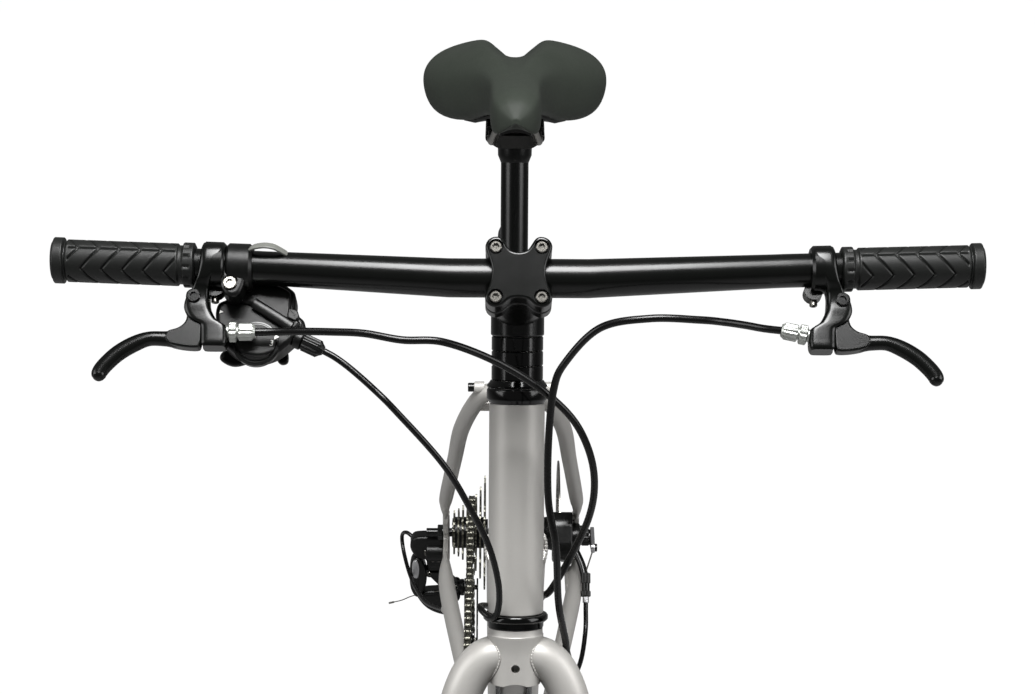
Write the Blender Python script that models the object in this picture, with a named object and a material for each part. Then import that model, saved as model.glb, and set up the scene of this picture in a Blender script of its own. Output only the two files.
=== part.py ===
"""City bike with a flat bar, disc brakes and one chainring, as separate pieces.

Metres, +Z up. The bike faces -Y and its left side is +X. The origin is on the
ground, midway between the axles.
"""

import math

import bmesh
import bpy
from mathutils import Vector

# Layout of the frame, seen from the side
WHEELBASE = 1.056
RIM_RADIUS = 0.317
TYRE_HEIGHT = 0.027
TYRE_RADIUS = RIM_RADIUS + TYRE_HEIGHT
HEAD_ANGLE = math.radians(72)
SEAT_ANGLE = math.radians(73)
FORK_LENGTH = TYRE_RADIUS + 0.054
FORK_RAKE = 0.047
HEAD_TUBE_LENGTH = 0.144
SEAT_TUBE_LENGTH = 0.415
CHAINSTAY_LENGTH = TYRE_RADIUS + 0.096
BOTTOM_BRACKET_DROP = 0.065

# Gaps between pieces
GAP = 0.0003
RUN = 0.0005

# Tubes
HEAD_TUBE_RADIUS = 0.019
HEAD_TUBE_BORE = 0.0165
TOP_TUBE_RADIUS = 0.0165
DOWN_TUBE_RADIUS = 0.0205
SEAT_TUBE_RADIUS = 0.0159
STEERER_RADIUS = 0.0143
SEAT_POST_RADIUS = 0.0127
SEAT_POST_DEPTH = 0.146
SEAT_POST_TRAVEL = 0.040
BRACKET_SHELL_RADIUS = 0.0205
BRACKET_SHELL_WIDTH = 0.068
BRACKET_SHELL_BORE = 0.0175
DROPOUT_THICKNESS = 0.006
STAY_DROP = 0.030
TOP_TUBE_DROP = 0.042

# Headset, spacers and stem, measured along the steering axis
LOWER_STACK = 0.013
UPPER_STACK = 0.016
UPPER_CUP_HEIGHT = 0.0105
SPACER_HEIGHT = 0.010
SPACER_COUNT = 3
SPACER_RADIUS = 0.0176
UPPER_CUP_RADIUS = 0.0208
LOWER_CUP_RADIUS = 0.0222
STEM_CLAMP_HEIGHT = 0.040
STEM_RADIUS = 0.0182
STEM_FORWARD = 0.0762
STEM_RISE = 0.0216

# Handlebar
BAR_RADIUS = 0.0127
BAR_END_RADIUS = 0.0111
BAR_HALF_WIDTH = 0.3055
BAR_SWEEP = 0.024
BAR_LIFT = 0.002
BAR_MIDDLE = 0.045
BAR_SIDES = 16
GRIP_LENGTH = 0.095
GRIP_START = BAR_HALF_WIDTH - GRIP_LENGTH
GRIP_RADIUS = 0.0140
GRIP_FLANGE_RADIUS = 0.0152
BRAKE_CLAMP_WIDTH = 0.015
BRAKE_CLAMP_START = GRIP_START - BRAKE_CLAMP_WIDTH - 0.005
SHIFTER_CLAMP_WIDTH = 0.0145
SHIFTER_CLAMP_START = BRAKE_CLAMP_START - SHIFTER_CLAMP_WIDTH - RUN
CONTROL_TILT = math.radians(50)
LEVER_PIVOT_OUT = GRIP_START - RUN
LEVER_PIVOT_REACH = 0.0225

# Wheels
TYRE_WIDTH = 0.032
RIM_WIDTH = 0.024
RIM_DEPTH = 0.020
SPOKE_COUNT = 32
SPOKE_HALF = 0.001
HUB_FLANGE_RADIUS = 0.0225
HUB_FLANGE_HALF = 0.0011
HUB_CORE_RADIUS = 0.0110
HUB_BORE = 0.0053
AXLE_RADIUS = 0.0048
FRONT_HUB_WIDTH = 0.100
REAR_HUB_WIDTH = 0.135
ROTOR_RADIUS = 0.080
ROTOR_THICKNESS = 0.0018
FRONT_ROTOR_INSET = 0.0105
REAR_ROTOR_INSET = 0.0153

# Drive
CHAIN_PITCH = 0.0127
CHAIN_HALF_WIDTH = 0.0033
CHAIN_HALF_HEIGHT = 0.0037
CHAINRING_TEETH = 40
COG_TEETH = (30, 24, 20, 18, 16, 14, 12, 11)
COG_STEP = 0.0048
FIRST_COG = 0.0286
CHAIN_COG = 3
TOOTH_REACH = 0.0020
PULLEY_TEETH = 11
CRANK_LENGTH = 0.170
SPINDLE_RADIUS = 0.0085
PEDAL_LENGTH = 0.092
PEDAL_WIDTH = 0.074
PEDAL_HEIGHT = 0.020

# Saddle, which sits where the post's clamp holds its rails
SADDLE_LENGTH = 0.285
SADDLE_HALF_WIDTH = 0.0865
SADDLE_SHELL = 0.0030
RAIL_RADIUS = 0.0035
RAIL_SPREAD = 0.0215
CLAMP_ALONG = 0.626
CLAMP_SIZE = (0.054, 0.034, 0.020)
POST_HEAD_RADIUS = 0.0155

X = Vector((1, 0, 0))
Y = Vector((0, 1, 0))
Z = Vector((0, 0, 1))

# Places that follow from the layout
FRONT_AXLE = Vector((0, -WHEELBASE / 2, TYRE_RADIUS))
REAR_AXLE = Vector((0, WHEELBASE / 2, TYRE_RADIUS))
STEER_UP = Vector((0, math.cos(HEAD_ANGLE), math.sin(HEAD_ANGLE)))
STEER_FORWARD = Vector((0, -math.sin(HEAD_ANGLE), math.cos(HEAD_ANGLE)))
STEER_FOOT = FRONT_AXLE - FORK_RAKE * STEER_FORWARD
SEAT_UP = Vector((0, math.cos(SEAT_ANGLE), math.sin(SEAT_ANGLE)))
BRACKET_REACH = math.sqrt(CHAINSTAY_LENGTH**2 - BOTTOM_BRACKET_DROP**2)
BRACKET = REAR_AXLE - Vector((0, BRACKET_REACH, BOTTOM_BRACKET_DROP))
RACE = math.sqrt(FORK_LENGTH**2 - FORK_RAKE**2)
HEAD_BOTTOM = RACE + LOWER_STACK
HEAD_TOP = HEAD_BOTTOM + HEAD_TUBE_LENGTH
SPACER_BOTTOM = HEAD_TOP + UPPER_STACK
STEM_BOTTOM = SPACER_BOTTOM + SPACER_COUNT * SPACER_HEIGHT
STEM_MIDDLE = STEM_BOTTOM + STEM_CLAMP_HEIGHT / 2
CHAIN_X = -(FIRST_COG + CHAIN_COG * COG_STEP)
STEERER_BORE = STEERER_RADIUS + GAP
CONTROL_OUT = Vector((0, -math.cos(CONTROL_TILT), -math.sin(CONTROL_TILT)))
CONTROL_NORMAL = Vector((0, -math.sin(CONTROL_TILT), math.cos(CONTROL_TILT)))
FRONT_ROTOR_X = FRONT_HUB_WIDTH / 2 - FRONT_ROTOR_INSET
REAR_ROTOR_X = REAR_HUB_WIDTH / 2 - REAR_ROTOR_INSET


def steer(along, forward=0.0, side=0.0):
    """A point beside the steering axis, `along` above its foot."""
    return STEER_FOOT + along * STEER_UP + forward * STEER_FORWARD + side * X


def seat(along, back=0.0, side=0.0):
    """A point beside the seat tube's axis, `along` above the bottom bracket."""
    across = Vector((0, math.sin(SEAT_ANGLE), -math.cos(SEAT_ANGLE)))
    return BRACKET + along * SEAT_UP + back * across + side * X


BAR_CENTRE = steer(STEM_MIDDLE + STEM_RISE, STEM_FORWARD)
CLAMP_MIDDLE = seat(CLAMP_ALONG)
RAIL_HEIGHT = CLAMP_MIDDLE.z + 0.00085
SADDLE_HEIGHT = RAIL_HEIGHT + 0.0685
SADDLE_NOSE_Y = CLAMP_MIDDLE.y - 0.14785


def clear_scene():
    for old in list(bpy.data.objects):
        bpy.data.objects.remove(old, do_unlink=True)


FINISHES = {
    "frame_paint": ((0.56, 0.55, 0.54), 0.38, 0.75),
    "black_satin": ((0.012, 0.013, 0.012), 0.38, 0.3),
    "black_gloss": ((0.006, 0.006, 0.006), 0.12, 0.2),
    "rubber": ((0.016, 0.016, 0.016), 0.75, 0.0),
    "tyre": ((0.030, 0.030, 0.031), 0.80, 0.0),
    "saddle": ((0.018, 0.019, 0.018), 0.62, 0.0),
    "steel": ((0.52, 0.52, 0.53), 0.28, 1.0),
    "chain_steel": ((0.20, 0.20, 0.18), 0.35, 1.0),
    "clear": ((0.62, 0.63, 0.64), 0.22, 0.6),
    "alloy": ((0.60, 0.60, 0.61), 0.32, 0.9),
    "black_plastic": ((0.014, 0.014, 0.014), 0.50, 0.0),
    "housing": ((0.020, 0.020, 0.020), 0.30, 0.0),
}


def finish_of(slot):
    made = bpy.data.materials.get(slot)
    if made:
        return made
    color, roughness, metallic = FINISHES[slot]
    made = bpy.data.materials.new(slot)
    made.use_nodes = True
    shader = made.node_tree.nodes["Principled BSDF"]
    shader.inputs["Base Color"].default_value = (*color, 1)
    shader.inputs["Roughness"].default_value = roughness
    shader.inputs["Metallic"].default_value = metallic
    return made


def place(name, bm, slot, origin=None, sharp=35):
    """Turns a bmesh in world metres into an object whose own origin is `origin`."""
    origin = Vector(origin) if origin is not None else Vector()
    bmesh.ops.remove_doubles(bm, verts=bm.verts, dist=1e-6)
    bmesh.ops.recalc_face_normals(bm, faces=bm.faces)
    bmesh.ops.translate(bm, verts=bm.verts, vec=-origin)
    mesh = bpy.data.meshes.new(name)
    bm.to_mesh(mesh)
    bm.free()
    mesh.shade_smooth()
    mesh.set_sharp_from_angle(angle=math.radians(sharp))
    mesh.materials.append(finish_of(slot))
    made = bpy.data.objects.new(name, mesh)
    made.location = origin
    bpy.context.scene.collection.objects.link(made)
    return made


def helper(name, bm):
    """A cutter or an operand, which the render leaves out."""
    made = place(name, bm, "steel")
    made.hide_render = True
    made.display_type = "WIRE"
    return made


def combine(target, operation, bm):
    count = len(target.modifiers)
    other = helper(f"{target.name}_{operation.lower()}_{count}", bm)
    step = target.modifiers.new(f"{operation.lower()} {count}", "BOOLEAN")
    step.operation = operation
    step.object = other
    return target


def join(target, *meshes):
    for bm in meshes:
        combine(target, "UNION", bm)
    return target


def cut(target, *meshes):
    for bm in meshes:
        combine(target, "DIFFERENCE", bm)
    return target


def across(direction, hint=None):
    """Two unit vectors square to a direction and to each other."""
    direction = Vector(direction).normalized()
    hint = Vector(hint) if hint is not None else (X if abs(direction.x) < 0.9 else Z)
    side = (hint - hint.dot(direction) * direction).normalized()
    return side, direction.cross(side)


def loft(rings, closed=False):
    """A skin over rings of equal length. Open lofts are capped."""
    bm = bmesh.new()
    rows = [[bm.verts.new(point) for point in ring] for ring in rings]
    pairs = list(zip(rows, rows[1:] + rows[:1])) if closed else list(zip(rows, rows[1:]))
    count = len(rows[0])
    for low, high in pairs:
        for i in range(count):
            j = (i + 1) % count
            bm.faces.new((low[i], low[j], high[j], high[i]))
    if not closed:
        bm.faces.new(list(reversed(rows[0])))
        bm.faces.new(rows[-1])
    return bm


def merge(*meshes):
    """Several separate shells in one bmesh, as one operand of a Boolean."""
    whole = bmesh.new()
    for bm in meshes:
        bmesh.ops.recalc_face_normals(bm, faces=bm.faces)
        carrier = bpy.data.meshes.new("carrier")
        bm.to_mesh(carrier)
        bm.free()
        whole.from_mesh(carrier)
        bpy.data.meshes.remove(carrier)
    return whole


def circle(centre, side, up, radius, count, turn=0.0):
    wide, tall = radius if isinstance(radius, tuple) else (radius, radius)
    angles = [math.tau * i / count + turn for i in range(count)]
    return [centre + side * (wide * math.cos(a)) + up * (tall * math.sin(a)) for a in angles]


def rod(start, end, radius, count=16, end_radius=None, turn=0.0):
    start, end = Vector(start), Vector(end)
    side, up = across(end - start)
    last = radius if end_radius is None else end_radius
    first_ring = circle(start, side, up, radius, count, turn)
    return loft([first_ring, circle(end, side, up, last, count, turn)])


def turned(profile, centre, axis, count, turn=0.0):
    """Turns (radius, height) pairs about an axis. A profile off the axis closes on itself."""
    axis = Vector(axis).normalized()
    side, up = across(axis)
    rings = [circle(centre + axis * h, side, up, r, count, turn) for r, h in profile]
    return loft(rings, closed=True)


def ring_of(outer, inner, low, high, centre, axis, count):
    profile = [(inner, low), (outer, low), (outer, high), (inner, high)]
    return turned(profile, centre, axis, count)


def plate(outline, thickness, centre, across_x, across_y):
    """A flat plate: an outline in its own plane, given half its thickness each way."""
    normal = Vector(across_x).cross(Vector(across_y)).normalized() * (thickness / 2)
    middle = [centre + Vector(across_x) * a + Vector(across_y) * b for a, b in outline]
    return loft([[p - normal for p in middle], [p + normal for p in middle]])


def block(centre, size, side=X, front=Y):
    """A box with its middle at `centre`."""
    a, b, c = (value / 2 for value in size)
    outline = [(-a, -b), (a, -b), (a, b), (-a, b)]
    return plate(outline, 2 * c, centre, side, front)


def smooth(points, count):
    """Evenly spaced steps of a Catmull-Rom curve through the points."""
    points = [tuple(p) for p in points]
    size = len(points[0])
    first = tuple(2 * points[0][i] - points[1][i] for i in range(size))
    last = tuple(2 * points[-1][i] - points[-2][i] for i in range(size))
    full = [first, *points, last]
    out = []
    spans = len(points) - 1
    for step in range(count + 1):
        place_on = step * spans / count
        k = min(int(place_on), spans - 1)
        t = place_on - k
        p0, p1, p2, p3 = full[k : k + 4]
        row = []
        for a, b, c, d in zip(p0, p1, p2, p3):
            bend = (2 * a - 5 * b + 4 * c - d) * t * t + (3 * b - a - 3 * c + d) * t**3
            row.append(0.5 * (2 * b + (c - a) * t + bend))
        out.append(tuple(row))
    return out


def swept(points, radii, count=12, hint=None):
    """A tube along points, with a radius, or a (wide, tall) pair, at each."""
    points = [Vector(p) for p in points]
    if not isinstance(radii, list):
        radii = [radii] * len(points)
    side = None
    rings = []
    for i, point in enumerate(points):
        before = points[max(i - 1, 0)]
        after = points[min(i + 1, len(points) - 1)]
        direction = (after - before).normalized()
        if side is None:
            side, up = across(direction, hint)
        else:
            side = (side - side.dot(direction) * direction).normalized()
            up = direction.cross(side)
        rings.append(circle(point, side, up, radii[i], count))
    return loft(rings)


# Frame

BRAKE_HOUSING = 0.0025
GEAR_HOUSING = 0.0022


def stay(route, count, sides=8):
    """A stay along rows of x, y, z, half width and half height."""
    rows = smooth(route, count)
    return swept([row[:3] for row in rows], [(row[3], row[4]) for row in rows], sides, Z)


def seatstay(side):
    top = seat(SEAT_TUBE_LENGTH - STAY_DROP)
    plate_x = REAR_HUB_WIDTH / 2 + DROPOUT_THICKNESS / 2
    axle_y, axle_z = REAR_AXLE.y, REAR_AXLE.z
    route = [
        (side * 0.010, top.y - 0.002, top.z + 0.004, 0.007, 0.007),
        (side * 0.030, top.y + 0.012, top.z - 0.010, 0.008, 0.008),
        (side * 0.0485, top.y + 0.070, top.z - 0.066, 0.0075, 0.008),
        (side * 0.0575, top.y + 0.140, top.z - 0.132, 0.0070, 0.008),
        (side * (plate_x - 0.003), axle_y - 0.078, axle_z + 0.082, 0.0050, 0.008),
        (side * plate_x, axle_y - 0.042, axle_z + 0.044, 0.0040, 0.009),
    ]
    return stay(route, 10)


def chainstay(side):
    plate_x = REAR_HUB_WIDTH / 2 + DROPOUT_THICKNESS / 2
    axle_y, axle_z = REAR_AXLE.y, REAR_AXLE.z
    route = [
        (side * 0.0215, BRACKET.y + 0.010, BRACKET.z + 0.001, 0.0075, 0.011),
        (side * 0.0255, BRACKET.y + 0.050, BRACKET.z + 0.006, 0.0070, 0.011),
        (side * 0.0330, BRACKET.y + 0.110, BRACKET.z + 0.014, 0.0070, 0.011),
        (side * 0.0520, axle_y - 0.210, axle_z - 0.031, 0.0085, 0.0095),
        (side * 0.0655, axle_y - 0.120, axle_z - 0.018, 0.0080, 0.0085),
        (side * plate_x, axle_y - 0.045, axle_z - 0.007, 0.0040, 0.009),
    ]
    return stay(route, 10)


def dropout(side):
    """The plate that holds the axle and ties both stays."""
    outline = [
        (-0.052, 0.038), (-0.038, 0.054), (-0.010, 0.022), (0.014, 0.012),
        (0.016, -0.012), (-0.008, -0.017), (-0.052, -0.018), (-0.056, -0.002), (-0.024, 0.006),
    ]
    if side < 0:
        outline[4:6] = [(0.017, -0.030), (0.009, -0.039), (-0.001, -0.034), (-0.010, -0.017)]
    centre = REAR_AXLE + X * side * (REAR_HUB_WIDTH / 2 + DROPOUT_THICKNESS / 2)
    return plate(outline, DROPOUT_THICKNESS, centre, Y, Z)


BOSS_RADIUS = 0.006
BOTTLE_BOSS_SPACING = 0.064
BOTTLE_BOSS_MIDDLE = 0.46


def down_tube_ends():
    return steer(HEAD_BOTTOM + 0.044), BRACKET


def bottle_boss(shift):
    """A threaded boss on the down tube's upper face."""
    high, low = down_tube_ends()
    along = (low - high).normalized()
    outward = Vector((0, -along.z, along.y))
    outward = outward if outward.z > 0 else -outward
    middle = high.lerp(low, BOTTLE_BOSS_MIDDLE) + along * shift
    base = middle + outward * (DOWN_TUBE_RADIUS - 0.004)
    return rod(base, middle + outward * (DOWN_TUBE_RADIUS + 0.003), BOSS_RADIUS, 12)


HOUSING_OUT = DOWN_TUBE_RADIUS + 0.0040
HOUSING_END = 0.62
CABLE_STOP_RADIUS = 0.0045
REAR_LOOP_STOPS = {
    1: (
        REAR_AXLE + Vector((0.0535, -0.2430, -0.0570)),
        REAR_AXLE + Vector((0.0460, -0.2580, -0.0450)),
    ),
    -1: (
        REAR_AXLE + Vector((-0.0780, -0.1100, -0.0360)),
        REAR_AXLE + Vector((-0.0690, -0.1250, -0.0265)),
    ),
}


def beside_down_tube(side, share, out):
    high, low = down_tube_ends()
    return high.lerp(low, share) + X * side * out


def down_tube_stop(side):
    """Where a front housing ends and its bare wire goes on."""
    start = beside_down_tube(side, HOUSING_END, HOUSING_OUT)
    end = beside_down_tube(side, HOUSING_END + 0.025, HOUSING_OUT)
    return rod(start, end, CABLE_STOP_RADIUS + 0.001, 8, turn=0.2)


def chainstay_stop(side):
    start, end = REAR_LOOP_STOPS[side]
    return rod(end, start, CABLE_STOP_RADIUS, 8, turn=0.15)


def rack_boss(side):
    centre = seat(SEAT_TUBE_LENGTH - STAY_DROP)
    start = Vector((side * 0.036, centre.y + 0.018, centre.z - 0.020))
    return rod(start, start + X * side * 0.010, 0.0055, 12)


def frame_tab():
    """The pad on the left chainstay that carries the rear brake."""
    centre = REAR_AXLE + Vector((0.0640, -0.083, -0.0140))
    return block(centre, (0.012, 0.046, 0.010))


def frame():
    head = rod(steer(HEAD_BOTTOM), steer(HEAD_TOP), HEAD_TUBE_RADIUS, 24)
    made = place("frame", head, "frame_paint")
    high, low = down_tube_ends()
    half_shell = X * BRACKET_SHELL_WIDTH / 2
    top_end = seat(SEAT_TUBE_LENGTH - TOP_TUBE_DROP)
    top_tube = rod(steer(HEAD_TOP - 0.032), top_end, TOP_TUBE_RADIUS, 16, turn=0.1)
    join(
        made,
        rod(high, low, DOWN_TUBE_RADIUS, 16, turn=0.13),
        rod(BRACKET - half_shell, BRACKET + half_shell, BRACKET_SHELL_RADIUS, 24, turn=0.07),
        rod(seat(0.008), seat(SEAT_TUBE_LENGTH), SEAT_TUBE_RADIUS, 20, turn=0.16),
        top_tube,
    )
    for side in (1, -1):
        join(made, seatstay(side), chainstay(side), dropout(side), rack_boss(side))
        join(made, down_tube_stop(side), chainstay_stop(side))
    bridge = seat(SEAT_TUBE_LENGTH - STAY_DROP) + Vector((0, 0.060, -0.056))
    join(made, rod(bridge - X * 0.042, bridge + X * 0.042, 0.006, 10))
    chain_bridge = BRACKET + Vector((0, 0.056, 0.006))
    join(made, rod(chain_bridge - X * 0.028, chain_bridge + X * 0.028, 0.006, 10))
    join(made, frame_tab())
    for shift in (-BOTTLE_BOSS_SPACING / 2, BOTTLE_BOSS_SPACING / 2):
        join(made, bottle_boss(shift))
    cut(
        made,
        rod(steer(HEAD_BOTTOM - 0.01), steer(HEAD_TOP + 0.01), HEAD_TUBE_BORE, 24),
        rod(BRACKET - 2 * half_shell, BRACKET + 2 * half_shell, BRACKET_SHELL_BORE, 24),
        rod(
            seat(SEAT_TUBE_LENGTH - SEAT_POST_DEPTH - SEAT_POST_TRAVEL - 0.005),
            seat(SEAT_TUBE_LENGTH + 0.01),
            SEAT_POST_RADIUS + GAP,
            20,
        ),
        rod(REAR_AXLE - X * 0.09, REAR_AXLE + X * 0.09, AXLE_RADIUS + GAP, 12),
    )
    return made


def seat_collar():
    low = SEAT_TUBE_LENGTH - 0.014
    bore = SEAT_TUBE_RADIUS + GAP
    ring = ring_of(bore + 0.0030, bore, low, low + 0.013, BRACKET, SEAT_UP, 24)
    made = place("seat_collar", ring, "black_satin")
    middle = seat(low + 0.0065, bore + 0.006)
    back = Vector((0, SEAT_UP.z, -SEAT_UP.y))
    join(made, block(middle, (0.014, 0.010, 0.012), X, back))
    cut(made, block(middle, (0.0016, 0.024, 0.020), X, back))
    return made


# Headset and fork


def headset():
    lower = HEAD_BOTTOM
    height = LOWER_STACK - 0.0035
    cup = [
        (STEERER_RADIUS + 0.0012, lower - height),
        (LOWER_CUP_RADIUS - 0.0015, lower - height),
        (LOWER_CUP_RADIUS, lower - height + 0.003),
        (LOWER_CUP_RADIUS, lower - 0.0025),
        (LOWER_CUP_RADIUS - 0.002, lower - GAP),
        (STEERER_RADIUS + 0.0012, lower - GAP),
    ]
    place("lower_cup", turned(cup, STEER_FOOT, STEER_UP, 20), "black_gloss")
    upper = HEAD_TOP
    cup = [
        (STEERER_RADIUS + 0.0012, upper + GAP),
        (UPPER_CUP_RADIUS - 0.002, upper + GAP),
        (UPPER_CUP_RADIUS, upper + 0.0025),
        (UPPER_CUP_RADIUS, upper + UPPER_CUP_HEIGHT - 0.002),
        (UPPER_CUP_RADIUS - 0.001, upper + UPPER_CUP_HEIGHT),
        (STEERER_RADIUS + 0.0012, upper + UPPER_CUP_HEIGHT),
    ]
    place("upper_cup", turned(cup, STEER_FOOT, STEER_UP, 20), "black_gloss")
    cover = [
        (STEERER_BORE, upper + UPPER_CUP_HEIGHT + RUN),
        (UPPER_CUP_RADIUS, upper + UPPER_CUP_HEIGHT + RUN),
        (UPPER_CUP_RADIUS - 0.001, upper + UPPER_CUP_HEIGHT + 0.0030),
        (SPACER_RADIUS + 0.0010, SPACER_BOTTOM - GAP),
        (STEERER_BORE, SPACER_BOTTOM - GAP),
    ]
    place("headset_cover", turned(cover, STEER_FOOT, STEER_UP, 20), "black_gloss")
    for i, name in enumerate(("lower", "middle", "upper")):
        low = SPACER_BOTTOM + i * SPACER_HEIGHT
        high = low + SPACER_HEIGHT - GAP
        ring = ring_of(SPACER_RADIUS, STEERER_BORE, low, high, STEER_FOOT, STEER_UP, 20)
        place(f"{name}_spacer", ring, "black_gloss")


LEG_X = FRONT_HUB_WIDTH / 2 + 0.0045
CROWN_LENGTH = 0.036


def fork_leg(side):
    """A blade that leaves the crown sideways, bends down and narrows to the axle."""
    rows = [
        (side * 0.0060, RACE - 0.0150, 0.0, 0.0130, 0.0140),
        (side * 0.0230, RACE - 0.0205, 0.0, 0.0140, 0.0140),
        (side * 0.0370, RACE - 0.0380, 0.0, 0.0140, 0.0140),
        (side * 0.0450, RACE - 0.0680, 0.0, 0.0135, 0.0140),
        (side * 0.0510, RACE - 0.1300, 0.008, 0.0125, 0.0140),
        (side * 0.0545, RACE - 0.2500, 0.024, 0.0100, 0.0125),
        (side * 0.0560, 0.0300, FORK_RAKE - 0.005, 0.0065, 0.0095),
        (side * 0.0528, 0.0080, FORK_RAKE, 0.0027, 0.0090),
    ]
    made = smooth(rows, 13)
    points = [steer(row[1], row[2], row[0]) for row in made]
    return swept(points, [(row[3], row[4]) for row in made], 12, X)


def fork_dropout(side):
    outline = [(-0.010, -0.016), (0.008, -0.018), (0.013, 0.000), (0.011, 0.030), (-0.010, 0.030)]
    centre = FRONT_AXLE + X * side * (FRONT_HUB_WIDTH / 2 + 0.003)
    return plate(outline, 0.0056, centre, Y, Z)


def fork():
    steerer_top = steer(STEM_BOTTOM + STEM_CLAMP_HEIGHT - 0.003)
    steerer = rod(steer(RACE - 0.006), steerer_top, STEERER_RADIUS, 24)
    made = place("fork", steerer, "frame_paint", steer(RACE))
    crown = rod(steer(RACE - CROWN_LENGTH), steer(RACE - 0.002), 0.0175, 24, 0.0190)
    race = rod(steer(RACE - 0.003), steer(RACE + 0.0028), 0.0185, 24)
    join(made, crown, race, fork_leg(1), fork_leg(-1), fork_dropout(1), fork_dropout(-1))
    tab = FRONT_AXLE + Vector((LEG_X - 0.004, 0.036, 0.046))
    join(made, block(tab, (0.007, 0.022, 0.050)))
    cut(made, rod(steer(RACE - 0.0235, 0.05), steer(RACE - 0.0235, -0.05), 0.0030, 12))
    arch = rod(
        steer(RACE - CROWN_LENGTH - 0.0150, 0.04),
        steer(RACE - CROWN_LENGTH - 0.0150, -0.04),
        0.0170,
        20,
    )
    cut(made, arch)
    cut(made, rod(FRONT_AXLE - X * 0.08, FRONT_AXLE + X * 0.08, AXLE_RADIUS + GAP, 12))
    return made


# Stem and bar


STEM_OUT = (BAR_CENTRE - steer(STEM_MIDDLE)).normalized()
STEM_SKY = Vector((0, -STEM_OUT.z, STEM_OUT.y))
STEM_SKY = STEM_SKY if STEM_SKY.z > 0 else -STEM_SKY
FACE_HALF_WIDTH = 0.0215
BOLT_HALF_X = 0.01475
BOLT_HALF_Y = 0.0165
FACE_THICKNESS = 0.0075


def lobed_outline(lobe=0.0068, waist_x=0.0180, waist_y=0.0140, per_lobe=5):
    """The four-lobed outline of the bar clamp, seen along the stem."""
    out = []
    for corner in range(4):
        turn = math.radians(45 + 90 * corner)
        sign_x = 1 if math.cos(turn) > 0 else -1
        sign_y = 1 if math.sin(turn) > 0 else -1
        for i in range(per_lobe):
            a = turn + math.radians(-85 + 170 * i / (per_lobe - 1))
            out.append(
                (sign_x * BOLT_HALF_X + lobe * math.cos(a), sign_y * BOLT_HALF_Y + lobe * math.sin(a))
            )
        if corner % 2 == 0:
            out.append((0.0, sign_y * waist_y))
        else:
            out.append((sign_x * waist_x, 0.0))
    return out


def stem():
    low, high = STEM_BOTTOM, STEM_BOTTOM + STEM_CLAMP_HEIGHT
    clamp = rod(steer(low), steer(high), STEM_RADIUS, 24)
    made = place("stem", clamp, "black_satin")
    reach = (BAR_CENTRE - steer(STEM_MIDDLE)).length
    rows = [
        (0.004, 0.0165, 0.0125),
        (0.030, 0.0165, 0.0150),
        (reach - 0.018, 0.0185, 0.0175),
        (reach - 0.006, 0.0195, 0.0190),
    ]
    rings = [
        circle(steer(STEM_MIDDLE) + STEM_OUT * d, X, STEM_SKY, (w, t), 20) for d, w, t in rows
    ]
    join(made, loft(rings))
    back = plate(lobed_outline(), 0.014, BAR_CENTRE - STEM_OUT * 0.0075, X, STEM_SKY)
    join(made, back)
    steerer_hole = rod(steer(low - 0.01), steer(high + 0.01), STEERER_BORE, 24)
    bar_hole = rod(BAR_CENTRE - X * 0.05, BAR_CENTRE + X * 0.05, BAR_RADIUS + GAP, 24)
    ahead = block(BAR_CENTRE + STEM_OUT * 0.0196, (0.08, 0.08, 0.04), X, STEM_SKY)
    cut(made, steerer_hole, bar_hole, ahead)
    return made


def stem_faceplate():
    start = 0.0012
    middle = BAR_CENTRE + STEM_OUT * (start + 0.0085)
    made = place("stem_faceplate", plate(lobed_outline(), 0.017, middle, X, STEM_SKY), "black_satin")
    cut(made, rod(BAR_CENTRE - X * 0.05, BAR_CENTRE + X * 0.05, BAR_RADIUS + GAP, 24))
    return made


def stem_top_cap():
    low = STEM_BOTTOM + STEM_CLAMP_HEIGHT + GAP
    profile = [
        (STEM_RADIUS - 0.001, low),
        (STEM_RADIUS - 0.001, low + 0.002),
        (STEM_RADIUS - 0.003, low + 0.0035),
    ]
    rings = [circle(STEER_FOOT + STEER_UP * h, X, STEER_FORWARD, r, 24) for r, h in profile]
    return place("stem_top_cap", loft(rings), "black_satin")


def bar_point(x):
    """The bar's middle line: a swept, slightly lifted flat bar."""
    share = max(abs(x) - BAR_MIDDLE, 0) / (BAR_HALF_WIDTH - BAR_MIDDLE)
    return BAR_CENTRE + Vector((x, BAR_SWEEP * share, BAR_LIFT * min(share * 2, 1)))


def handlebar():
    shares = (0.982, 0.704, 0.5565, 0.409, 0.2455)
    stations = [*(BAR_HALF_WIDTH * share for share in shares), BAR_MIDDLE, 0.028]
    end = BAR_HALF_WIDTH - 0.0035
    xs = [-end, *(-s for s in stations), *reversed(stations), end]
    taper = SHIFTER_CLAMP_START - 0.0105 - BAR_MIDDLE
    radii = []
    for x in xs:
        share = min(max((abs(x) - BAR_MIDDLE) / taper, 0), 1)
        radii.append(BAR_RADIUS + (BAR_END_RADIUS - BAR_RADIUS) * share)
    rings = [circle(bar_point(x), Y, Z, r, BAR_SIDES) for x, r in zip(xs, radii)]
    return place("handlebar", loft(rings), "black_satin")


def on_bar(side, profile, count=BAR_SIDES):
    """A collar round the bar's end: (x along the bar, radius) pairs with the bar's bore."""
    first, last = profile[0][0], profile[-1][0]
    rows = [(first, BAR_END_RADIUS + GAP), *profile, (last, BAR_END_RADIUS + GAP)]
    rings = [circle(bar_point(side * x), Y, Z, r, count) for x, r in rows]
    return loft(rings, closed=True)


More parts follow.
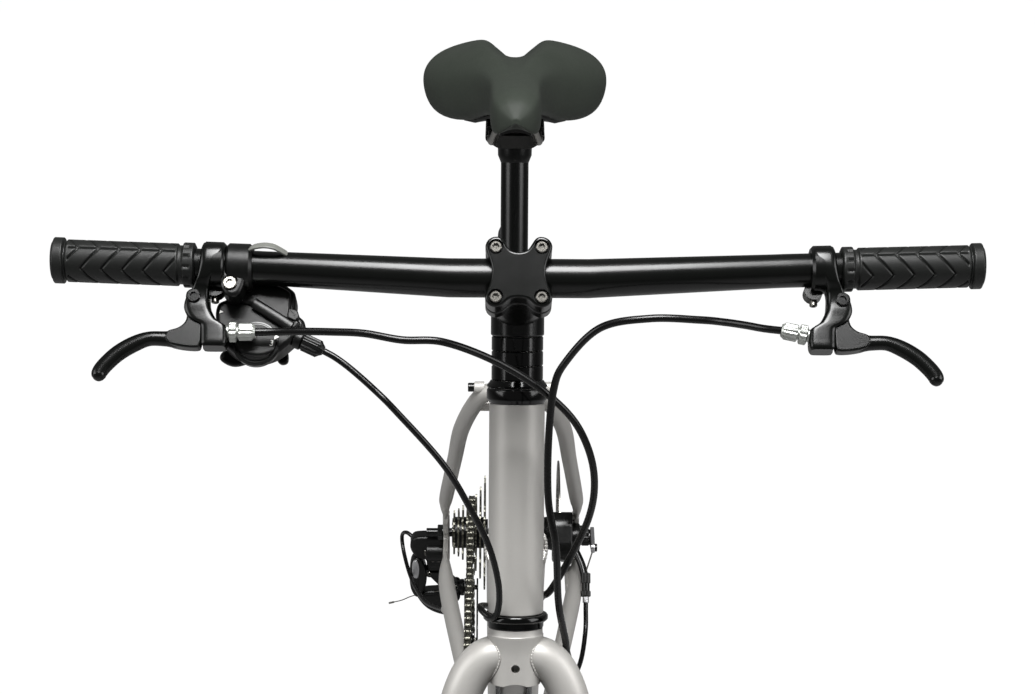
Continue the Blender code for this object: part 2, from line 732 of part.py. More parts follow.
def grip(side, name):
    end = BAR_HALF_WIDTH
    profile = [
        (GRIP_START, 0.0148),
        (GRIP_START + 0.008, 0.0148),
        (GRIP_START + 0.010, GRIP_RADIUS - 0.0010),
        (GRIP_START + 0.013, GRIP_RADIUS),
        (end - 0.010, GRIP_RADIUS),
        (end - 0.008, GRIP_FLANGE_RADIUS),
        (end - 0.0022, GRIP_FLANGE_RADIUS),
    ]
    made = place(name, on_bar(side, profile), "rubber")
    cap = [(end - 0.0026, GRIP_FLANGE_RADIUS - 0.0002), (end, GRIP_FLANGE_RADIUS - 0.0015)]
    rings = [circle(bar_point(side * x), Y, Z, r, BAR_SIDES) for x, r in cap]
    join(made, loft(rings))
    return made


# Brake levers, laid out in a plane that tilts down and forward from the bar


def control(side, out, reach, lift=0.0):
    """A point of the lever plane: `out` from the bike's middle, `reach` from the bar."""
    base = bar_point(side * LEVER_PIVOT_OUT)
    return Vector((side * out, base.y, base.z)) + CONTROL_OUT * reach + CONTROL_NORMAL * lift


def control_plate(side, outline, thickness, out=0.0, lift=0.0):
    """A plate in the lever plane, from (outward, reach) pairs beside `out`."""
    half = CONTROL_NORMAL * (thickness / 2)
    middle = [control(side, out + a, b, lift) for a, b in outline]
    return loft([[p - half for p in middle], [p + half for p in middle]])


def bar_band(side, start, end, wall):
    """A plain clamp band with the bar's bore."""
    bore = BAR_END_RADIUS + GAP
    profile = ((start, bore), (start, bore + wall), (end, bore + wall), (end, bore))
    return loft([circle(bar_point(side * x), Y, Z, r, 20) for x, r in profile], closed=True)


LEVER_THICKNESS = 0.0095
BRACKET_THICKNESS = 0.0150
BLADE_SLOT = LEVER_THICKNESS + 2 * RUN
ADJUSTER_OUT = BRAKE_CLAMP_START - 0.0034
ADJUSTER_REACH = 0.0432
ADJUSTER_LENGTH = 0.0170


def brake_bracket(side, name):
    start, end = BRAKE_CLAMP_START, BRAKE_CLAMP_START + BRAKE_CLAMP_WIDTH
    made = place(name, bar_band(side, start, end, 0.0045), "black_satin")
    body = [
        (start, 0.0125), (start + 0.001, 0.022), (start - 0.001, 0.030), (start - 0.003, 0.036),
        (start - 0.003, 0.0485), (start + 0.008, 0.0490), (start + 0.012, 0.034),
        (start + 0.0245, 0.0320), (start + 0.0280, 0.0250), (start + 0.0240, 0.0180),
        (start + 0.0175, 0.0172), (end - 0.0005, 0.0125),
    ]
    join(made, control_plate(side, body, BRACKET_THICKNESS))
    slot = [
        (start + 0.0105, 0.0315), (start + 0.0110, 0.018), (start + 0.040, 0.010),
        (start + 0.040, 0.060), (start + 0.0060, 0.060), (start + 0.0060, 0.0450),
    ]
    cut(made, control_plate(side, slot, BLADE_SLOT))
    return made


def brake_lever(side, name):
    upper = [
        (-0.0055, 0.0200), (0.0005, 0.0175), (0.0060, 0.0215), (0.0065, 0.0360), (0.0110, 0.0420),
        (0.0310, 0.0424), (0.0440, 0.0477), (0.0590, 0.0575), (0.0660, 0.0665),
        (0.0645, 0.0755), (0.0590, 0.0775),
    ]
    lower = [
        (0.0565, 0.0740), (0.0560, 0.0680), (0.0440, 0.0600), (0.0285, 0.0520),
        (0.0060, 0.0535), (-0.0040, 0.0530), (-0.0050, 0.0400),
    ]
    pivot = control(side, LEVER_PIVOT_OUT, LEVER_PIVOT_REACH)
    blade = control_plate(side, upper + lower, LEVER_THICKNESS, LEVER_PIVOT_OUT)
    return place(name, blade, "black_satin", pivot)


def barrel_adjuster(side, name):
    """The fluted barrel that the housing enters, and its lock nut."""
    start = control(side, ADJUSTER_OUT, ADJUSTER_REACH)
    axis = -X * side
    profile = [
        (0.0028, 0.0), (0.0066, 0.0), (0.0066, 0.0048), (0.0055, 0.0052),
        (0.0055, 0.0150), (0.0046, ADJUSTER_LENGTH), (0.0028, ADJUSTER_LENGTH),
    ]
    return place(name, turned(profile, start, axis, 12), "clear")


# Shifter on the right of the bar

POD_THICKNESS = 0.0200
POD_LIFT = -0.0186


def shifter_body():
    side = -1
    start, end = SHIFTER_CLAMP_START, SHIFTER_CLAMP_START + SHIFTER_CLAMP_WIDTH
    bore = BAR_END_RADIUS + GAP
    made = place("shifter_body", bar_band(side, start, end, 0.0040), "black_plastic")
    pod = [
        (-0.0305, 0.0080), (-0.0375, 0.0240), (-0.0370, 0.0360), (-0.0285, 0.0500),
        (-0.0155, 0.0585), (-0.0005, 0.0600), (0.0115, 0.0550), (0.0115, 0.0460),
        (0.0110, 0.0260), (0.0095, 0.0090), (-0.0055, 0.0070),
    ]
    join(made, control_plate(side, pod, POD_THICKNESS, start, POD_LIFT))
    barrel_start = control(side, start - 0.0315, 0.0445, -0.0150)
    barrel_end = control(side, start - 0.0505, 0.0460, -0.0150)
    join(made, rod(barrel_start, barrel_end, 0.0060, 12, 0.0045))
    cut(made, rod(bar_point(side * (start - 0.065)), bar_point(side * (end + 0.05)), bore, 20))
    return made


SHIFT_PIVOT_OUT = SHIFTER_CLAMP_START - 0.0115
SHIFT_PIVOT_REACH = 0.0340
SHIFT_LEVER_THICKNESS = 0.0045


def shifter_lever(name, outline, lift):
    side = -1
    pivot = control(side, SHIFT_PIVOT_OUT, SHIFT_PIVOT_REACH, lift)
    blade = control_plate(side, outline, SHIFT_LEVER_THICKNESS, SHIFT_PIVOT_OUT, lift)
    return place(name, blade, "black_plastic", pivot)


def shifter_levers():
    thumb = [
        (-0.0080, 0.0300), (0.0000, 0.0265), (0.0080, 0.0310), (0.0110, 0.0430), (0.0220, 0.0550),
        (0.0320, 0.0580), (0.0330, 0.0660), (0.0200, 0.0670), (0.0060, 0.0560), (-0.0060, 0.0420),
    ]
    below = POD_LIFT - POD_THICKNESS / 2 - RUN - SHIFT_LEVER_THICKNESS / 2
    shifter_lever("thumb_lever", thumb, below)
    release = [
        (-0.0080, 0.0350), (-0.0060, 0.0280), (0.0020, 0.0265), (0.0080, 0.0340), (0.0000, 0.0410),
        (-0.0040, 0.0560), (-0.0080, 0.0660), (-0.0160, 0.0650), (-0.0140, 0.0520),
    ]
    shifter_lever("release_lever", release, below - SHIFT_LEVER_THICKNESS - RUN)


# Wheels


WHEEL_STEPS = 36


def wheel_ring(profile, centre, count=WHEEL_STEPS):
    """Turns (radius, x) pairs about a wheel's axle, with a corner at the bottom."""
    rings = []
    for i in range(count):
        a = math.tau * i / count
        spoke = Vector((0, math.sin(a), -math.cos(a)))
        rings.append([centre + spoke * r + X * x for r, x in profile])
    return loft(rings, closed=True)


def tyre(centre, name):
    outer = TYRE_RADIUS
    half = TYRE_WIDTH / 2
    bead = RIM_RADIUS - 0.0065
    right = [
        (bead, 0.0088), (RIM_RADIUS + 0.0012, 0.0094), (outer - 0.0165, half),
        (outer - 0.0055, half - 0.0045), (outer, 0.0),
    ]
    inner = [(outer - 0.0050, 0.0), (outer - 0.0150, half - 0.0055), (bead, 0.0072)]
    left = [(r, -x) for r, x in reversed(right[:-1])]
    inner_left = [(r, -x) for r, x in reversed(inner[1:])]
    profile = right + left + inner_left + inner
    return place(name, wheel_ring(profile, centre), "tyre", centre)


def rim(centre, name, flange_x):
    top, half = RIM_RADIUS, RIM_WIDTH / 2
    low = top - RIM_DEPTH
    right = [(low, 0.0055), (low + 0.0065, half), (top, half), (top - 0.0080, half - 0.0026)]
    profile = right + [(r, -x) for r, x in reversed(right)]
    made = place(name, wheel_ring(profile, centre), "alloy", centre)
    join(made, spokes(centre, flange_x, low))
    return made


def spokes(centre, flange_x, rim_low):
    """32 spokes, each flange's 16 laced three-cross, and no two of them touching."""
    per_flange = SPOKE_COUNT // 2
    step = math.tau / per_flange
    shells = []
    for side in (1, -1):
        for k in range(per_flange):
            trailing = 1 if k % 2 == 0 else -1
            a = k * step + (step / 2 if side < 0 else 0)
            b = a + trailing * 3 * step
            lean = side * trailing * 0.0012
            start = centre + Vector((side * flange_x[side] + lean, 0, 0))
            start += (HUB_FLANGE_RADIUS + 0.0017) * Vector((0, math.sin(a), -math.cos(a)))
            end = centre + Vector((side * 0.0020 + side * trailing * 0.0016, 0, 0))
            end += (rim_low + 0.0030) * Vector((0, math.sin(b), -math.cos(b)))
            shells.append(rod(start, end, SPOKE_HALF, 3))
    return merge(*shells)


FRONT_FLANGES = {1: 0.0280, -1: 0.0340}
REAR_FLANGES = {1: 0.0340, -1: 0.0205}


def hub(centre, name, width, flanges, rotor_x, freehub=False):
    end = width / 2 - RUN
    inside = rotor_x - ROTOR_THICKNESS / 2 - GAP
    flange, core, half = HUB_FLANGE_RADIUS, HUB_CORE_RADIUS, HUB_FLANGE_HALF
    left_end = [(0.0200, inside), (0.0170, inside), (0.0170, rotor_x + 0.0020), (0.0110, end)]
    right_edge = -(flanges[-1] + 0.0035) if freehub else -end
    profile = [
        (HUB_BORE, right_edge), (0.0110, right_edge), (0.0130, -flanges[-1] - half),
        (flange, -flanges[-1] - half), (flange, -flanges[-1] + half), (core, -flanges[-1] + 0.004),
        (core, flanges[1] - 0.004), (flange, flanges[1] - half), (flange, flanges[1] + half),
        (0.0170, flanges[1] + half), *left_end, (HUB_BORE, end),
    ]
    return place(name, turned(profile, centre, X, 18), "black_satin", centre)


def window_outline(inner, outer, start, end, steps=3):
    top = [start + (end - start) * i / steps for i in range(steps + 1)]
    out = [(outer * math.cos(a), outer * math.sin(a)) for a in top]
    return out + [(inner * math.cos(a), inner * math.sin(a)) for a in reversed(top)]


def rotor(centre, name, x):
    middle = centre + X * x
    half = ROTOR_THICKNESS / 2
    disc = ring_of(ROTOR_RADIUS, 0.0172 + GAP, -half, half, middle, X, 32)
    made = place(name, disc, "steel", centre)
    cuts = []
    for i in range(6):
        a = math.tau * i / 6
        outline = window_outline(0.029, 0.065, a + 0.14, a + math.tau / 6 - 0.14)
        cuts.append(plate(outline, 0.01, middle, Y, Z))
    cut(made, merge(*cuts))
    return made


def axle(centre, name, width):
    """An axle with a nut and washer outside each dropout."""
    outside = width / 2 + DROPOUT_THICKNESS + GAP
    end = outside + 0.0110
    profile = [
        (AXLE_RADIUS, outside), (0.0085, outside), (0.0085, outside + 0.0065),
        (AXLE_RADIUS, outside + 0.0075), (AXLE_RADIUS - 0.0008, end),
    ]
    rows = [(r, -h) for r, h in reversed(profile)] + profile
    rings = [circle(centre + X * h, Y, Z, r, 12) for r, h in rows]
    return place(name, loft(rings), "steel", centre)


# Disc brakes


def caliper(centre, name, outer_x, inner_x, size, turn):
    """A mechanical caliper: two halves over the rotor, with a round actuator outside."""
    size_y, size_z = size
    along = Vector((0, math.cos(turn), math.sin(turn)))
    rise = Vector((0, -math.sin(turn), math.cos(turn)))
    middle = Vector(((outer_x + inner_x) / 2, centre.y, centre.z))
    outline = [
        (-size_y / 2, -size_z / 2), (size_y / 2, -size_z / 2), (size_y / 2, size_z / 3),
        (size_y / 4, size_z / 2), (-size_y / 4, size_z / 2), (-size_y / 2, size_z / 3),
    ]
    made = place(name, plate(outline, outer_x - inner_x, middle, along, rise), "black_satin", centre)
    drum_start = Vector((outer_x - 0.002, centre.y, centre.z))
    join(made, rod(drum_start, drum_start + X * 0.010, 0.0150, 16))
    return made


def rotor_slot(axle_centre, rotor_x):
    half = ROTOR_THICKNESS / 2 + RUN + 0.0004
    return rod(
        Vector((rotor_x - half, axle_centre.y, axle_centre.z)),
        Vector((rotor_x + half, axle_centre.y, axle_centre.z)),
        ROTOR_RADIUS + 0.0020,
        36,
    )


REAR_CALIPER = REAR_AXLE + Vector((0.0, -0.067, 0.028))
FRONT_CALIPER = FRONT_AXLE + Vector((0.0, 0.070, 0.030))
ARM_PIVOT_RADIUS = 0.0110
FRONT_STOP = FRONT_CALIPER + Vector((0.0610, 0.0120, 0.0540))
FRONT_STOP_DOWN = Vector((0, 0.243, -0.970))


def caliper_arm(name, pivot, low_x, high_x, angle, length):
    """The lever on a caliper's outer face that the wire pulls."""
    along = Vector((0, math.cos(angle), math.sin(angle)))
    rise = Vector((0, -math.sin(angle), math.cos(angle)))
    outline = []
    for i in range(7):
        a = math.pi / 2 + math.pi * i / 6
        outline.append((ARM_PIVOT_RADIUS * math.cos(a), ARM_PIVOT_RADIUS * math.sin(a)))
    for i in range(5):
        a = -math.pi / 2 + math.pi * i / 4
        outline.append((length + 0.0055 * math.cos(a), 0.0055 * math.sin(a)))
    middle = Vector(((low_x + high_x) / 2, pivot.y, pivot.z))
    return place(name, plate(outline, high_x - low_x, middle, along, rise), "alloy", middle)


REAR_STOP = REAR_AXLE + Vector((0.0795, -0.1030, 0.0040))
REAR_STOP_DOWN = Vector((0, -0.575, -0.818))
REAR_STOP_LENGTH = 0.0260


def rear_brake_loop():
    """The housing from the caliper's stop to the stop under the chainstay."""
    low = REAR_STOP + REAR_STOP_DOWN * REAR_STOP_LENGTH
    start, end = REAR_LOOP_STOPS[1]
    outward = (start - end).normalized()
    route = [
        low - REAR_STOP_DOWN * 0.004,
        low + REAR_STOP_DOWN * 0.012,
        low + Vector((-0.0005, -0.0220, -0.0290)),
        low + Vector((-0.0060, -0.0560, -0.0450)),
        low + Vector((-0.0170, -0.0980, -0.0480)),
        start + outward * 0.0100,
        start + outward * (GAP + RUN),
    ]
    return swept(smooth(route, 14), BRAKE_HOUSING, 6)


def rear_brake():
    size = (0.052, 0.034)
    made = caliper(REAR_CALIPER, "rear_brake_caliper", 0.0660, 0.0440, size, math.radians(55))
    join(made, rod(REAR_CALIPER + X * 0.0650, REAR_CALIPER + X * 0.0843, 0.0085, 14))
    stop = rod(REAR_STOP, REAR_STOP + REAR_STOP_DOWN * REAR_STOP_LENGTH, 0.0050, 12)
    bridge_route = [
        REAR_CALIPER + Vector((0.067, -0.012, 0.000)),
        REAR_CALIPER + Vector((0.076, -0.030, -0.020)),
        REAR_STOP + REAR_STOP_DOWN * 0.010,
    ]
    bridge = swept(bridge_route, 0.0040, 8)
    join(made, stop, bridge, rear_brake_loop())
    cut(made, rotor_slot(REAR_AXLE, REAR_ROTOR_X))
    caliper_arm("rear_brake_arm", REAR_CALIPER, 0.0850, 0.0890, math.radians(178), 0.027)


def front_brake():
    size = (0.046, 0.028)
    made = caliper(FRONT_CALIPER, "front_brake_caliper", 0.0560, 0.0340, size, math.radians(-67))
    stop = rod(FRONT_STOP + FRONT_STOP_DOWN * 0.0160, FRONT_STOP, 0.0050, 12)
    bridge_route = [
        FRONT_CALIPER + Vector((0.052, 0.006, 0.010)),
        FRONT_CALIPER + Vector((0.056, 0.010, 0.028)),
        FRONT_CALIPER + Vector((0.0610, 0.007, 0.046)),
    ]
    bridge = swept(bridge_route, 0.0042, 8)
    join(made, stop, bridge)
    cut(made, rotor_slot(FRONT_AXLE, FRONT_ROTOR_X))
    caliper_arm("front_brake_arm", FRONT_CALIPER, 0.0645, 0.0700, math.radians(60), 0.030)


# Drive


def pitch_radius(teeth):
    return CHAIN_PITCH / (2 * math.sin(math.pi / teeth))


def toothed_outline(teeth, reach=TOOTH_REACH):
    """Pointed teeth between shallow roots."""
    tip = pitch_radius(teeth) + reach
    root = pitch_radius(teeth) - 0.0036
    step = math.tau / teeth
    out = []
    for i in range(teeth):
        a = i * step
        for share, r in ((0.0, tip), (0.5, root)):
            out.append((r * math.cos(a + share * step), r * math.sin(a + share * step)))
    return out


def round_outline(radius, count):
    """The small cogs as plain discs: their teeth are too fine to tell apart here."""
    angles = [math.tau * i / count for i in range(count)]
    return [(radius * math.cos(a), radius * math.sin(a)) for a in angles]


def cassette():
    centre = REAR_AXLE
    last = FIRST_COG + (len(COG_TEETH) - 1) * COG_STEP
    bore = HUB_BORE
    core = [
        (bore, -last - 0.0018), (0.0150, -last - 0.0018), (0.0170, -last),
        (0.0170, -FIRST_COG + 0.0035), (bore, -FIRST_COG + 0.0035),
    ]
    made = place("cassette", turned(core, centre, X, 20), "chain_steel", centre)
    cogs = []
    for i, teeth in enumerate(COG_TEETH):
        middle = centre - X * (FIRST_COG + i * COG_STEP)
        outline = toothed_outline(teeth)
        if i > CHAIN_COG:
            outline = round_outline(pitch_radius(teeth), 24)
        cogs.append(plate(outline, 0.0018, middle, Y, Z))
    join(made, merge(*cogs))
    cut(made, rod(centre - X * 0.02, centre - X * 0.09, bore, 20))
    return made


def chainring():
    centre = BRACKET + X * CHAIN_X
    disc = plate(toothed_outline(CHAINRING_TEETH), 0.0020, centre, Y, Z)
    made = place("chainring", disc, "black_satin", BRACKET)
    cut(made, rod(centre - X * 0.01, centre + X * 0.01, 0.0440, 28))
    return made


def crank_eye(swing):
    return BRACKET + CRANK_DIRECTION * (swing * CRANK_LENGTH)


def crank_arm(side, swing):
    """An arm from the spindle's boss to the pedal's eye, along the cranks' direction or against it."""
    low, high = CRANK_INNER, CRANK_OUTER
    rows = [
        (-0.0150, low + 0.001, high - 0.001, 0.0075),
        (0.0, low, high, 0.0165),
        (0.030, low, high, 0.0130),
        (0.090, low + 0.004, high + 0.003, 0.0115),
        (CRANK_LENGTH, low + 0.008, high + 0.006, 0.0125),
        (CRANK_LENGTH + 0.0130, low + 0.010, high + 0.004, 0.0060),
    ]
    rings = []
    for along, low, high, half in rows:
        centre = BRACKET + CRANK_DIRECTION * (swing * along) + X * (side * (low + high) / 2)
        rings.append(circle(centre, X, CRANK_ACROSS, ((high - low) / 2, half), 12, math.tau / 24))
    return loft(rings)


# The cranks rest 30 degrees off level, which keeps both pedals clear of the ground.
CRANK_REST = math.radians(30)
CRANK_DIRECTION = Vector((0, math.cos(CRANK_REST), -math.sin(CRANK_REST)))
CRANK_ACROSS = Vector((0, math.sin(CRANK_REST), math.cos(CRANK_REST)))
CRANK_INNER = 0.0560
CRANK_OUTER = 0.0700
PEDAL_SPINDLE_RADIUS = 0.0060


def pedal_spindle(side, swing):
    eye = crank_eye(swing)
    end = eye + X * side * (0.0790 + PEDAL_LENGTH)
    return rod(eye + X * side * 0.0660, end, PEDAL_SPINDLE_RADIUS, 12)


def cranks():
    spindle = rod(BRACKET - X * 0.0640, BRACKET + X * (CRANK_OUTER + 0.0010), SPINDLE_RADIUS - RUN, 20)
    made = place("right_crank", spindle, "black_satin", BRACKET)
    join(made, crank_arm(-1, -1), pedal_spindle(-1, -1))
    spider_x = CHAIN_X - 0.0010 - GAP
    boss = rod(BRACKET + X * spider_x, BRACKET - X * 0.0600, 0.0180, 20)
    join(made, boss)
    for i in range(4):
        a = math.tau * (i + 0.5) / 4
        out = Vector((0, math.cos(a), math.sin(a)))
        side = Vector((0, -math.sin(a), math.cos(a)))
        outline = [(0.0, -0.009), (0.0, 0.009), (0.050, 0.0062), (0.0570, 0.0), (0.050, -0.0062)]
        join(made, plate(outline, 0.0050, BRACKET + X * (spider_x - 0.0025), out, side))
    left = place("left_crank", crank_arm(1, 1), "black_satin", BRACKET)
    join(left, pedal_spindle(1, 1))
    cut(left, rod(BRACKET + X * 0.040, BRACKET + X * 0.090, SPINDLE_RADIUS - RUN + GAP, 20))


def bottom_bracket():
    half = BRACKET_SHELL_WIDTH / 2
    bore = SPINDLE_RADIUS
    inside = BRACKET_SHELL_BORE - GAP
    profile = [
        (bore, -half - 0.0040), (0.0190, -half - 0.0040), (0.0190, -half - GAP), (inside, -half - GAP),
        (inside, half + GAP), (0.0190, half + GAP), (0.0190, half + 0.0040), (bore, half + 0.0040),
    ]
    return place("bottom_bracket", turned(profile, BRACKET, X, 20), "black_satin")


def pedal(side, name):
    swing = side
    eye = crank_eye(swing) + X * (side * (0.0780 + PEDAL_LENGTH / 2))
    half, width = PEDAL_LENGTH / 2, PEDAL_WIDTH / 2
    outline = [
        (-half, -width * 0.55), (-half * 0.7, -width), (half * 0.85, -width), (half, -width * 0.8),
        (half, width * 0.8), (half * 0.85, width), (-half * 0.7, width), (-half, width * 0.55),
    ]
    made = place(name, plate(outline, PEDAL_HEIGHT, eye, X * side, Y), "black_plastic", eye)
    cuts = []
    for shift in (-1, 1):
        centre = eye + Y * shift * (width * 0.55)
        cuts.append(block(centre + X * side * 0.002, (PEDAL_LENGTH * 0.62, width * 0.46, 0.04)))
    cut(made, merge(*cuts))
    cut(made, rod(eye - X * 0.06, eye + X * 0.06, PEDAL_SPINDLE_RADIUS + GAP, 12))
    return made


# Chain, in the plane of the chainring

CHAIN_SAG = 0.0004


GUIDE_PULLEY = REAR_AXLE + Vector((CHAIN_X, 0.016, -0.076))
TENSION_PULLEY = REAR_AXLE + Vector((CHAIN_X, -0.006, -0.131))


def tangent(first, r1, second, r2):
    """The angle of the normal of the line that touches two circles on its left side.

    A negative radius puts that circle on the line's other side.
    """
    dy, dz = second[0] - first[0], second[1] - first[1]
    distance = math.hypot(dy, dz)
    return math.atan2(dz, dy) + math.acos((r1 - r2) / distance)


def chain_route():
    """Points (y, z) and outward normals of the chain's pitch line, in order."""
    ring = (BRACKET.y, BRACKET.z, pitch_radius(CHAINRING_TEETH))
    cog = (REAR_AXLE.y, REAR_AXLE.z, pitch_radius(COG_TEETH[CHAIN_COG]))
    guide = (GUIDE_PULLEY.y, GUIDE_PULLEY.z, -pitch_radius(PULLEY_TEETH))
    tension = (TENSION_PULLEY.y, TENSION_PULLEY.z, pitch_radius(PULLEY_TEETH))
    wheels = [ring, cog, guide, tension]
    normals = []
    for i, wheel in enumerate(wheels):
        after = wheels[(i + 1) % len(wheels)]
        normals.append(tangent(wheel[:2], wheel[2], after[:2], after[2]))
    out = []
    for i, (y, z, radius) in enumerate(wheels):
        start, end = normals[i - 1], normals[i]
        turn = (start - end) % math.tau if radius > 0 else -((end - start) % math.tau)
        steps = max(3, math.ceil(abs(turn) / (2 * math.acos(1 - CHAIN_SAG / abs(radius)))))
        for k in range(steps + 1):
            a = start - turn * k / steps
            normal = (math.cos(a), math.sin(a))
            out.append(((y + radius * normal[0], z + radius * normal[1]), normal))
    return out


def chain():
    half, tall, wall = CHAIN_HALF_WIDTH, CHAIN_HALF_HEIGHT, 0.0014
    section = [
        (-half, -tall), (-half, tall), (half, tall), (half, -tall), (half - wall, -tall),
        (half - wall, tall - 0.0010), (-half + wall, tall - 0.0010), (-half + wall, -tall),
    ]
    rings = []
    for (y, z), (ny, nz) in chain_route():
        rings.append([Vector((CHAIN_X + a, y + b * ny, z + b * nz)) for a, b in section])
    return place("chain", loft(rings, closed=True), "chain_steel")


# Rear derailleur


HANGER = REAR_AXLE + Vector((0, 0.008, -0.028))


def pulley(name, centre, reach):
    if reach > 0:
        body = plate(toothed_outline(PULLEY_TEETH, reach), 0.0022, centre, Y, Z)
    else:
        radius = pitch_radius(PULLEY_TEETH) - CHAIN_HALF_HEIGHT - GAP
        body = rod(centre - X * 0.0011, centre + X * 0.0011, radius, 20)
    made = place(name, body, "black_plastic", centre)
    cut(made, rod(centre - X * 0.01, centre + X * 0.01, PULLEY_PIN + RUN, 12))
    return made


def rounded_bar(length, first, last, steps=5):
    """The outline of a flat bar with round ends, from its first pin along its length."""
    out = []
    for centre, turn, radius in ((0.0, math.pi, first), (length, 0.0, last)):
        for i in range(steps + 1):
            a = turn - math.pi / 2 + math.pi * i / steps
            out.append((centre + radius * math.cos(a), radius * math.sin(a)))
    return out


def cage_plate(x, thickness):
    """A slim plate from one pulley's pin to the other's."""
    top, low = GUIDE_PULLEY, TENSION_PULLEY
    along = low - top
    angle = math.atan2(along.z, along.y)
    out = Vector((0, math.cos(angle), math.sin(angle)))
    side = Vector((0, -math.sin(angle), math.cos(angle)))
    outline = rounded_bar(along.length, 0.0090, 0.0080)
    return plate(outline, thickness, Vector((x, top.y, top.z)), out, side)


CAGE_OUTER_X = CHAIN_X - 0.0075
CAGE_INNER_X = CHAIN_X + 0.0062
CAGE_THICKNESS = 0.0018
PULLEY_PIN = 0.0030
LOOP_END = REAR_AXLE + Vector((-0.1095, 0.0275, -0.0195))


PIN_RADIUS = 0.0015
LINK_RADIUS = 0.0028
LINK_HALF_WIDTH = 0.0070
EAR_RADIUS = 0.0045
EAR_THICKNESS = 0.0016
PIN_SPREAD = 0.0140
UPPER_PIN = Vector((-0.0900, HANGER.y + 0.006, HANGER.z - 0.0260))
LINK_DROP = Vector((0.0155, 0, -0.0170))


def knuckle_ears(pin, toward):
    """Two ears with two pins, which hold both links of the parallelogram."""
    shells = []
    bar = rounded_bar(PIN_SPREAD, EAR_RADIUS, EAR_RADIUS, 4)
    for side in (1, -1):
        centre = pin + Y * side * (LINK_HALF_WIDTH + GAP + EAR_THICKNESS / 2)
        shells.append(plate(bar, EAR_THICKNESS, centre, X, Z))
        web = centre + X * PIN_SPREAD / 2 + Z * toward * 0.0050
        shells.append(block(web, (PIN_SPREAD, EAR_THICKNESS, 0.0080)))
    half = Y * (LINK_HALF_WIDTH + GAP + EAR_THICKNESS / 2)
    for shift in (0.0, PIN_SPREAD):
        shells.append(rod(pin + X * shift - half, pin + X * shift + half, PIN_RADIUS, 8))
    return shells


def derailleur():
    knuckle_x = -(REAR_HUB_WIDTH / 2 + DROPOUT_THICKNESS + 2 * GAP)
    inner_end = HANGER + X * knuckle_x
    body = rod(inner_end, inner_end - X * 0.0200, 0.0105, 16)
    knuckle = place("derailleur_knuckle", body, "black_plastic")
    middle = UPPER_PIN + X * PIN_SPREAD / 2
    join(knuckle, block(middle + Z * 0.0160, (0.0180, 0.0200, 0.0200)), *knuckle_ears(UPPER_PIN, 1))
    join(knuckle, rod(Vector((-0.0900, HANGER.y + 0.004, HANGER.z)), LOOP_END, 0.0040, 10))

    lower_pin = UPPER_PIN + LINK_DROP
    along = LINK_DROP.normalized()
    across_link = Vector((-along.z, 0, along.x))
    for name, shift in (("outer_link", 0.0), ("inner_link", PIN_SPREAD)):
        start = UPPER_PIN + X * shift
        outline = rounded_bar(LINK_DROP.length, LINK_RADIUS, LINK_RADIUS)
        link = plate(outline, 2 * LINK_HALF_WIDTH, start, along, across_link)
        made = place(f"derailleur_{name}", link, "black_plastic", start)
        for pin in (start, start + LINK_DROP):
            cut(made, rod(pin - Y * 0.02, pin + Y * 0.02, PIN_RADIUS + GAP, 8))

    low_middle = lower_pin + X * PIN_SPREAD / 2
    knuckle_low = block(low_middle - Z * 0.0112, (0.0220, 0.0200, 0.0140))
    made = place("cage_knuckle", knuckle_low, "black_plastic", lower_pin)
    pivot = Vector((lower_pin.x + PIN_SPREAD + 0.0033, GUIDE_PULLEY.y, GUIDE_PULLEY.z))
    boss_end = Vector((CAGE_OUTER_X - CAGE_THICKNESS / 2 - GAP, pivot.y, pivot.z))
    boss = rod(pivot, boss_end, 0.0080, 16)
    join(made, *knuckle_ears(lower_pin, -1), boss)

    cage = place("derailleur_cage", cage_plate(CAGE_OUTER_X, CAGE_THICKNESS), "black_satin", GUIDE_PULLEY)
    join(cage, cage_plate(CAGE_INNER_X, CAGE_THICKNESS))
    for centre in (GUIDE_PULLEY, TENSION_PULLEY):
        pin_start = Vector((CAGE_OUTER_X, centre.y, centre.z))
        pin_end = Vector((CAGE_INNER_X, centre.y, centre.z))
        join(cage, rod(pin_start, pin_end, PULLEY_PIN, 10))
    pulley("guide_pulley", GUIDE_PULLEY, 0)
    pulley("tension_pulley", TENSION_PULLEY, TOOTH_REACH)


# Saddle and seat post


def saddle_station(share):
    """Half width, top, edge and bottom heights at a share of the length from the nose."""
    rows = [
        (0.0000, 0.0100, -0.0120, -0.0160, -0.0260),
        (0.0450, 0.0185, -0.0020, -0.0080, -0.0310),
        (0.1400, 0.0220, 0.0010, -0.0070, -0.0350),
        (0.3000, 0.0240, 0.0010, -0.0090, -0.0400),
        (0.4600, 0.0330, -0.0010, -0.0150, -0.0480),
        (0.6000, 0.0530, -0.0060, -0.0240, -0.0600),
        (0.7400, 0.0745, -0.0150, -0.0320, -0.0660),
        (0.8600, SADDLE_HALF_WIDTH, -0.0240, -0.0340, -0.0590),
        (0.9500, 0.0800, -0.0310, -0.0330, -0.0500),
        (1.0000, 0.0560, -0.0380, -0.0320, -0.0460),
    ]
    for low, high in zip(rows, rows[1:]):
        if share <= high[0]:
            t = (share - low[0]) / (high[0] - low[0])
            return [a + (b - a) * t for a, b in zip(low[1:], high[1:])]
    return list(rows[-1][1:])


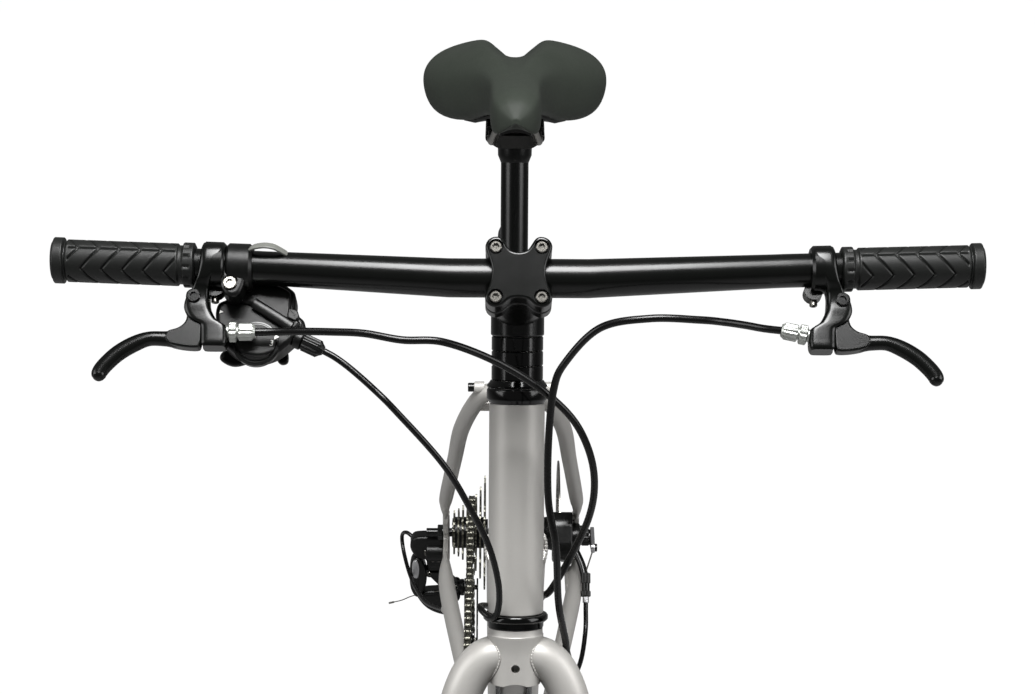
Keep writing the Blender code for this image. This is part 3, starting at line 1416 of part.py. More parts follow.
def saddle_section(share, wing):
    """One ring of the cover: a crowned top with a valley, rounded edges, a flat underside."""
    half, top, edge, low = saddle_station(share)
    y = SADDLE_NOSE_Y + share * SADDLE_LENGTH
    crown = min(half * 0.45, 0.033)
    drop = low - edge
    points = [
        (0.0, top),
        (crown * 0.45, top + wing * 0.005),
        (crown, top + wing * 0.014),
        (half * 0.74, (top + edge) / 2 + wing * 0.009),
        (half * 0.93, edge + wing * 0.001),
        (half, edge + drop * 0.35),
        (half * 0.96, edge + drop * 0.80),
        (half * 0.86, low),
        (half * 0.45, low + 0.004),
        (0.0, low + 0.006),
    ]
    left = [(-x, z) for x, z in reversed(points[1:-1])]
    return [Vector((x, y, SADDLE_HEIGHT + z)) for x, z in points + left]


def saddle_cover():
    shares = [0.0, 0.02, 0.06, 0.14, 0.25, 0.37, 0.48, 0.58, 0.68, 0.78, 0.86, 0.92, 0.96, 1.0]
    rings = [saddle_section(s, max(0.0, min((s - 0.35) / 0.45, 1.0))) for s in shares]
    return place("saddle_cover", loft(rings), "saddle", sharp=60)


def saddle_base():
    """The plastic shell under the cover, with its two rails."""
    rows = []
    for share in (0.14, 0.25, 0.37, 0.48, 0.58, 0.68, 0.78, 0.86, 0.92):
        half, _, _, low = saddle_station(share)
        y = SADDLE_NOSE_Y + share * SADDLE_LENGTH
        under = [(0.60, low + 0.0025), (0.45, low + 0.004), (0.0, low + 0.006)]
        right = [(half * k, z - GAP) for k, z in under]
        upper = right + [(-x, z) for x, z in right[-2::-1]]
        lower = [(x, z - SADDLE_SHELL) for x, z in reversed(upper)]
        rows.append([Vector((x, y, SADDLE_HEIGHT + z)) for x, z in upper + lower])
    made = place("saddle_base", loft(rows), "black_plastic")
    join(made, saddle_rail(1), saddle_rail(-1))
    return made


def saddle_rail(side):
    """A steel rail: down from the nose, level through the clamp, out and up to the back."""
    nose, tail = SADDLE_NOSE_Y, SADDLE_NOSE_Y + SADDLE_LENGTH
    front = [
        (side * 0.0100, nose + 0.046, SADDLE_HEIGHT - 0.0355),
        (side * 0.0150, nose + 0.070, SADDLE_HEIGHT - 0.0460),
        (side * RAIL_SPREAD, nose + 0.108, RAIL_HEIGHT),
    ]
    back = [
        (side * RAIL_SPREAD, nose + 0.190, RAIL_HEIGHT),
        (side * 0.0260, tail - 0.062, RAIL_HEIGHT + 0.0035),
        (side * 0.0320, tail - 0.040, SADDLE_HEIGHT - 0.0580),
    ]
    return swept(smooth(front, 4) + smooth(back, 4), RAIL_RADIUS, 6)


def seat_post():
    """The post, its head and the clamp that grips both rails."""
    foot = seat(SEAT_TUBE_LENGTH - SEAT_POST_DEPTH)
    post = rod(foot, seat(CLAMP_ALONG - 0.006), SEAT_POST_RADIUS, 24)
    made = place("seat_post", post, "black_satin", seat(SEAT_TUBE_LENGTH))
    neck = seat(CLAMP_ALONG - 0.024)
    head = rod(neck, seat(CLAMP_ALONG - 0.004), POST_HEAD_RADIUS, 20, turn=0.11)
    join(made, head, block(CLAMP_MIDDLE, CLAMP_SIZE))
    for side in (1, -1):
        rail = Vector((side * RAIL_SPREAD, CLAMP_MIDDLE.y, RAIL_HEIGHT))
        cut(made, rod(rail - Y * CLAMP_SIZE[1], rail + Y * CLAMP_SIZE[1], RAIL_RADIUS + GAP, 12))
    return made


# Cables


def housing(name, route, radius, count, sides=6):
    rows = smooth(route, count)
    return place(name, swept(rows, radius, sides), "housing")


def down_tube_run(side):
    """The part of a housing that lies along the down tube, up to its stop."""
    shares = (0.12, 0.25, 0.40, HOUSING_END - 0.04, HOUSING_END - 0.0014)
    return [beside_down_tube(side, share, HOUSING_OUT) for share in shares]


def rear_housing_route():
    adjuster = control(-1, ADJUSTER_OUT - ADJUSTER_LENGTH - GAP, ADJUSTER_REACH)
    route = [
        adjuster, adjuster + X * 0.0148,
        (adjuster.x * 0.707, -0.3800, 0.9300), (adjuster.x * 0.442, -0.3900, 0.9250),
        (-0.0200, -0.3800, 0.9080),
        (0.0180, -0.3720, 0.8850), (0.0400, -0.3680, 0.8550), (0.0510, -0.3650, 0.8230),
        (0.0530, -0.3600, 0.7930), (0.0480, -0.3520, 0.7600), (0.0360, -0.3400, 0.7300),
    ]
    return route + down_tube_run(1)


def front_housing_route():
    start = control(1, ADJUSTER_OUT - ADJUSTER_LENGTH - GAP, ADJUSTER_REACH)
    return [
        start, start - X * 0.0198,
        (start.x * 0.677, -0.3880, 0.9350), (start.x * 0.459, -0.3900, 0.9330),
        (0.0520, -0.3850, 0.9230),
        (0.0330, -0.3800, 0.8950), (0.0270, -0.3780, 0.8600), (0.0275, -0.3800, 0.8100),
        (0.0330, -0.3830, 0.7500), (0.0420, -0.3740, 0.7050), (0.0540, -0.3560, 0.6650),
        (0.0620, -0.3560, 0.6100), (0.0600, -0.3900, 0.5200),
        FRONT_STOP - FRONT_STOP_DOWN * 0.0220, FRONT_STOP - FRONT_STOP_DOWN * 0.0012,
    ]


def gear_housing_route():
    start = control(-1, SHIFTER_CLAMP_START - 0.0511, 0.0460, -0.0150)
    route = [
        start, start + Vector((0.0124, -0.002, -0.004)), (start.x * 0.7235, -0.3950, 0.8880),
        (start.x * 0.563, -0.3920, 0.8650), (-0.0450, -0.3870, 0.8260), (-0.0270, -0.3830, 0.7900),
        (-0.0160, -0.3800, 0.7600), (-0.0120, -0.3780, 0.7380), (-0.0180, -0.3740, 0.7230),
        (-0.0260, -0.3550, 0.7180),
    ]
    return route + down_tube_run(-1)


def gear_loop_route():
    start, end = REAR_LOOP_STOPS[-1]
    ahead = (start - end).normalized()
    knuckle_end = Vector((-0.0900, HANGER.y + 0.004, HANGER.z))
    inward = (knuckle_end - LOOP_END).normalized()
    return [
        start + ahead * (GAP + RUN),
        start + ahead * 0.010,
        REAR_AXLE + Vector((-0.0930, -0.0600, -0.0540)),
        REAR_AXLE + Vector((-0.1090, -0.0050, -0.0570)),
        REAR_AXLE + Vector((-0.1190, 0.0320, -0.0440)),
        REAR_AXLE + Vector((-0.1220, 0.0450, -0.0270)),
        LOOP_END - inward * 0.0090,
        LOOP_END - inward * (GAP + RUN),
    ]


def housings():
    housing("rear_brake_housing", rear_housing_route(), BRAKE_HOUSING, 34)
    housing("front_brake_housing", front_housing_route(), BRAKE_HOUSING, 32)
    housing("gear_housing", gear_housing_route(), GEAR_HOUSING, 34)
    housing("gear_loop_housing", gear_loop_route(), GEAR_HOUSING, 18)


def main():
    clear_scene()
    frame()
    seat_collar()
    headset()
    fork()
    stem()
    stem_faceplate()
    stem_top_cap()
    handlebar()
    for side, word in ((1, "left"), (-1, "right")):
        grip(side, f"{word}_grip")
        brake_bracket(side, f"{word}_brake_bracket")
        brake_lever(side, f"{word}_brake_lever")
        barrel_adjuster(side, f"{word}_barrel_adjuster")
        pedal(side, f"{word}_pedal")
    shifter_body()
    shifter_levers()
    tyre(FRONT_AXLE, "front_tyre")
    rim(FRONT_AXLE, "front_rim", FRONT_FLANGES)
    hub(FRONT_AXLE, "front_hub", FRONT_HUB_WIDTH, FRONT_FLANGES, FRONT_ROTOR_X)
    rotor(FRONT_AXLE, "front_rotor", FRONT_ROTOR_X)
    axle(FRONT_AXLE, "front_axle", FRONT_HUB_WIDTH)
    tyre(REAR_AXLE, "rear_tyre")
    rim(REAR_AXLE, "rear_rim", REAR_FLANGES)
    hub(REAR_AXLE, "rear_hub", REAR_HUB_WIDTH, REAR_FLANGES, REAR_ROTOR_X, freehub=True)
    rotor(REAR_AXLE, "rear_rotor", REAR_ROTOR_X)
    axle(REAR_AXLE, "rear_axle", REAR_HUB_WIDTH)
    front_brake()
    rear_brake()
    cassette()
    chainring()
    cranks()
    bottom_bracket()
    chain()
    derailleur()
    saddle_cover()
    saddle_base()
    seat_post()
    housings()


main()
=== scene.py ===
# %% [markdown]
# # A city bike, built as a lesson
#
# The bike comes in as a plain engineering model: sixty bodies that fit together and move. This lesson keeps
# the places and sizes of that model, apart from a few pieces that the photograph shows some millimetres
# away, and gives each piece the shape and finish of the real one. The view is from the front and a little
# above, so the bar, the stem and the levers are nearest to us.

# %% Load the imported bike
import math

import bmesh
import bpy
import numpy as np
from mathutils import Matrix, Vector


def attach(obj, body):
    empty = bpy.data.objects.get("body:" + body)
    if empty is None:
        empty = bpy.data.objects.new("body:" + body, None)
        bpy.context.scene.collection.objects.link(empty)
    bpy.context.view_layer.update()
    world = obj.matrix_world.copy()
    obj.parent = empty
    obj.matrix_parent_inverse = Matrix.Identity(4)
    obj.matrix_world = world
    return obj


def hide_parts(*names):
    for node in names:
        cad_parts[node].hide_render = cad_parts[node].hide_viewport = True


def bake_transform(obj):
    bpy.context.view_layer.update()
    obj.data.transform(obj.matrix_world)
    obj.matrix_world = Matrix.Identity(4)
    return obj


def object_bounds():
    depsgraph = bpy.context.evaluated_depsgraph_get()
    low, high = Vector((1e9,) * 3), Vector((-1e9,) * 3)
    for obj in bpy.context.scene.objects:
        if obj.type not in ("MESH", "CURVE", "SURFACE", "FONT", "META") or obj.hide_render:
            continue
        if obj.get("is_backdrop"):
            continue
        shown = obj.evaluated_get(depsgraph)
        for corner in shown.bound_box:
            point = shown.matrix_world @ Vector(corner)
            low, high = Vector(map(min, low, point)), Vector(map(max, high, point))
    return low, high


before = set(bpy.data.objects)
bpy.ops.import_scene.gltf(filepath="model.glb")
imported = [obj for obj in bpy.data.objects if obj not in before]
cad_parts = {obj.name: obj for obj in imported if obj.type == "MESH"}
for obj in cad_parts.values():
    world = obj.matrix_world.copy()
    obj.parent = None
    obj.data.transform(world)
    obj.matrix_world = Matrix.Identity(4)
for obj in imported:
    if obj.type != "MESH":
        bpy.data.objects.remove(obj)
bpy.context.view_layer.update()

# %% [markdown]
# ## Camera, light and floor
#
# The camera stands in front of the bike, a little above the bar, and looks down by 21.5 degrees. A long
# lens keeps the tubes straight. A product photographer lights satin black metal with wide, soft sources:
# one large panel on each side and one above. The world is white to camera and transmission rays. Mirrored
# rays see only a small share of it, because a room that is fully white would turn the satin blacks grey.

# %% The camera
CAMERA_PLACE = Vector((-0.010, -1.764, 1.468))
CAMERA_YAW = math.radians(0.394)
CAMERA_PITCH = math.radians(21.518)
CAMERA_ROLL = math.radians(0.495)
CAMERA_LENS = 80.2


def camera_axes():
    """The camera's right, up and backward directions."""
    level = math.cos(CAMERA_PITCH)
    ahead = Vector((math.sin(CAMERA_YAW) * level, math.cos(CAMERA_YAW) * level, -math.sin(CAMERA_PITCH)))
    right = Vector((math.cos(CAMERA_YAW), -math.sin(CAMERA_YAW), 0))
    up = right.cross(ahead)
    rolled = right * math.cos(CAMERA_ROLL) + up * math.sin(CAMERA_ROLL)
    return rolled, rolled.cross(ahead), -ahead


camera_data = bpy.data.cameras.new("camera")
camera_data.lens = CAMERA_LENS
camera_data.sensor_width = 36
camera = bpy.data.objects.new("camera", camera_data)
camera.matrix_world = Matrix.Translation(CAMERA_PLACE) @ Matrix(camera_axes()).transposed().to_4x4()
bpy.context.scene.collection.objects.link(camera)
bpy.context.scene.camera = camera
bpy.context.scene.view_settings.view_transform = "Standard"
print("camera at", camera.location[:])

# %% [markdown]
# ## Shader maths as Python
#
# A material's detail is arithmetic on noise and distances. Wiring that by hand is hard to read, so one
# small class stands for a node's output and lets Python's own operators add the Math nodes. Every other
# kind of node comes from a single method that sets the node's options first and then fills its sockets.


# %% A node's output as a number
class Value:
    """A node's output that Python's operators can work with."""

    def __init__(self, nodes, output):
        self.nodes = nodes
        self.output = output

    def calculate(self, operation, first, second=0.0):
        return self.nodes.node("ShaderNodeMath", {"operation": operation}, {0: first, 1: second})

    def __add__(self, other):
        return self.calculate("ADD", self, other)

    def __radd__(self, other):
        return self.calculate("ADD", other, self)

    def __sub__(self, other):
        return self.calculate("SUBTRACT", self, other)

    def __rsub__(self, other):
        return self.calculate("SUBTRACT", other, self)

    def __mul__(self, other):
        return self.calculate("MULTIPLY", self, other)

    def __rmul__(self, other):
        return self.calculate("MULTIPLY", other, self)

    def __truediv__(self, other):
        return self.calculate("DIVIDE", self, other)

    def __pow__(self, other):
        return self.calculate("POWER", self, other)


class Nodes:
    """A node tree, with one method for every kind of node."""

    def __init__(self, tree):
        self.tree = tree

    def node(self, kind, settings=None, inputs=None, output=0):
        made = self.tree.nodes.new(kind)
        for key, value in (settings or {}).items():
            setattr(made, key, value)
        for key, value in (inputs or {}).items():
            self.plug(made.inputs[key], value)
        return Value(self, made.outputs[output])

    def plug(self, socket, value):
        if isinstance(value, Value):
            self.tree.links.new(value.output, socket)
        else:
            socket.default_value = value

    def noise(self, scale, detail=2.0, place=None):
        """Soft noise from 0 to 1 over the object's own metres."""
        place = place or self.place()
        return self.node("ShaderNodeTexNoise", None, {"Vector": place, "Scale": scale, "Detail": detail})

    def place(self):
        return self.node("ShaderNodeTexCoord", None, None, "Object")

    def mixed(self, share, first, second):
        """One colour turning into another."""
        return self.node("ShaderNodeMix", {"data_type": "RGBA"}, {0: share, 6: first, 7: second}, 2)

    def between(self, value, low, high):
        """A value's place between two limits, held to 0 and 1."""
        limits = {"Value": value, "From Min": low, "From Max": high}
        return self.node("ShaderNodeMapRange", {"clamp": True}, limits)


def rgb(red, green, blue):
    """A colour as the screen shows it, from 0 to 255, turned into light."""
    return (*((channel / 255) ** 2.2 for channel in (red, green, blue)), 1.0)


# %% The world and the floor
AMBIENT = 0.11
MIRRORED_SHARE = 0.07


def seen_directly(nodes):
    """1 for rays that go straight to the camera or through glass, and a small share for mirrored rays."""
    rays = nodes.tree.nodes.new("ShaderNodeLightPath")
    camera_ray = Value(nodes, rays.outputs["Is Camera Ray"])
    mirrored = Value(nodes, rays.outputs["Is Glossy Ray"])
    through = Value(nodes, rays.outputs["Is Transmission Ray"])
    return nodes.between(camera_ray + through + MIRRORED_SHARE * mirrored, 0.0, 1.0)


world = bpy.data.worlds.new("white room")
world.use_nodes = True
bpy.context.scene.world = world
room = Nodes(world.node_tree)
room_light = world.node_tree.nodes["Background"]
room_light.inputs["Color"].default_value = (1, 1, 1, 1)
room.plug(room_light.inputs["Strength"], AMBIENT + (1 - AMBIENT) * seen_directly(room))


def soft_panel(name, place, aim, size, watts):
    """A square studio panel that faces a point."""
    data = bpy.data.lights.new(name, "AREA")
    data.size = size
    data.energy = watts
    lamp = bpy.data.objects.new(name, data)
    lamp.location = place
    lamp.rotation_euler = (Vector(aim) - Vector(place)).to_track_quat("-Z", "Y").to_euler()
    bpy.context.scene.collection.objects.link(lamp)


LIT_POINT = (0, -0.2, 0.75)
soft_panel("left panel", (2.2, -1.0, 1.7), LIT_POINT, 1.4, 27)
soft_panel("right panel", (-2.2, -1.0, 1.7), LIT_POINT, 1.4, 24)
soft_panel("top panel", (0, -0.75, 2.7), LIT_POINT, 1.0, 92)


def white_floor():
    """A pale floor that the camera sees as white, with the bike's shadow kept on it."""
    side = 40
    corners = [(-side, -side, 0), (side, -side, 0), (side, side, 0), (-side, side, 0)]
    mesh = bpy.data.meshes.new("floor")
    mesh.from_pydata(corners, [], [(0, 1, 2, 3)])
    material = bpy.data.materials.new("floor")
    material.use_nodes = True
    nodes = Nodes(material.node_tree)
    nodes.tree.nodes.remove(nodes.tree.nodes["Principled BSDF"])
    paint = nodes.node("ShaderNodeBsdfDiffuse", None, {"Color": (0.35, 0.35, 0.35, 1)})
    glow = nodes.node("ShaderNodeEmission", None, {"Color": (1, 1, 1, 1), "Strength": 1.11})
    share = seen_directly(nodes) * 0.90
    floor_mix = nodes.node("ShaderNodeMixShader", None, {0: share, 1: paint, 2: glow})
    nodes.plug(nodes.tree.nodes["Material Output"].inputs["Surface"], floor_mix)
    mesh.materials.append(material)
    floor = bpy.data.objects.new("floor", mesh)
    bpy.context.scene.collection.objects.link(floor)
    floor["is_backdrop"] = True


white_floor()

# %% [markdown]
# ## The finishes
#
# Fourteen finishes cover the bike. Each starts from one colour and one roughness and then gets what the
# hand would feel or the eye would see up close: metal flake in the paint, a fine orange peel in the
# anodised black, grain in the plastic and the saddle skin, faint marks on the steel, oil in the chain.


# %% A finish
class Finish(Nodes):
    """A material with one Principled shader."""

    def __init__(self, name, color, roughness, metallic=0.0, **fixed):
        self.material = bpy.data.materials.new(name)
        self.material.use_nodes = True
        super().__init__(self.material.node_tree)
        self.shader = self.tree.nodes["Principled BSDF"]
        self.color = color
        self.feed("Base Color", color)
        self.feed("Roughness", roughness)
        self.feed("Metallic", metallic)
        for key, value in fixed.items():
            self.feed(key.replace("_", " "), value)

    def feed(self, socket, value):
        self.plug(self.shader.inputs[socket], value)

    def relief(self, height, distance, strength=1.0):
        """Turns a height from 0 to 1 into a bump of that many metres."""
        inputs = {"Height": height, "Distance": distance, "Strength": strength}
        self.feed("Normal", self.node("ShaderNodeBump", None, inputs))

    def shaded(self, share, darker):
        """Lets a share from 0 to 1 pull the colour towards a darker one."""
        self.feed("Base Color", self.mixed(share, self.color, darker))


def frame_paint():
    """Satin silver paint with fine flake under a thin clear coat."""
    made = Finish("frame paint", rgb(180, 178, 174), 0.44, 0.35, Coat_Weight=0.10, Coat_Roughness=0.30)
    flake = made.noise(5200, 1)
    made.shaded(made.between(flake, 0.35, 0.75) * 0.22, rgb(128, 126, 123))
    made.feed("Roughness", 0.42 + 0.07 * made.noise(90))
    made.relief(flake, 0.00002, 0.35)
    return made


def satin_black():
    """Bead-blasted and anodised alloy: a broad, soft highlight."""
    made = Finish("satin black", rgb(8, 10, 8), 0.24, 0.0, Specular_IOR_Level=0.36)
    made.feed("Roughness", 0.20 + 0.08 * made.noise(60, 3))
    made.shaded(made.between(made.noise(900), 0.4, 0.8) * 0.5, rgb(5, 6, 5))
    made.relief(made.noise(3800), 0.00001, 0.3)
    return made


def gloss_black():
    """Polished and anodised rings."""
    made = Finish("gloss black", rgb(4, 5, 4), 0.14, 0.0, Specular_IOR_Level=0.36)
    made.feed("Roughness", 0.11 + 0.06 * made.noise(120))
    made.shaded(made.between(made.noise(40), 0.3, 0.9) * 0.4, rgb(4, 5, 4))
    return made


def grip_rubber():
    """Matte moulded rubber, a little darker in patches."""
    made = Finish("grip rubber", rgb(22, 23, 22), 0.44, 0.0, Specular_IOR_Level=0.34)
    made.shaded(made.between(made.noise(700, 4), 0.35, 0.75) * 0.6, rgb(17, 18, 17))
    made.relief(made.noise(2600, 3), 0.00006, 0.6)
    return made


def tyre_rubber():
    made = Finish("tyre rubber", rgb(50, 50, 51), 0.80, 0.0, Specular_IOR_Level=0.3)
    made.shaded(made.between(made.noise(160, 5), 0.35, 0.7) * 0.7, rgb(34, 34, 35))
    made.relief(made.noise(1800, 3), 0.00008, 0.7)
    return made


def saddle_skin():
    """A foam saddle's moulded skin: fine leather-like pores, matte."""
    made = Finish("saddle skin", rgb(49, 53, 48), 0.56, 0.0, Specular_IOR_Level=0.20)
    pores = made.node("ShaderNodeTexVoronoi", None, {"Vector": made.place(), "Scale": 1400}, "Distance")
    grain = made.between(pores, 0.05, 0.5) + 0.6 * made.noise(500, 4)
    made.shaded(made.between(made.noise(30, 4), 0.3, 0.8) * 0.5, rgb(42, 46, 41))
    made.feed("Roughness", 0.50 + 0.12 * made.noise(220, 3))
    made.relief(grain, 0.00007, 0.55)
    return made


def bright_steel():
    """Plated steel, turned on a lathe, with faint marks in patches."""
    made = Finish("bright steel", rgb(128, 126, 121), 0.30, 1.0)
    made.feed("Roughness", 0.20 + 0.16 * made.noise(800, 3))
    made.shaded(made.between(made.noise(300, 4), 0.45, 0.85) * 0.4, rgb(98, 96, 92))
    return made


def chain_steel():
    """Oiled steel that is darker where oil and dust gather."""
    made = Finish("chain steel", rgb(128, 127, 118), 0.34, 1.0)
    made.shaded(made.between(made.noise(420, 4), 0.35, 0.7) * 0.75, rgb(62, 60, 54))
    made.feed("Roughness", 0.28 + 0.22 * made.noise(600, 3))
    return made


def frosted_alloy():
    """The barrel adjusters: pale, hard-anodised metal."""
    made = Finish("frosted alloy", rgb(172, 175, 170), 0.36, 0.80, Coat_Weight=0.4, Coat_Roughness=0.1)
    made.feed("Roughness", 0.30 + 0.12 * made.noise(500))
    made.shaded(made.between(made.noise(200), 0.4, 0.8) * 0.3, rgb(150, 153, 149))
    return made


def plain_alloy():
    made = Finish("plain alloy", rgb(190, 190, 192), 0.32, 0.95)
    made.feed("Roughness", 0.26 + 0.14 * made.noise(260, 3))
    made.shaded(made.between(made.noise(90, 4), 0.4, 0.8) * 0.35, rgb(150, 150, 153))
    return made


def moulded_plastic():
    """Glass-filled nylon with a fine spark-eroded grain."""
    made = Finish("moulded plastic", rgb(10, 11, 10), 0.36, 0.0, Specular_IOR_Level=0.32)
    grain = made.noise(2400, 3)
    made.shaded(made.between(grain, 0.4, 0.7) * 0.4, rgb(8, 9, 8))
    made.feed("Roughness", 0.29 + 0.14 * made.noise(300))
    made.relief(grain, 0.00005, 0.5)
    return made


def cable_skin():
    """The housings' smooth plastic sleeve, which catches bright lines of light."""
    made = Finish("cable skin", rgb(10, 10, 10), 0.26, 0.0, Specular_IOR_Level=0.35)
    made.feed("Roughness", 0.22 + 0.10 * made.noise(400))
    made.shaded(made.between(made.noise(150), 0.4, 0.8) * 0.3, rgb(6, 6, 6))
    return made


def grey_plastic():
    made = Finish("grey plastic", rgb(96, 97, 93), 0.42, 0.0, Specular_IOR_Level=0.35)
    made.shaded(made.between(made.noise(500, 3), 0.35, 0.75) * 0.3, rgb(74, 75, 72))
    made.feed("Roughness", 0.38 + 0.12 * made.noise(260))
    return made


def white_print():
    made = Finish("white print", rgb(232, 232, 228), 0.6, 0.0, Specular_IOR_Level=0.3)
    made.shaded(made.between(made.noise(1500, 3), 0.5, 0.8) * 0.2, rgb(196, 196, 192))
    return made


GREY_PLASTIC = grey_plastic()
WHITE_PRINT = white_print()
FINISHES = {
    "frame_paint": frame_paint(),
    "black_satin": satin_black(),
    "black_gloss": gloss_black(),
    "rubber": grip_rubber(),
    "tyre": tyre_rubber(),
    "saddle": saddle_skin(),
    "steel": bright_steel(),
    "chain_steel": chain_steel(),
    "clear": frosted_alloy(),
    "alloy": plain_alloy(),
    "black_plastic": moulded_plastic(),
    "housing": cable_skin(),
}

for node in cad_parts.values():
    for material_slot in node.material_slots:
        material_slot.material = FINISHES[material_slot.material.name].material
print("finishes:", len(FINISHES))

# %% [markdown]
# ## Shapes
#
# A bike is tubes, turned rings and plates with rounded edges. Each can be a row of outlines with a skin
# drawn over them, so one skin function makes nearly every piece, and real machining, such as a hole or a
# slot, is a Boolean cut. Edges are broken with a small bevel, because a real edge always catches a thin
# line of light.

# %% Directions and the bike's layout
X = Vector((1, 0, 0))
Y = Vector((0, 1, 0))
Z = Vector((0, 0, 1))
WHEELBASE = 1.056
RIM_RADIUS = 0.317
TYRE_RADIUS = RIM_RADIUS + 0.027
FORK_LENGTH = TYRE_RADIUS + 0.054
FORK_RAKE = 0.047
BRACKET_DROP = 0.065
HEAD_ANGLE = math.radians(72)
SEAT_ANGLE = math.radians(73)
SEAT_TUBE_LENGTH = 0.415
GAP = 0.0003
RUN = 0.0005

FRONT_AXLE = Vector((0, -WHEELBASE / 2, TYRE_RADIUS))
REAR_AXLE = Vector((0, WHEELBASE / 2, TYRE_RADIUS))
STEER_UP = Vector((0, math.cos(HEAD_ANGLE), math.sin(HEAD_ANGLE)))
STEER_FORWARD = Vector((0, -math.sin(HEAD_ANGLE), math.cos(HEAD_ANGLE)))
STEER_FOOT = FRONT_AXLE - FORK_RAKE * STEER_FORWARD
SEAT_UP = Vector((0, math.cos(SEAT_ANGLE), math.sin(SEAT_ANGLE)))
SEAT_BACK = Vector((0, math.sin(SEAT_ANGLE), -math.cos(SEAT_ANGLE)))
CHAINSTAY_LENGTH = TYRE_RADIUS + 0.096
BRACKET = REAR_AXLE - Vector((0, math.sqrt(CHAINSTAY_LENGTH**2 - BRACKET_DROP**2), BRACKET_DROP))
RACE = math.sqrt(FORK_LENGTH**2 - FORK_RAKE**2)
HEAD_BOTTOM = RACE + 0.013
HEAD_TOP = HEAD_BOTTOM + 0.144
SPACER_BOTTOM = HEAD_TOP + 0.016
STEM_BOTTOM = SPACER_BOTTOM + 3 * 0.010
STEM_MIDDLE = STEM_BOTTOM + 0.020


def steer(along, forward=0.0, side=0.0):
    """A point beside the steering axis, measured up from its foot."""
    return STEER_FOOT + along * STEER_UP + forward * STEER_FORWARD + side * X


def seat(along, back=0.0, side=0.0):
    """A point beside the seat tube's axis, measured up from the bottom bracket."""
    return BRACKET + along * SEAT_UP + back * SEAT_BACK + side * X


print("bottom bracket at", BRACKET[:], "head tube from", steer(HEAD_BOTTOM)[:])


# %% Outlines, skins and sweeps
def across(direction, hint=None):
    """Two unit vectors square to a direction and to each other."""
    direction = direction.normalized()
    hint = hint or (X if abs(direction.x) < 0.9 else Z)
    side = (hint - hint.dot(direction) * direction).normalized()
    return side, direction.cross(side)


def oval(centre, side, up, wide, tall, count=32, square=1.0):
    """A ring of points. `square` below 1 turns the oval towards a rounded box."""
    ring = []
    for i in range(count):
        turn = math.tau * i / count
        a = math.copysign(abs(math.cos(turn)) ** square, math.cos(turn))
        b = math.copysign(abs(math.sin(turn)) ** square, math.sin(turn))
        ring.append(centre + side * (wide * a) + up * (tall * b))
    return ring


def skin(rings, closed=False):
    """Points and faces over rings of equal length, capped unless the last ring meets the first."""
    count = len(rings[0])
    points = [point for ring in rings for point in ring]
    faces = []
    for row in range(len(rings) if closed else len(rings) - 1):
        low = row * count
        high = (row + 1) % len(rings) * count
        for i in range(count):
            j = (i + 1) % count
            faces.append((low + i, low + j, high + j, high + i))
    if not closed:
        faces.append(tuple(reversed(range(count))))
        faces.append(tuple(range(len(points) - count, len(points))))
    return points, faces


def rod(start, end, radius, end_radius=None, count=32):
    side, up = across(end - start)
    last = radius if end_radius is None else end_radius
    return skin([oval(start, side, up, radius, radius, count), oval(end, side, up, last, last, count)])


def turned(profile, centre, axis, count=48, hollow=True):
    """Turns (radius, height) pairs about an axis. A solid one isn't hollow and gets end caps."""
    side, up = across(axis)
    rings = [oval(centre + axis.normalized() * h, side, up, r, r, count) for r, h in profile]
    return skin(rings, closed=hollow)


def smooth(points, count, loop=False):
    """Evenly spaced steps of a curve through the points, of any number of values each."""
    points = [tuple(p) for p in points]
    spans = len(points) if loop else len(points) - 1
    if loop:
        full = [points[-1], *points, points[0], points[1]]
    else:
        first = tuple(2 * a - b for a, b in zip(points[0], points[1]))
        last = tuple(2 * a - b for a, b in zip(points[-1], points[-2]))
        full = [first, *points, last]
    rows = []
    for step in range(count if loop else count + 1):
        along = step * spans / count
        k = min(int(along), spans - 1)
        t = along - k
        row = []
        for a, b, c, d in zip(*full[k : k + 4]):
            bend = (2 * a - 5 * b + 4 * c - d) * t * t + (3 * b - a - 3 * c + d) * t**3
            row.append(0.5 * (2 * b + (c - a) * t + bend))
        rows.append(tuple(row))
    return rows


def sweep(points, radii, count=16, hint=None, square=1.0):
    """A tube along points, with a radius, or a (wide, tall) pair, at each."""
    points = [Vector(p[:3]) for p in points]
    if not isinstance(radii, list):
        radii = [radii] * len(points)
    side = None
    rings = []
    for i, point in enumerate(points):
        ahead = (points[min(i + 1, len(points) - 1)] - points[max(i - 1, 0)]).normalized()
        if side is None:
            side, up = across(ahead, hint)
        side = (side - side.dot(ahead) * ahead).normalized()
        up = ahead.cross(side)
        wide, tall = radii[i] if isinstance(radii[i], tuple) else (radii[i], radii[i])
        rings.append(oval(point, side, up, wide, tall, count, square))
    return skin(rings)


def slab(outline, thickness, centre, side, up):
    """A flat plate: an outline in its own plane, given half its thickness each way."""
    half = side.cross(up).normalized() * (thickness / 2)
    middle = [centre + side * a + up * b for a, b in outline]
    return skin([[p - half for p in middle], [p + half for p in middle]])


def inset(outline, distance):
    """An outline with its corners moved inwards, as far as its edges move."""
    pairs = list(zip(outline, outline[1:] + outline[:1]))
    area = sum(a[0] * b[1] - b[0] * a[1] for a, b in pairs)
    turn = 1 if area > 0 else -1
    moved = []
    for before, here, after in zip(outline[-1:] + outline[:-1], outline, outline[1:] + outline[:1]):
        normals = []
        for a, b in ((before, here), (here, after)):
            run = Vector((b[0] - a[0], b[1] - a[1])).normalized()
            normals.append(Vector((-run.y, run.x)) * turn)
        middle = (normals[0] + normals[1]).normalized()
        reach = distance / max(middle.dot(normals[0]), 0.5)
        moved.append((here[0] + middle.x * reach, here[1] + middle.y * reach))
    return moved


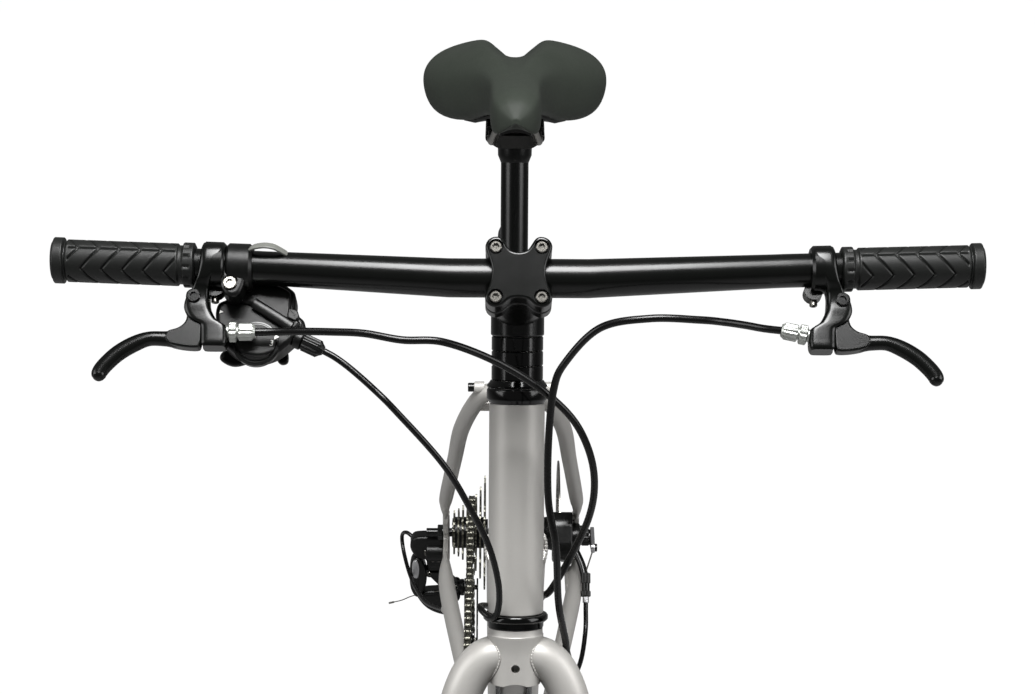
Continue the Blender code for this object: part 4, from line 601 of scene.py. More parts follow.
def rounded(outline, radius, steps=4):
    """An outline with each corner cut to a smooth bend."""
    bends = []
    for before, here, after in zip(outline[-1:] + outline[:-1], outline, outline[1:] + outline[:1]):
        here = Vector(here)
        ends = []
        for other in (before, after):
            run = Vector(other) - here
            ends.append(here + run.normalized() * min(radius, 0.45 * run.length))
        for k in range(steps + 1):
            t = k / steps
            point = ends[0] * (1 - t) ** 2 + here * (2 * t * (1 - t)) + ends[1] * t**2
            bends.append((point.x, point.y))
    return bends


def plate(outline, thickness, centre, side, up, edge=0.0008, steps=3):
    """A plate whose rims are rounded off by `edge`: how far in, or how far in and how deep."""
    wide, deep = edge if isinstance(edge, tuple) else (edge, edge)
    normal = side.cross(up).normalized()
    rims = []
    for k in range(steps + 1):
        turn = k / steps * math.pi / 2
        rims.append((inset(outline, wide * (1 - math.sin(turn))), deep * (1 - math.cos(turn))))
    rings = []
    for way, order in ((-1, rims), (1, rims[::-1])):
        for ring, depth in order:
            base = centre + normal * (way * (thickness / 2 - depth))
            rings.append([base + side * a + up * b for a, b in ring])
    return skin(rings)


def block(centre, size, side=X, up=Y, edge=0.0006):
    wide, tall, thick = size
    outline = [(-wide / 2, -tall / 2), (wide / 2, -tall / 2), (wide / 2, tall / 2), (-wide / 2, tall / 2)]
    return plate(outline, thick, centre, side, up, edge, 2)


def disc(radius, count, wave=0.0, waves=0):
    """A round outline whose edge may be scalloped."""
    outline = []
    for i in range(count):
        turn = math.tau * i / count
        r = radius + wave * math.cos(waves * turn)
        outline.append((r * math.cos(turn), r * math.sin(turn)))
    return outline


# %% Objects, cuts and the finished piece
def together(shells):
    """The points and faces of several shells, as those of one."""
    points, faces = [], []
    for shell_points, shell_faces in shells:
        start = len(points)
        points += shell_points
        faces += [tuple(start + i for i in face) for face in shell_faces]
    return points, faces


def loose(name, shells):
    """One object from several shells, with nothing set on it yet."""
    points, faces = together(shells)
    mesh = bpy.data.meshes.new(name)
    mesh.from_pydata(points, [], faces)
    bm = bmesh.new()
    bm.from_mesh(mesh)
    bmesh.ops.recalc_face_normals(bm, faces=bm.faces)
    bm.to_mesh(mesh)
    bm.free()
    made = bpy.data.objects.new(name, mesh)
    bpy.context.scene.collection.objects.link(made)
    return made


def carve(shell, *cutters):
    """Cuts shells out of a shell, as a mill or a drill would."""
    target = loose("target", [shell])
    tools = [loose("tool", [cutter]) for cutter in cutters]
    for tool in tools:
        step = target.modifiers.new("cut", "BOOLEAN")
        step.operation = "DIFFERENCE"
        step.object = tool
    finished = target.evaluated_get(bpy.context.evaluated_depsgraph_get()).to_mesh()
    points = [vertex.co.copy() for vertex in finished.vertices]
    faces = [tuple(face.vertices) for face in finished.polygons]
    for used in [target, *tools]:
        bpy.data.objects.remove(used)
    if not faces:
        raise ValueError("a cut left nothing of its shell")
    return points, faces


def build(name, shells, slot, body, nodes=(), finish=None, crease=38):
    """A finished piece: its shape, its finish, the body that it rides on and the nodes that it stands for."""
    made = loose(name, shells)
    made.data.shade_smooth()
    made.data.materials.append((finish or FINISHES[slot]).material)
    made.data.set_sharp_from_angle(angle=math.radians(crease))
    made.modifiers.new("even shading", "WEIGHTED_NORMAL").keep_sharp = True
    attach(made, body)
    if nodes:
        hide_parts(*nodes)
    return made


def bolt(place, axis, radius=0.0042, height=0.0032, key=0.0022):
    """A socket-head bolt: a chamfered head with a six-sided recess."""
    count = 24
    axis = axis.normalized()
    side, up = across(axis)
    rows = [(radius, 0.0), (radius, height - 0.0005), (radius - 0.0005, height)]
    rings = [oval(place + axis * h, side, up, r, r, count) for r, h in rows]
    for depth in (height, height * 0.35):
        ring = []
        for i in range(count):
            turn = math.tau * i / count
            reach = key / math.cos(turn % (math.tau / 6) - math.tau / 12)
            spoke = side * math.cos(turn) + up * math.sin(turn)
            ring.append(place + axis * depth + spoke * reach)
        rings.append(ring)
    return skin(rings)


print("shape tools ready")
# %% [markdown]
# ## Handlebar and grips
#
# The bar is one drawn tube: thick where the stem clamps it, tapered towards the controls and swept back a
# little. The grips are moulded rubber with a tread of slanted blocks between a ribbed collar and a flange. A
# bump map could fake the blocks, but the grips stand out against white, so the grooves are real, made by
# lowering the radius of a fine mesh of rings wherever a groove runs.

# %% Handlebar
BAR_RADIUS = 0.0127
BAR_END_RADIUS = 0.0111
BAR_HALF_WIDTH = 0.3055
BAR_MIDDLE = 0.045
GRIP_START = 0.2105
BRAKE_CLAMP_START = 0.1905
SHIFTER_CLAMP_START = 0.1755
LEVER_PIVOT_OUT = GRIP_START - RUN
BAR_CENTRE = steer(STEM_MIDDLE + 0.0216, 0.0762)


def bar_point(x):
    share = max(abs(x) - BAR_MIDDLE, 0) / (BAR_HALF_WIDTH - BAR_MIDDLE)
    return BAR_CENTRE + Vector((x, 0.024 * share, 0.002 * min(share * 2, 1)))


def bar_radius(x):
    taper = SHIFTER_CLAMP_START - 0.0105 - BAR_MIDDLE
    share = min(max((abs(x) - BAR_MIDDLE) / taper, 0), 1)
    return BAR_RADIUS + (BAR_END_RADIUS - BAR_RADIUS) * share


places = [(i / 40 - 1) * (BAR_HALF_WIDTH - 0.0035) for i in range(81)]
bar = [oval(bar_point(x), Y, Z, bar_radius(x), bar_radius(x), 64) for x in places]
build("bar_tube", [skin(bar)], "black_satin", "steering", ["handlebar"])
print("bar from", bar_point(places[0])[:], "to", bar_point(places[-1])[:])


# %% Grips
def eased(x, low, high):
    t = min(max((x - low) / (high - low), 0), 1)
    return t * t * (3 - 2 * t)


def window(x, low, high, soft=0.0006):
    return eased(x, low - soft, low + soft) * (1 - eased(x, high - soft, high + soft))


TREAD_PITCH = 0.0137
TREAD_ROWS = 6


def tread(x, turn):
    """How deep a groove is here, from 0 to 1."""
    row = turn / math.tau * TREAD_ROWS
    part = row % 1
    odd = int(row) % 2
    slant = (part - 0.5) * (0.9 if odd else -0.9)
    across_block = x / TREAD_PITCH + slant
    to_slant = abs(across_block - round(across_block)) * TREAD_PITCH * 0.75
    to_row = (1 - part if odd else part) * math.tau * 0.014 / TREAD_ROWS
    return 1 - eased(min(to_slant, to_row), 0.0002, 0.0009)


def grip_radius(x, turn):
    radius = 0.0128 + 0.0020 * window(x, 0.0005, 0.0080)
    radius += 0.0012 * window(x, 0.0112, 0.0850) + 0.0024 * window(x, 0.0868, 0.0940)
    notch = 1 - eased(abs((turn / math.tau * 12) % 1 - 0.5), 0.05, 0.16)
    ribs = window(x, 0.0030, 0.0078) * notch
    return radius - 0.0011 * ribs - 0.0011 * window(x, 0.0125, 0.0835, 0.0003) * tread(x, turn)


def grip(side):
    rings = []
    for i in range(232):
        x = 0.0945 * i / 231
        centre = bar_point(side * (GRIP_START + x))
        ring = []
        for k in range(120):
            turn = math.tau * k / 120
            ring.append(centre + (Y * math.cos(turn) + Z * math.sin(turn)) * grip_radius(x, turn))
        rings.append(ring)
    for x, r in ((0.0949, 0.0125), (0.0950, 0.0108), (0.0944, 0.0100), (0.0942, 0.0030)):
        rings.append(oval(bar_point(side * (GRIP_START + x)), Y, Z, r, r, 120))
    return skin(rings)


for side, word in ((1, "left"), (-1, "right")):
    made = build(f"{word}_treaded_grip", [grip(side)], "rubber", "steering", [f"{word}_grip"], crease=60)
    print(made.name, len(made.data.polygons), "faces")

# %% [markdown]
# ## Brake levers
#
# Each lever is a cast bracket clamped round the bar, with a forged blade that turns on a pin. Both lie in
# one plane that tilts down and forward from the bar, so they are drawn as outlines in that plane, given
# thickness and rounded at the rim, and the bracket gets the slot that the blade works in.

# %% The plane of the controls
CONTROL_TILT = math.radians(50)
CONTROL_OUT = Vector((0, -math.cos(CONTROL_TILT), -math.sin(CONTROL_TILT)))
CONTROL_NORMAL = Vector((0, -math.sin(CONTROL_TILT), math.cos(CONTROL_TILT)))


def control(side, out, reach, lift=0.0):
    base = bar_point(side * LEVER_PIVOT_OUT)
    return Vector((side * out, base.y, base.z)) + CONTROL_OUT * reach + CONTROL_NORMAL * lift


def control_plate(side, outline, thickness, out=0.0, lift=0.0, edge=0.001, steps=4):
    return plate(outline, thickness, control(side, out, 0, lift), X * side, CONTROL_OUT, edge, steps)


def collar(side, rows, count=64):
    """A ring round the bar, from (place along the bar, radius) pairs, with the bar's bore."""
    bore = BAR_END_RADIUS + GAP
    rows = [(rows[0][0], bore), *rows, (rows[-1][0], bore)]
    return skin([oval(bar_point(side * x), Y, Z, r, r, count) for x, r in rows], closed=True)


def band(start, end, radius, edge=0.0008):
    return [(start, radius - edge), (start + edge, radius), (end - edge, radius), (end, radius - edge)]


# %% Brackets, blades and adjusters
LEVER_THICKNESS = 0.0095
ADJUSTER_OUT = BRAKE_CLAMP_START - 0.0034
ADJUSTER_REACH = 0.0458
ADJUSTER_LENGTH = 0.0170


LUG_OUT = {1: 0.1925, -1: 0.1975}
BRACKET_ROWS = [
    (-0.0120, 0.1925, 0.2052, 0.0020, 0.0112), (-0.0085, 0.1910, 0.2060, 0.0000, 0.0146),
    (-0.0040, 0.1908, 0.2066, -0.0020, 0.0164), (0.0020, 0.1914, 0.2070, -0.0040, 0.0166),
    (0.0070, 0.1944, 0.2076, -0.0060, 0.0154), (0.0125, 0.1984, 0.2088, -0.0072, 0.0130),
    (0.0180, 0.2002, 0.2118, -0.0075, 0.0088), (0.0240, 0.2002, 0.2156, -0.0075, 0.0076),
    (0.0300, 0.1994, 0.2167, -0.0075, 0.0076), (0.0345, 0.1975, 0.2156, -0.0075, 0.0075),
    (0.0385, 0.1950, 0.2126, -0.0075, 0.0075), (0.0412, 0.1912, 0.2076, -0.0075, 0.0075),
    (0.0438, 0.1884, 0.2054, -0.0075, 0.0075), (0.0500, 0.1877, 0.2048, -0.0075, 0.0075),
    (0.0550, 0.1879, 0.2046, -0.0074, 0.0074), (0.0572, 0.1890, 0.2036, -0.0064, 0.0064),
]


def bracket(side):
    """The clamp, the arm that grows out of its front, and the slot that the blade works in."""
    start = BRAKE_CLAMP_START
    slot = [
        (0.2028, 0.0620), (0.2030, 0.0400), (0.2022, 0.0200), (0.2050, 0.0130), (0.2250, 0.0110),
        (0.2350, 0.0620),
    ]
    rings = []
    for reach, low_out, high_out, low_lift, high_lift in smooth(BRACKET_ROWS, 75):
        middle = control(side, (low_out + high_out) / 2, reach, (low_lift + high_lift) / 2)
        half_out, half_lift = (high_out - low_out) / 2, (high_lift - low_lift) / 2
        rings.append(oval(middle, X * side, CONTROL_NORMAL, half_out, half_lift, 56, 0.45))
    bore = rod(bar_point(side * 0.15), bar_point(side * 0.25), BAR_END_RADIUS + GAP, count=48)
    arm = carve(skin(rings), control_plate(side, slot, LEVER_THICKNESS + 2 * RUN, edge=0.0002), bore)
    clamp = collar(side, band(start, start + 0.015, 0.0159, 0.0018))
    lug = control(side, LUG_OUT[side], 0.0150, 0.0010)
    return [clamp, arm, rod(lug, lug - CONTROL_NORMAL * 0.010, 0.0062)]


def adjuster_way(side):
    """Where an adjuster points: straight inwards, and on the bike's left a little up as well."""
    tilt = math.radians(12 if side > 0 else 0)
    return -X * (side * math.cos(tilt)) - CONTROL_OUT * math.sin(tilt)


def blade(side):
    """A flat root in the bracket and a round bar for the fingers, hooked at its end."""
    root = [
        (-0.0045, 0.0200), (0.0005, 0.0172), (0.0050, 0.0195), (0.0056, 0.0250), (0.0043, 0.0330),
        (0.0052, 0.0398),
        (0.0095, 0.0440), (0.0160, 0.0464), (0.0182, 0.0505), (0.0150, 0.0550), (0.0070, 0.0572),
        (-0.0026, 0.0578),
        (-0.0052, 0.0556), (-0.0056, 0.0480), (-0.0052, 0.0300),
    ]
    finger = [
        (0.0040, 0.0496, 0.0066), (0.0110, 0.0508, 0.0060), (0.0180, 0.0507, 0.0050),
        (0.0285, 0.0508, 0.0048),
        (0.0378, 0.0543, 0.0053), (0.0476, 0.0605, 0.0054), (0.0552, 0.0680, 0.0053),
        (0.0590, 0.0735, 0.0051),
        (0.0592, 0.0765, 0.0044), (0.0591, 0.0786, 0.0028), (0.0590, 0.0796, 0.0008),
    ]
    rows = smooth(finger, 90)
    points = [control(side, LEVER_PIVOT_OUT + row[0], row[1]) for row in rows]
    radii = [(row[2], min(row[2], 0.0047)) for row in rows]
    flat = control_plate(side, smooth(root, 90, loop=True), LEVER_THICKNESS, LEVER_PIVOT_OUT,
                         edge=(0.0014, 0.0012))
    return [flat, sweep(points, radii, 32, CONTROL_OUT)]


def flutes(profile, centre, axis, waves, depth=0.0003, count=None):
    """A turned part whose rows marked True are scalloped, as a finger nut is."""
    side, up = across(axis)
    count = count or waves * 6
    rings = []
    for radius, height, fluted in profile:
        ring = []
        for i in range(count):
            turn = math.tau * i / count
            r = radius + (depth * math.cos(waves * turn) if fluted else 0)
            ring.append(centre + axis * height + (side * math.cos(turn) + up * math.sin(turn)) * r)
        rings.append(ring)
    return skin(rings)


def adjuster(side):
    start = control(side, ADJUSTER_OUT, ADJUSTER_REACH)
    nut = [(0.0028, -0.0060, 0), (0.0042, -0.0060, 0), (0.0042, 0.0, 0), (0.0056, 0.0, 0),
           (0.0063, 0.0006, 1), (0.0063, 0.0046, 1), (0.0056, 0.0052, 0)]
    neck = [(0.0040, 0.0053, 0), (0.0040, 0.0060, 0)]
    barrel = [(0.0050, 0.0062, 0), (0.0054, 0.0068, 1), (0.0054, 0.0145, 1), (0.0046, 0.0160, 0)]
    end = [(0.0040, ADJUSTER_LENGTH, 0), (0.0029, ADJUSTER_LENGTH, 0), (0.0027, 0.0150, 0)]
    return [flutes(nut + neck + barrel + end, start, adjuster_way(side), 14)]


for side, word in ((1, "left"), (-1, "right")):
    build(f"{word}_lever_bracket", bracket(side), "black_satin", "steering", [f"{word}_brake_bracket"])
    build(f"{word}_lever_blade", blade(side), "black_satin", f"{word}_lever", [f"{word}_brake_lever"])
    build(f"{word}_adjuster", adjuster(side), "clear", "steering", [f"{word}_barrel_adjuster"])
    pin = control(side, LEVER_PIVOT_OUT, 0.0238, 0.0072)
    screws = [bolt(pin, CONTROL_NORMAL, 0.0044, 0.0022, 0.0021)]
    build(f"{word}_lever_pivot", screws, "black_gloss", "steering")
    place = control(side, LUG_OUT[side], 0.0195, -0.0040)
    build(f"{word}_clamp_screw", [bolt(place, CONTROL_OUT, 0.0026, 0.0050, 0.0013)], "steel", "steering")

# %% [markdown]
# ## Stem and headset
#
# The stem joins the steerer to the bar, and its faceplate, shaped like a clover, is held by four bolts in
# counterbores. Everything on the steerer is turned, so it is drawn as the profile that a lathe would follow.

# %% Stem
STEM_OUT = (BAR_CENTRE - steer(STEM_MIDDLE)).normalized()
STEM_SKY = Vector((0, -STEM_OUT.z, STEM_OUT.y))
STEM_SKY = STEM_SKY if STEM_SKY.z > 0 else -STEM_SKY
STEM_RADIUS = 0.0182
BOLT_X = 0.01475
BOLT_Y = 0.0165


def clover(lobe=0.0068, waist_x=0.0176, top_waist=0.0140, low_waist=0.0176):
    """Four lobes round the bolts, with hollows between them."""
    outline = []
    for corner in range(4):
        turn = math.radians(45 + 90 * corner)
        x = math.copysign(BOLT_X, math.cos(turn))
        y = math.copysign(BOLT_Y, math.sin(turn))
        for i in range(5):
            a = turn + math.radians(-80 + 40 * i)
            outline.append((x + lobe * math.cos(a), y + lobe * math.sin(a)))
        if corner % 2:
            outline += [(math.copysign(waist_x, x), y * k) for k in (0.25, -0.25)]
        else:
            waist = top_waist if y > 0 else -low_waist
            outline += [(x * 0.32, waist), (-x * 0.32, waist)]
    return smooth(outline, 168, loop=True)


def clover_plate(start, end):
    middle = BAR_CENTRE + STEM_OUT * ((start + end) / 2)
    return plate(clover(), end - start, middle, X, STEM_SKY, 0.0018, 4)


def clover_bolts(lift):
    base = BAR_CENTRE + STEM_OUT * lift
    return [base + X * (sx * BOLT_X) + STEM_SKY * (sy * BOLT_Y) for sx in (1, -1) for sy in (1, -1)]


def stem():
    low, high = STEM_BOTTOM, STEM_BOTTOM + 0.040
    shell = [(0.0150, low), (STEM_RADIUS - 0.001, low), (STEM_RADIUS, low + 0.001)]
    shell += [(STEM_RADIUS, high - 0.0015), (STEM_RADIUS - 0.0015, high), (0.0150, high)]
    reach = (BAR_CENTRE - steer(STEM_MIDDLE)).length
    rows = [(0.004, 0.0172, 0.0172), (0.016, 0.0172, 0.0165), (0.024, 0.0166, 0.0152),
            (0.038, 0.0168, 0.0153)]
    rows += [(reach - 0.020, 0.0180, 0.0160), (reach - 0.009, 0.0190, 0.0166)]
    neck = []
    for d, w, t in smooth(rows, 24):
        neck.append(oval(steer(STEM_MIDDLE) + STEM_OUT * d, X, STEM_SKY, w, t, 56, 0.9))
    hole = rod(BAR_CENTRE - X * 0.05, BAR_CENTRE + X * 0.05, BAR_RADIUS + GAP, count=64)
    return [turned(shell, STEER_FOOT, STEER_UP, 72), skin(neck), carve(clover_plate(-0.0145, -0.0004), hole)]


build("stem_body", stem(), "black_satin", "steering", ["stem"])
hole = rod(BAR_CENTRE - X * 0.05, BAR_CENTRE + X * 0.05, BAR_RADIUS + GAP, count=64)
wells = [rod(p, p + STEM_OUT * 0.009, 0.0050, count=32) for p in clover_bolts(0.0152)]
build("stem_clamp", [carve(clover_plate(0.0012, 0.0182), hole, *wells)], "black_satin", "steering",
      ["stem_faceplate"])
heads = [bolt(p, STEM_OUT, 0.0038, 0.0030, 0.0020) for p in clover_bolts(0.0154)]
build("stem_bolts", heads, "steel", "steering")
back = []
for height in (0.010, 0.030):
    base = steer(STEM_BOTTOM + height, -0.0168, -0.0120)
    back.append(rod(base, base + X * 0.024, 0.0056))
build("stem_pinch_lugs", back, "black_satin", "steering")
low = STEM_BOTTOM + 0.0403
cap = [(0.0165, low), (0.0172, low + 0.0005), (0.0172, low + 0.0018), (0.0155, low + 0.0034),
       (0.0060, low + 0.0034)]
cap += [(0.0052, low + 0.0022)]
build("stem_cap", [turned(cap, STEER_FOOT, STEER_UP, 64, hollow=False)], "black_satin", "steering",
      ["stem_top_cap"])
build("stem_cap_bolt", [bolt(steer(low + 0.0020), STEER_UP, 0.0042, 0.0018, 0.0021)], "steel", "steering")
print("faceplate looks along", [round(v, 3) for v in STEM_OUT])

# %% Headset
SPACER_RADIUS = 0.0176
BORE = 0.0146


def turned_ring(name, outline, body, node, slot="black_gloss"):
    """A ring on the steerer, from (radius, height) pairs, with its bore."""
    rows = [(BORE, outline[0][1]), *outline, (BORE, outline[-1][1])]
    return build(name, [turned(rows, STEER_FOOT, STEER_UP, 72)], slot, body, [node])


def barrel_wall(radius, low, high, edge=0.0006):
    return [(radius - edge, low), (radius, low + edge), (radius, high - edge), (radius - edge, high)]


for i, word in enumerate(("lower", "middle", "upper")):
    low = SPACER_BOTTOM + i * 0.010
    turned_ring(f"{word}_spacer_ring", barrel_wall(SPACER_RADIUS, low, low + 0.0097), "steering",
                f"{word}_spacer")
low = HEAD_TOP + 0.0105 + RUN
cover = [(0.0200, low), (0.0208, low + 0.0006), (0.0204, low + 0.0018), (0.0190, low + 0.0034)]
cover += [(0.0182, SPACER_BOTTOM - GAP)]
turned_ring("headset_cap_ring", cover, "steering", "headset_cover")
low = HEAD_TOP + GAP
cup = [(0.0188, low), (0.0199, low + 0.0020), (0.0208, low + 0.0032), (0.0208, low + 0.0088),
       (0.0200, low + 0.0101)]
turned_ring("upper_cup_ring", cup, "frame", "upper_cup")
low = HEAD_BOTTOM - 0.0095
cup = [(0.0191, low), (0.0193, low + 0.0036), (0.0211, low + 0.0042), (0.0222, low + 0.0054)]
cup += [(0.0222, low + 0.0076), (0.0213, low + 0.0088), (0.0198, HEAD_BOTTOM - GAP)]
turned_ring("lower_cup_ring", cup, "frame", "lower_cup")
print("spacers from", SPACER_BOTTOM, "to", STEM_BOTTOM)
# %% [markdown]
# ## Gear shifter
#
# The shifter hangs from its own clamp on the bike's right, next to the brake lever. Its pod holds a dial
# with the gear number, and two levers work under it. It is moulded plastic, so its outlines are rounded
# plates stacked along the direction that faces the rider.

# %% Clamp and pod
SHIFT_PIVOT_OUT = SHIFTER_CLAMP_START - 0.0115
POD_LIFT = -0.0186
SHIFT_THICKNESS = 0.0045


def shift_plate(outline, low, high, edge=0.001, steps=4):
    return control_plate(-1, outline, high - low, lift=(low + high) / 2, edge=edge, steps=steps)


tab = [
    (0.1762, -0.0020), (0.1915, -0.0020), (0.1932, 0.0110), (0.1926, 0.0190), (0.1888, 0.0248),
    (0.1842, 0.0258),
    (0.1796, 0.0236), (0.1768, 0.0150),
]
well = control(-1, 0.1866, 0.0162, 0.0106)
tab_shell = carve(
    shift_plate(rounded(tab, 0.004), -0.0060, 0.0124, (0.0030, 0.0026)),
    rod(well, well + CONTROL_NORMAL * 0.005, 0.0054),
    rod(bar_point(-0.15), bar_point(-0.22), BAR_END_RADIUS + GAP, count=48),
)
pod = [
    (0.1860, 0.0060), (0.1895, 0.0180), (0.1965, 0.0230), (0.1975, 0.0330), (0.1930, 0.0470),
    (0.1850, 0.0560),
    (0.1700, 0.0600), (0.1580, 0.0570), (0.1490, 0.0500), (0.1425, 0.0430), (0.1393, 0.0385),
    (0.1400, 0.0340),
    (0.1453, 0.0280), (0.1457, 0.0180), (0.1485, 0.0125), (0.1600, 0.0070),
]
lid = [
    (0.1800, 0.0110), (0.1810, 0.0220), (0.1700, 0.0262), (0.1560, 0.0370), (0.1470, 0.0420),
    (0.1425, 0.0385),
    (0.1430, 0.0350), (0.1480, 0.0300), (0.1485, 0.0190), (0.1510, 0.0140), (0.1620, 0.0100),
]
facet = [(0.1500, 0.0270), (0.1440, 0.0285), (0.1422, 0.0335), (0.1450, 0.0365), (0.1508, 0.0340)]
pod_shells = [
    collar(-1, band(0.1728, 0.1902, 0.0154, 0.0020)),
    tab_shell,
    shift_plate(smooth(pod, 128, loop=True), -0.0286, -0.0090, (0.0034, 0.0030), 5),
    shift_plate(smooth(lid, 110, loop=True), -0.0120, -0.0062, (0.0024, 0.0020), 4),
    shift_plate(rounded(facet, 0.0012), -0.0080, -0.0050, (0.0012, 0.0010), 3),
]
ridge = [control(-1, out, reach, -0.0062) for out, reach in ((0.1725, 0.0235), (0.1600, 0.0315),
    (0.1475, 0.0398))]
pod_shells.append(sweep(smooth(ridge, 24), (0.0036, 0.0019), 20, CONTROL_OUT))
build("shifter_pod", pod_shells, "black_plastic", "steering", ["shifter_body"])
clamp_bolt = bolt(well + CONTROL_NORMAL * 0.0002, CONTROL_NORMAL, 0.0044, 0.0024, 0.0022)
build("shifter_clamp_bolt", [clamp_bolt], "steel", "steering")

# %% Dial, number and arrows
dial = control(-1, 0.1703, 0.0500, -0.0088)
rows = [(0.0150, -0.0060), (0.0152, -0.0012), (0.0142, -0.0002), (0.0126, 0.0), (0.0118, -0.0008),
        (0.0040, -0.0006)]
build("gear_dial", [turned(rows, dial, CONTROL_NORMAL, 72, hollow=False)], "black_gloss", "steering")
rim_rows = [(0.0153, -0.0024), (0.0155, -0.0012), (0.0144, 0.0001), (0.0134, 0.0003), (0.0130, -0.0002),
            (0.0140, -0.0030)]
build("dial_rim", [turned(rim_rows, dial, CONTROL_NORMAL, 72)], "black_satin", "steering")
letters = bpy.data.curves.new("gear number", "FONT")
letters.body = "3"
letters.size = 0.0056
letters.extrude = 0.0001
letters.align_x = "CENTER"
letters.align_y = "CENTER"
written = bpy.data.objects.new("gear number", letters)
bpy.context.scene.collection.objects.link(written)
flat = written.evaluated_get(bpy.context.evaluated_depsgraph_get()).to_mesh()


def printed(points, place, turn=0.0):
    """Places flat points on the pod, upright for the rider and turned by an angle."""
    right = X * math.cos(turn) - CONTROL_OUT * math.sin(turn)
    above = CONTROL_NORMAL.cross(right)
    return [place + right * p[0] + above * p[1] + CONTROL_NORMAL * p[2] for p in points]


digit = printed([v.co for v in flat.vertices], control(-1, 0.1602, 0.0505, -0.0084), math.radians(-8))
marks = [(digit, [tuple(face.vertices) for face in flat.polygons])]
bpy.data.objects.remove(written)
for out, reach, lift, size in ((0.1570, 0.0463, -0.0082, 0.0016), (0.1938, 0.0290, -0.0086, 0.0013)):
    arrow = [(-size, -size, 0), (size, 0, 0), (-size * 0.6, size, 0)]
    base = printed(arrow, control(-1, out, reach, lift))
    marks.append(skin([base, [p + CONTROL_NORMAL * 0.0003 for p in base]]))
build("dial_print", marks, "black_plastic", "steering", finish=WHITE_PRINT, crease=20)

# %% Levers, strap and adjuster
below = POD_LIFT - 0.0100 - RUN - SHIFT_THICKNESS / 2


def shifter_lever(outline, lift):
    points = smooth(outline, 90, loop=True)
    edge = (0.0016, 0.0014)
    return [control_plate(-1, points, SHIFT_THICKNESS, SHIFT_PIVOT_OUT, lift, edge, 4)]


thumb = [
    (-0.0080, 0.0300), (0.0000, 0.0265), (0.0080, 0.0310), (0.0110, 0.0410), (0.0210, 0.0465),
    (0.0300, 0.0490),
    (0.0318, 0.0545), (0.0235, 0.0590), (0.0140, 0.0570), (0.0060, 0.0500), (-0.0060, 0.0420),
]
release = [
    (-0.0080, 0.0350), (-0.0060, 0.0280), (0.0020, 0.0265), (0.0070, 0.0340), (0.0010, 0.0410),
    (-0.0040, 0.0470),
    (-0.0050, 0.0530), (-0.0080, 0.0560), (-0.0120, 0.0548), (-0.0125, 0.0500), (-0.0110, 0.0440),
]
build("thumb_paddle", shifter_lever(thumb, below), "black_plastic", "thumb_lever", ["thumb_lever"])
trigger = shifter_lever(release, below - SHIFT_THICKNESS - RUN)
build("release_trigger", trigger, "black_plastic", "release_lever", ["release_lever"])
strap = [(-0.1740, -0.3495, 0.9775), (-0.1710, -0.3510, 0.9795), (-0.1650, -0.3515, 0.9806),
         (-0.1590, -0.3515, 0.9798)]
strap += [(-0.1540, -0.3505, 0.9768), (-0.1505, -0.3480, 0.9735)]
strap_shell = sweep(smooth(strap, 36), (0.0032, 0.0010), 20, Y, 0.6)
build("shifter_strap", [strap_shell], "alloy", "steering", finish=GREY_PLASTIC)
start = control(-1, SHIFTER_CLAMP_START - 0.0300, 0.0445, -0.0150)
end = control(-1, SHIFTER_CLAMP_START - 0.0500, 0.0540, -0.0150)
ring = [(0.0040, 0.0, 0), (0.0060, 0.0004, 0), (0.0064, 0.0010, 0), (0.0064, 0.0046, 0), (0.0060, 0.0052, 0)]
barrel = [(0.0046, 0.0056, 0), (0.0054, 0.0064, 1), (0.0054, 0.0170, 1), (0.0042, 0.0188, 0),
          (0.0030, 0.0205, 0)]
shells = [flutes(ring + barrel, start, (end - start).normalized(), 7, 0.0007, 84)]
build("shifter_adjuster", shells, "black_plastic", "steering")
print("dial at", [round(v, 4) for v in dial])
# %% [markdown]
# ## Frame
#
# The frame is welded from drawn tubes, so each tube is a plain sweep that runs into its neighbour, and what
# makes it look real is the weld: a rippled bead where the two surfaces meet. The bead's path is worked out
# from the two tubes, by following each line along one tube until it leaves the other.

# %% Weld beads
def bead_along(points, size=0.0011, ripple=0.0004, pitch=0.0030):
    """A rippled bead along a closed path."""
    count = len(points)
    length = sum((points[i] - points[i - 1]).length for i in range(count))
    waves = max(round(length / pitch), 6)
    rings = []
    for i, point in enumerate(points):
        side, up = across(points[(i + 1) % count] - points[i - 1])
        swell = size + ripple * abs(math.sin(math.pi * waves * i / count))
        rings.append(oval(point, side, up, swell, swell, 10))
    return skin(rings, closed=True)


def weld(start, end, radius, centre, axis, other_radius, count=240, **bead):
    """The bead where a tube from start to end leaves a round tube about another axis."""
    ahead = (end - start).normalized()
    side, up = across(ahead)
    axis = axis.normalized()
    flat_ahead = ahead - ahead.dot(axis) * axis
    points = []
    for base in oval(start, side, up, radius, radius, count):
        off = base - centre
        off -= off.dot(axis) * axis
        a, b, c = flat_ahead.dot(flat_ahead), off.dot(flat_ahead), off.dot(off) - other_radius**2
        points.append(base + ahead * ((-b + math.sqrt(max(b * b - a * c, 0))) / a))
    return bead_along(points, **bead)


# %% Tubes, stays and end plates
HEAD_RADIUS = 0.019
DOWN_RADIUS = 0.0205
TOP_RADIUS = 0.0165
SEAT_RADIUS = 0.0159
STAY_TOP = 0.385
PLATE_X = 0.0675 + 0.003
DOWN_HIGH = steer(HEAD_BOTTOM + 0.044)
DOWN_WAY = (BRACKET - DOWN_HIGH).normalized()
DOWN_SKY = Vector((0, -DOWN_WAY.z, DOWN_WAY.y))
TOP_FRONT = steer(HEAD_TOP - 0.032)
TOP_BACK = seat(SEAT_TUBE_LENGTH - 0.042)


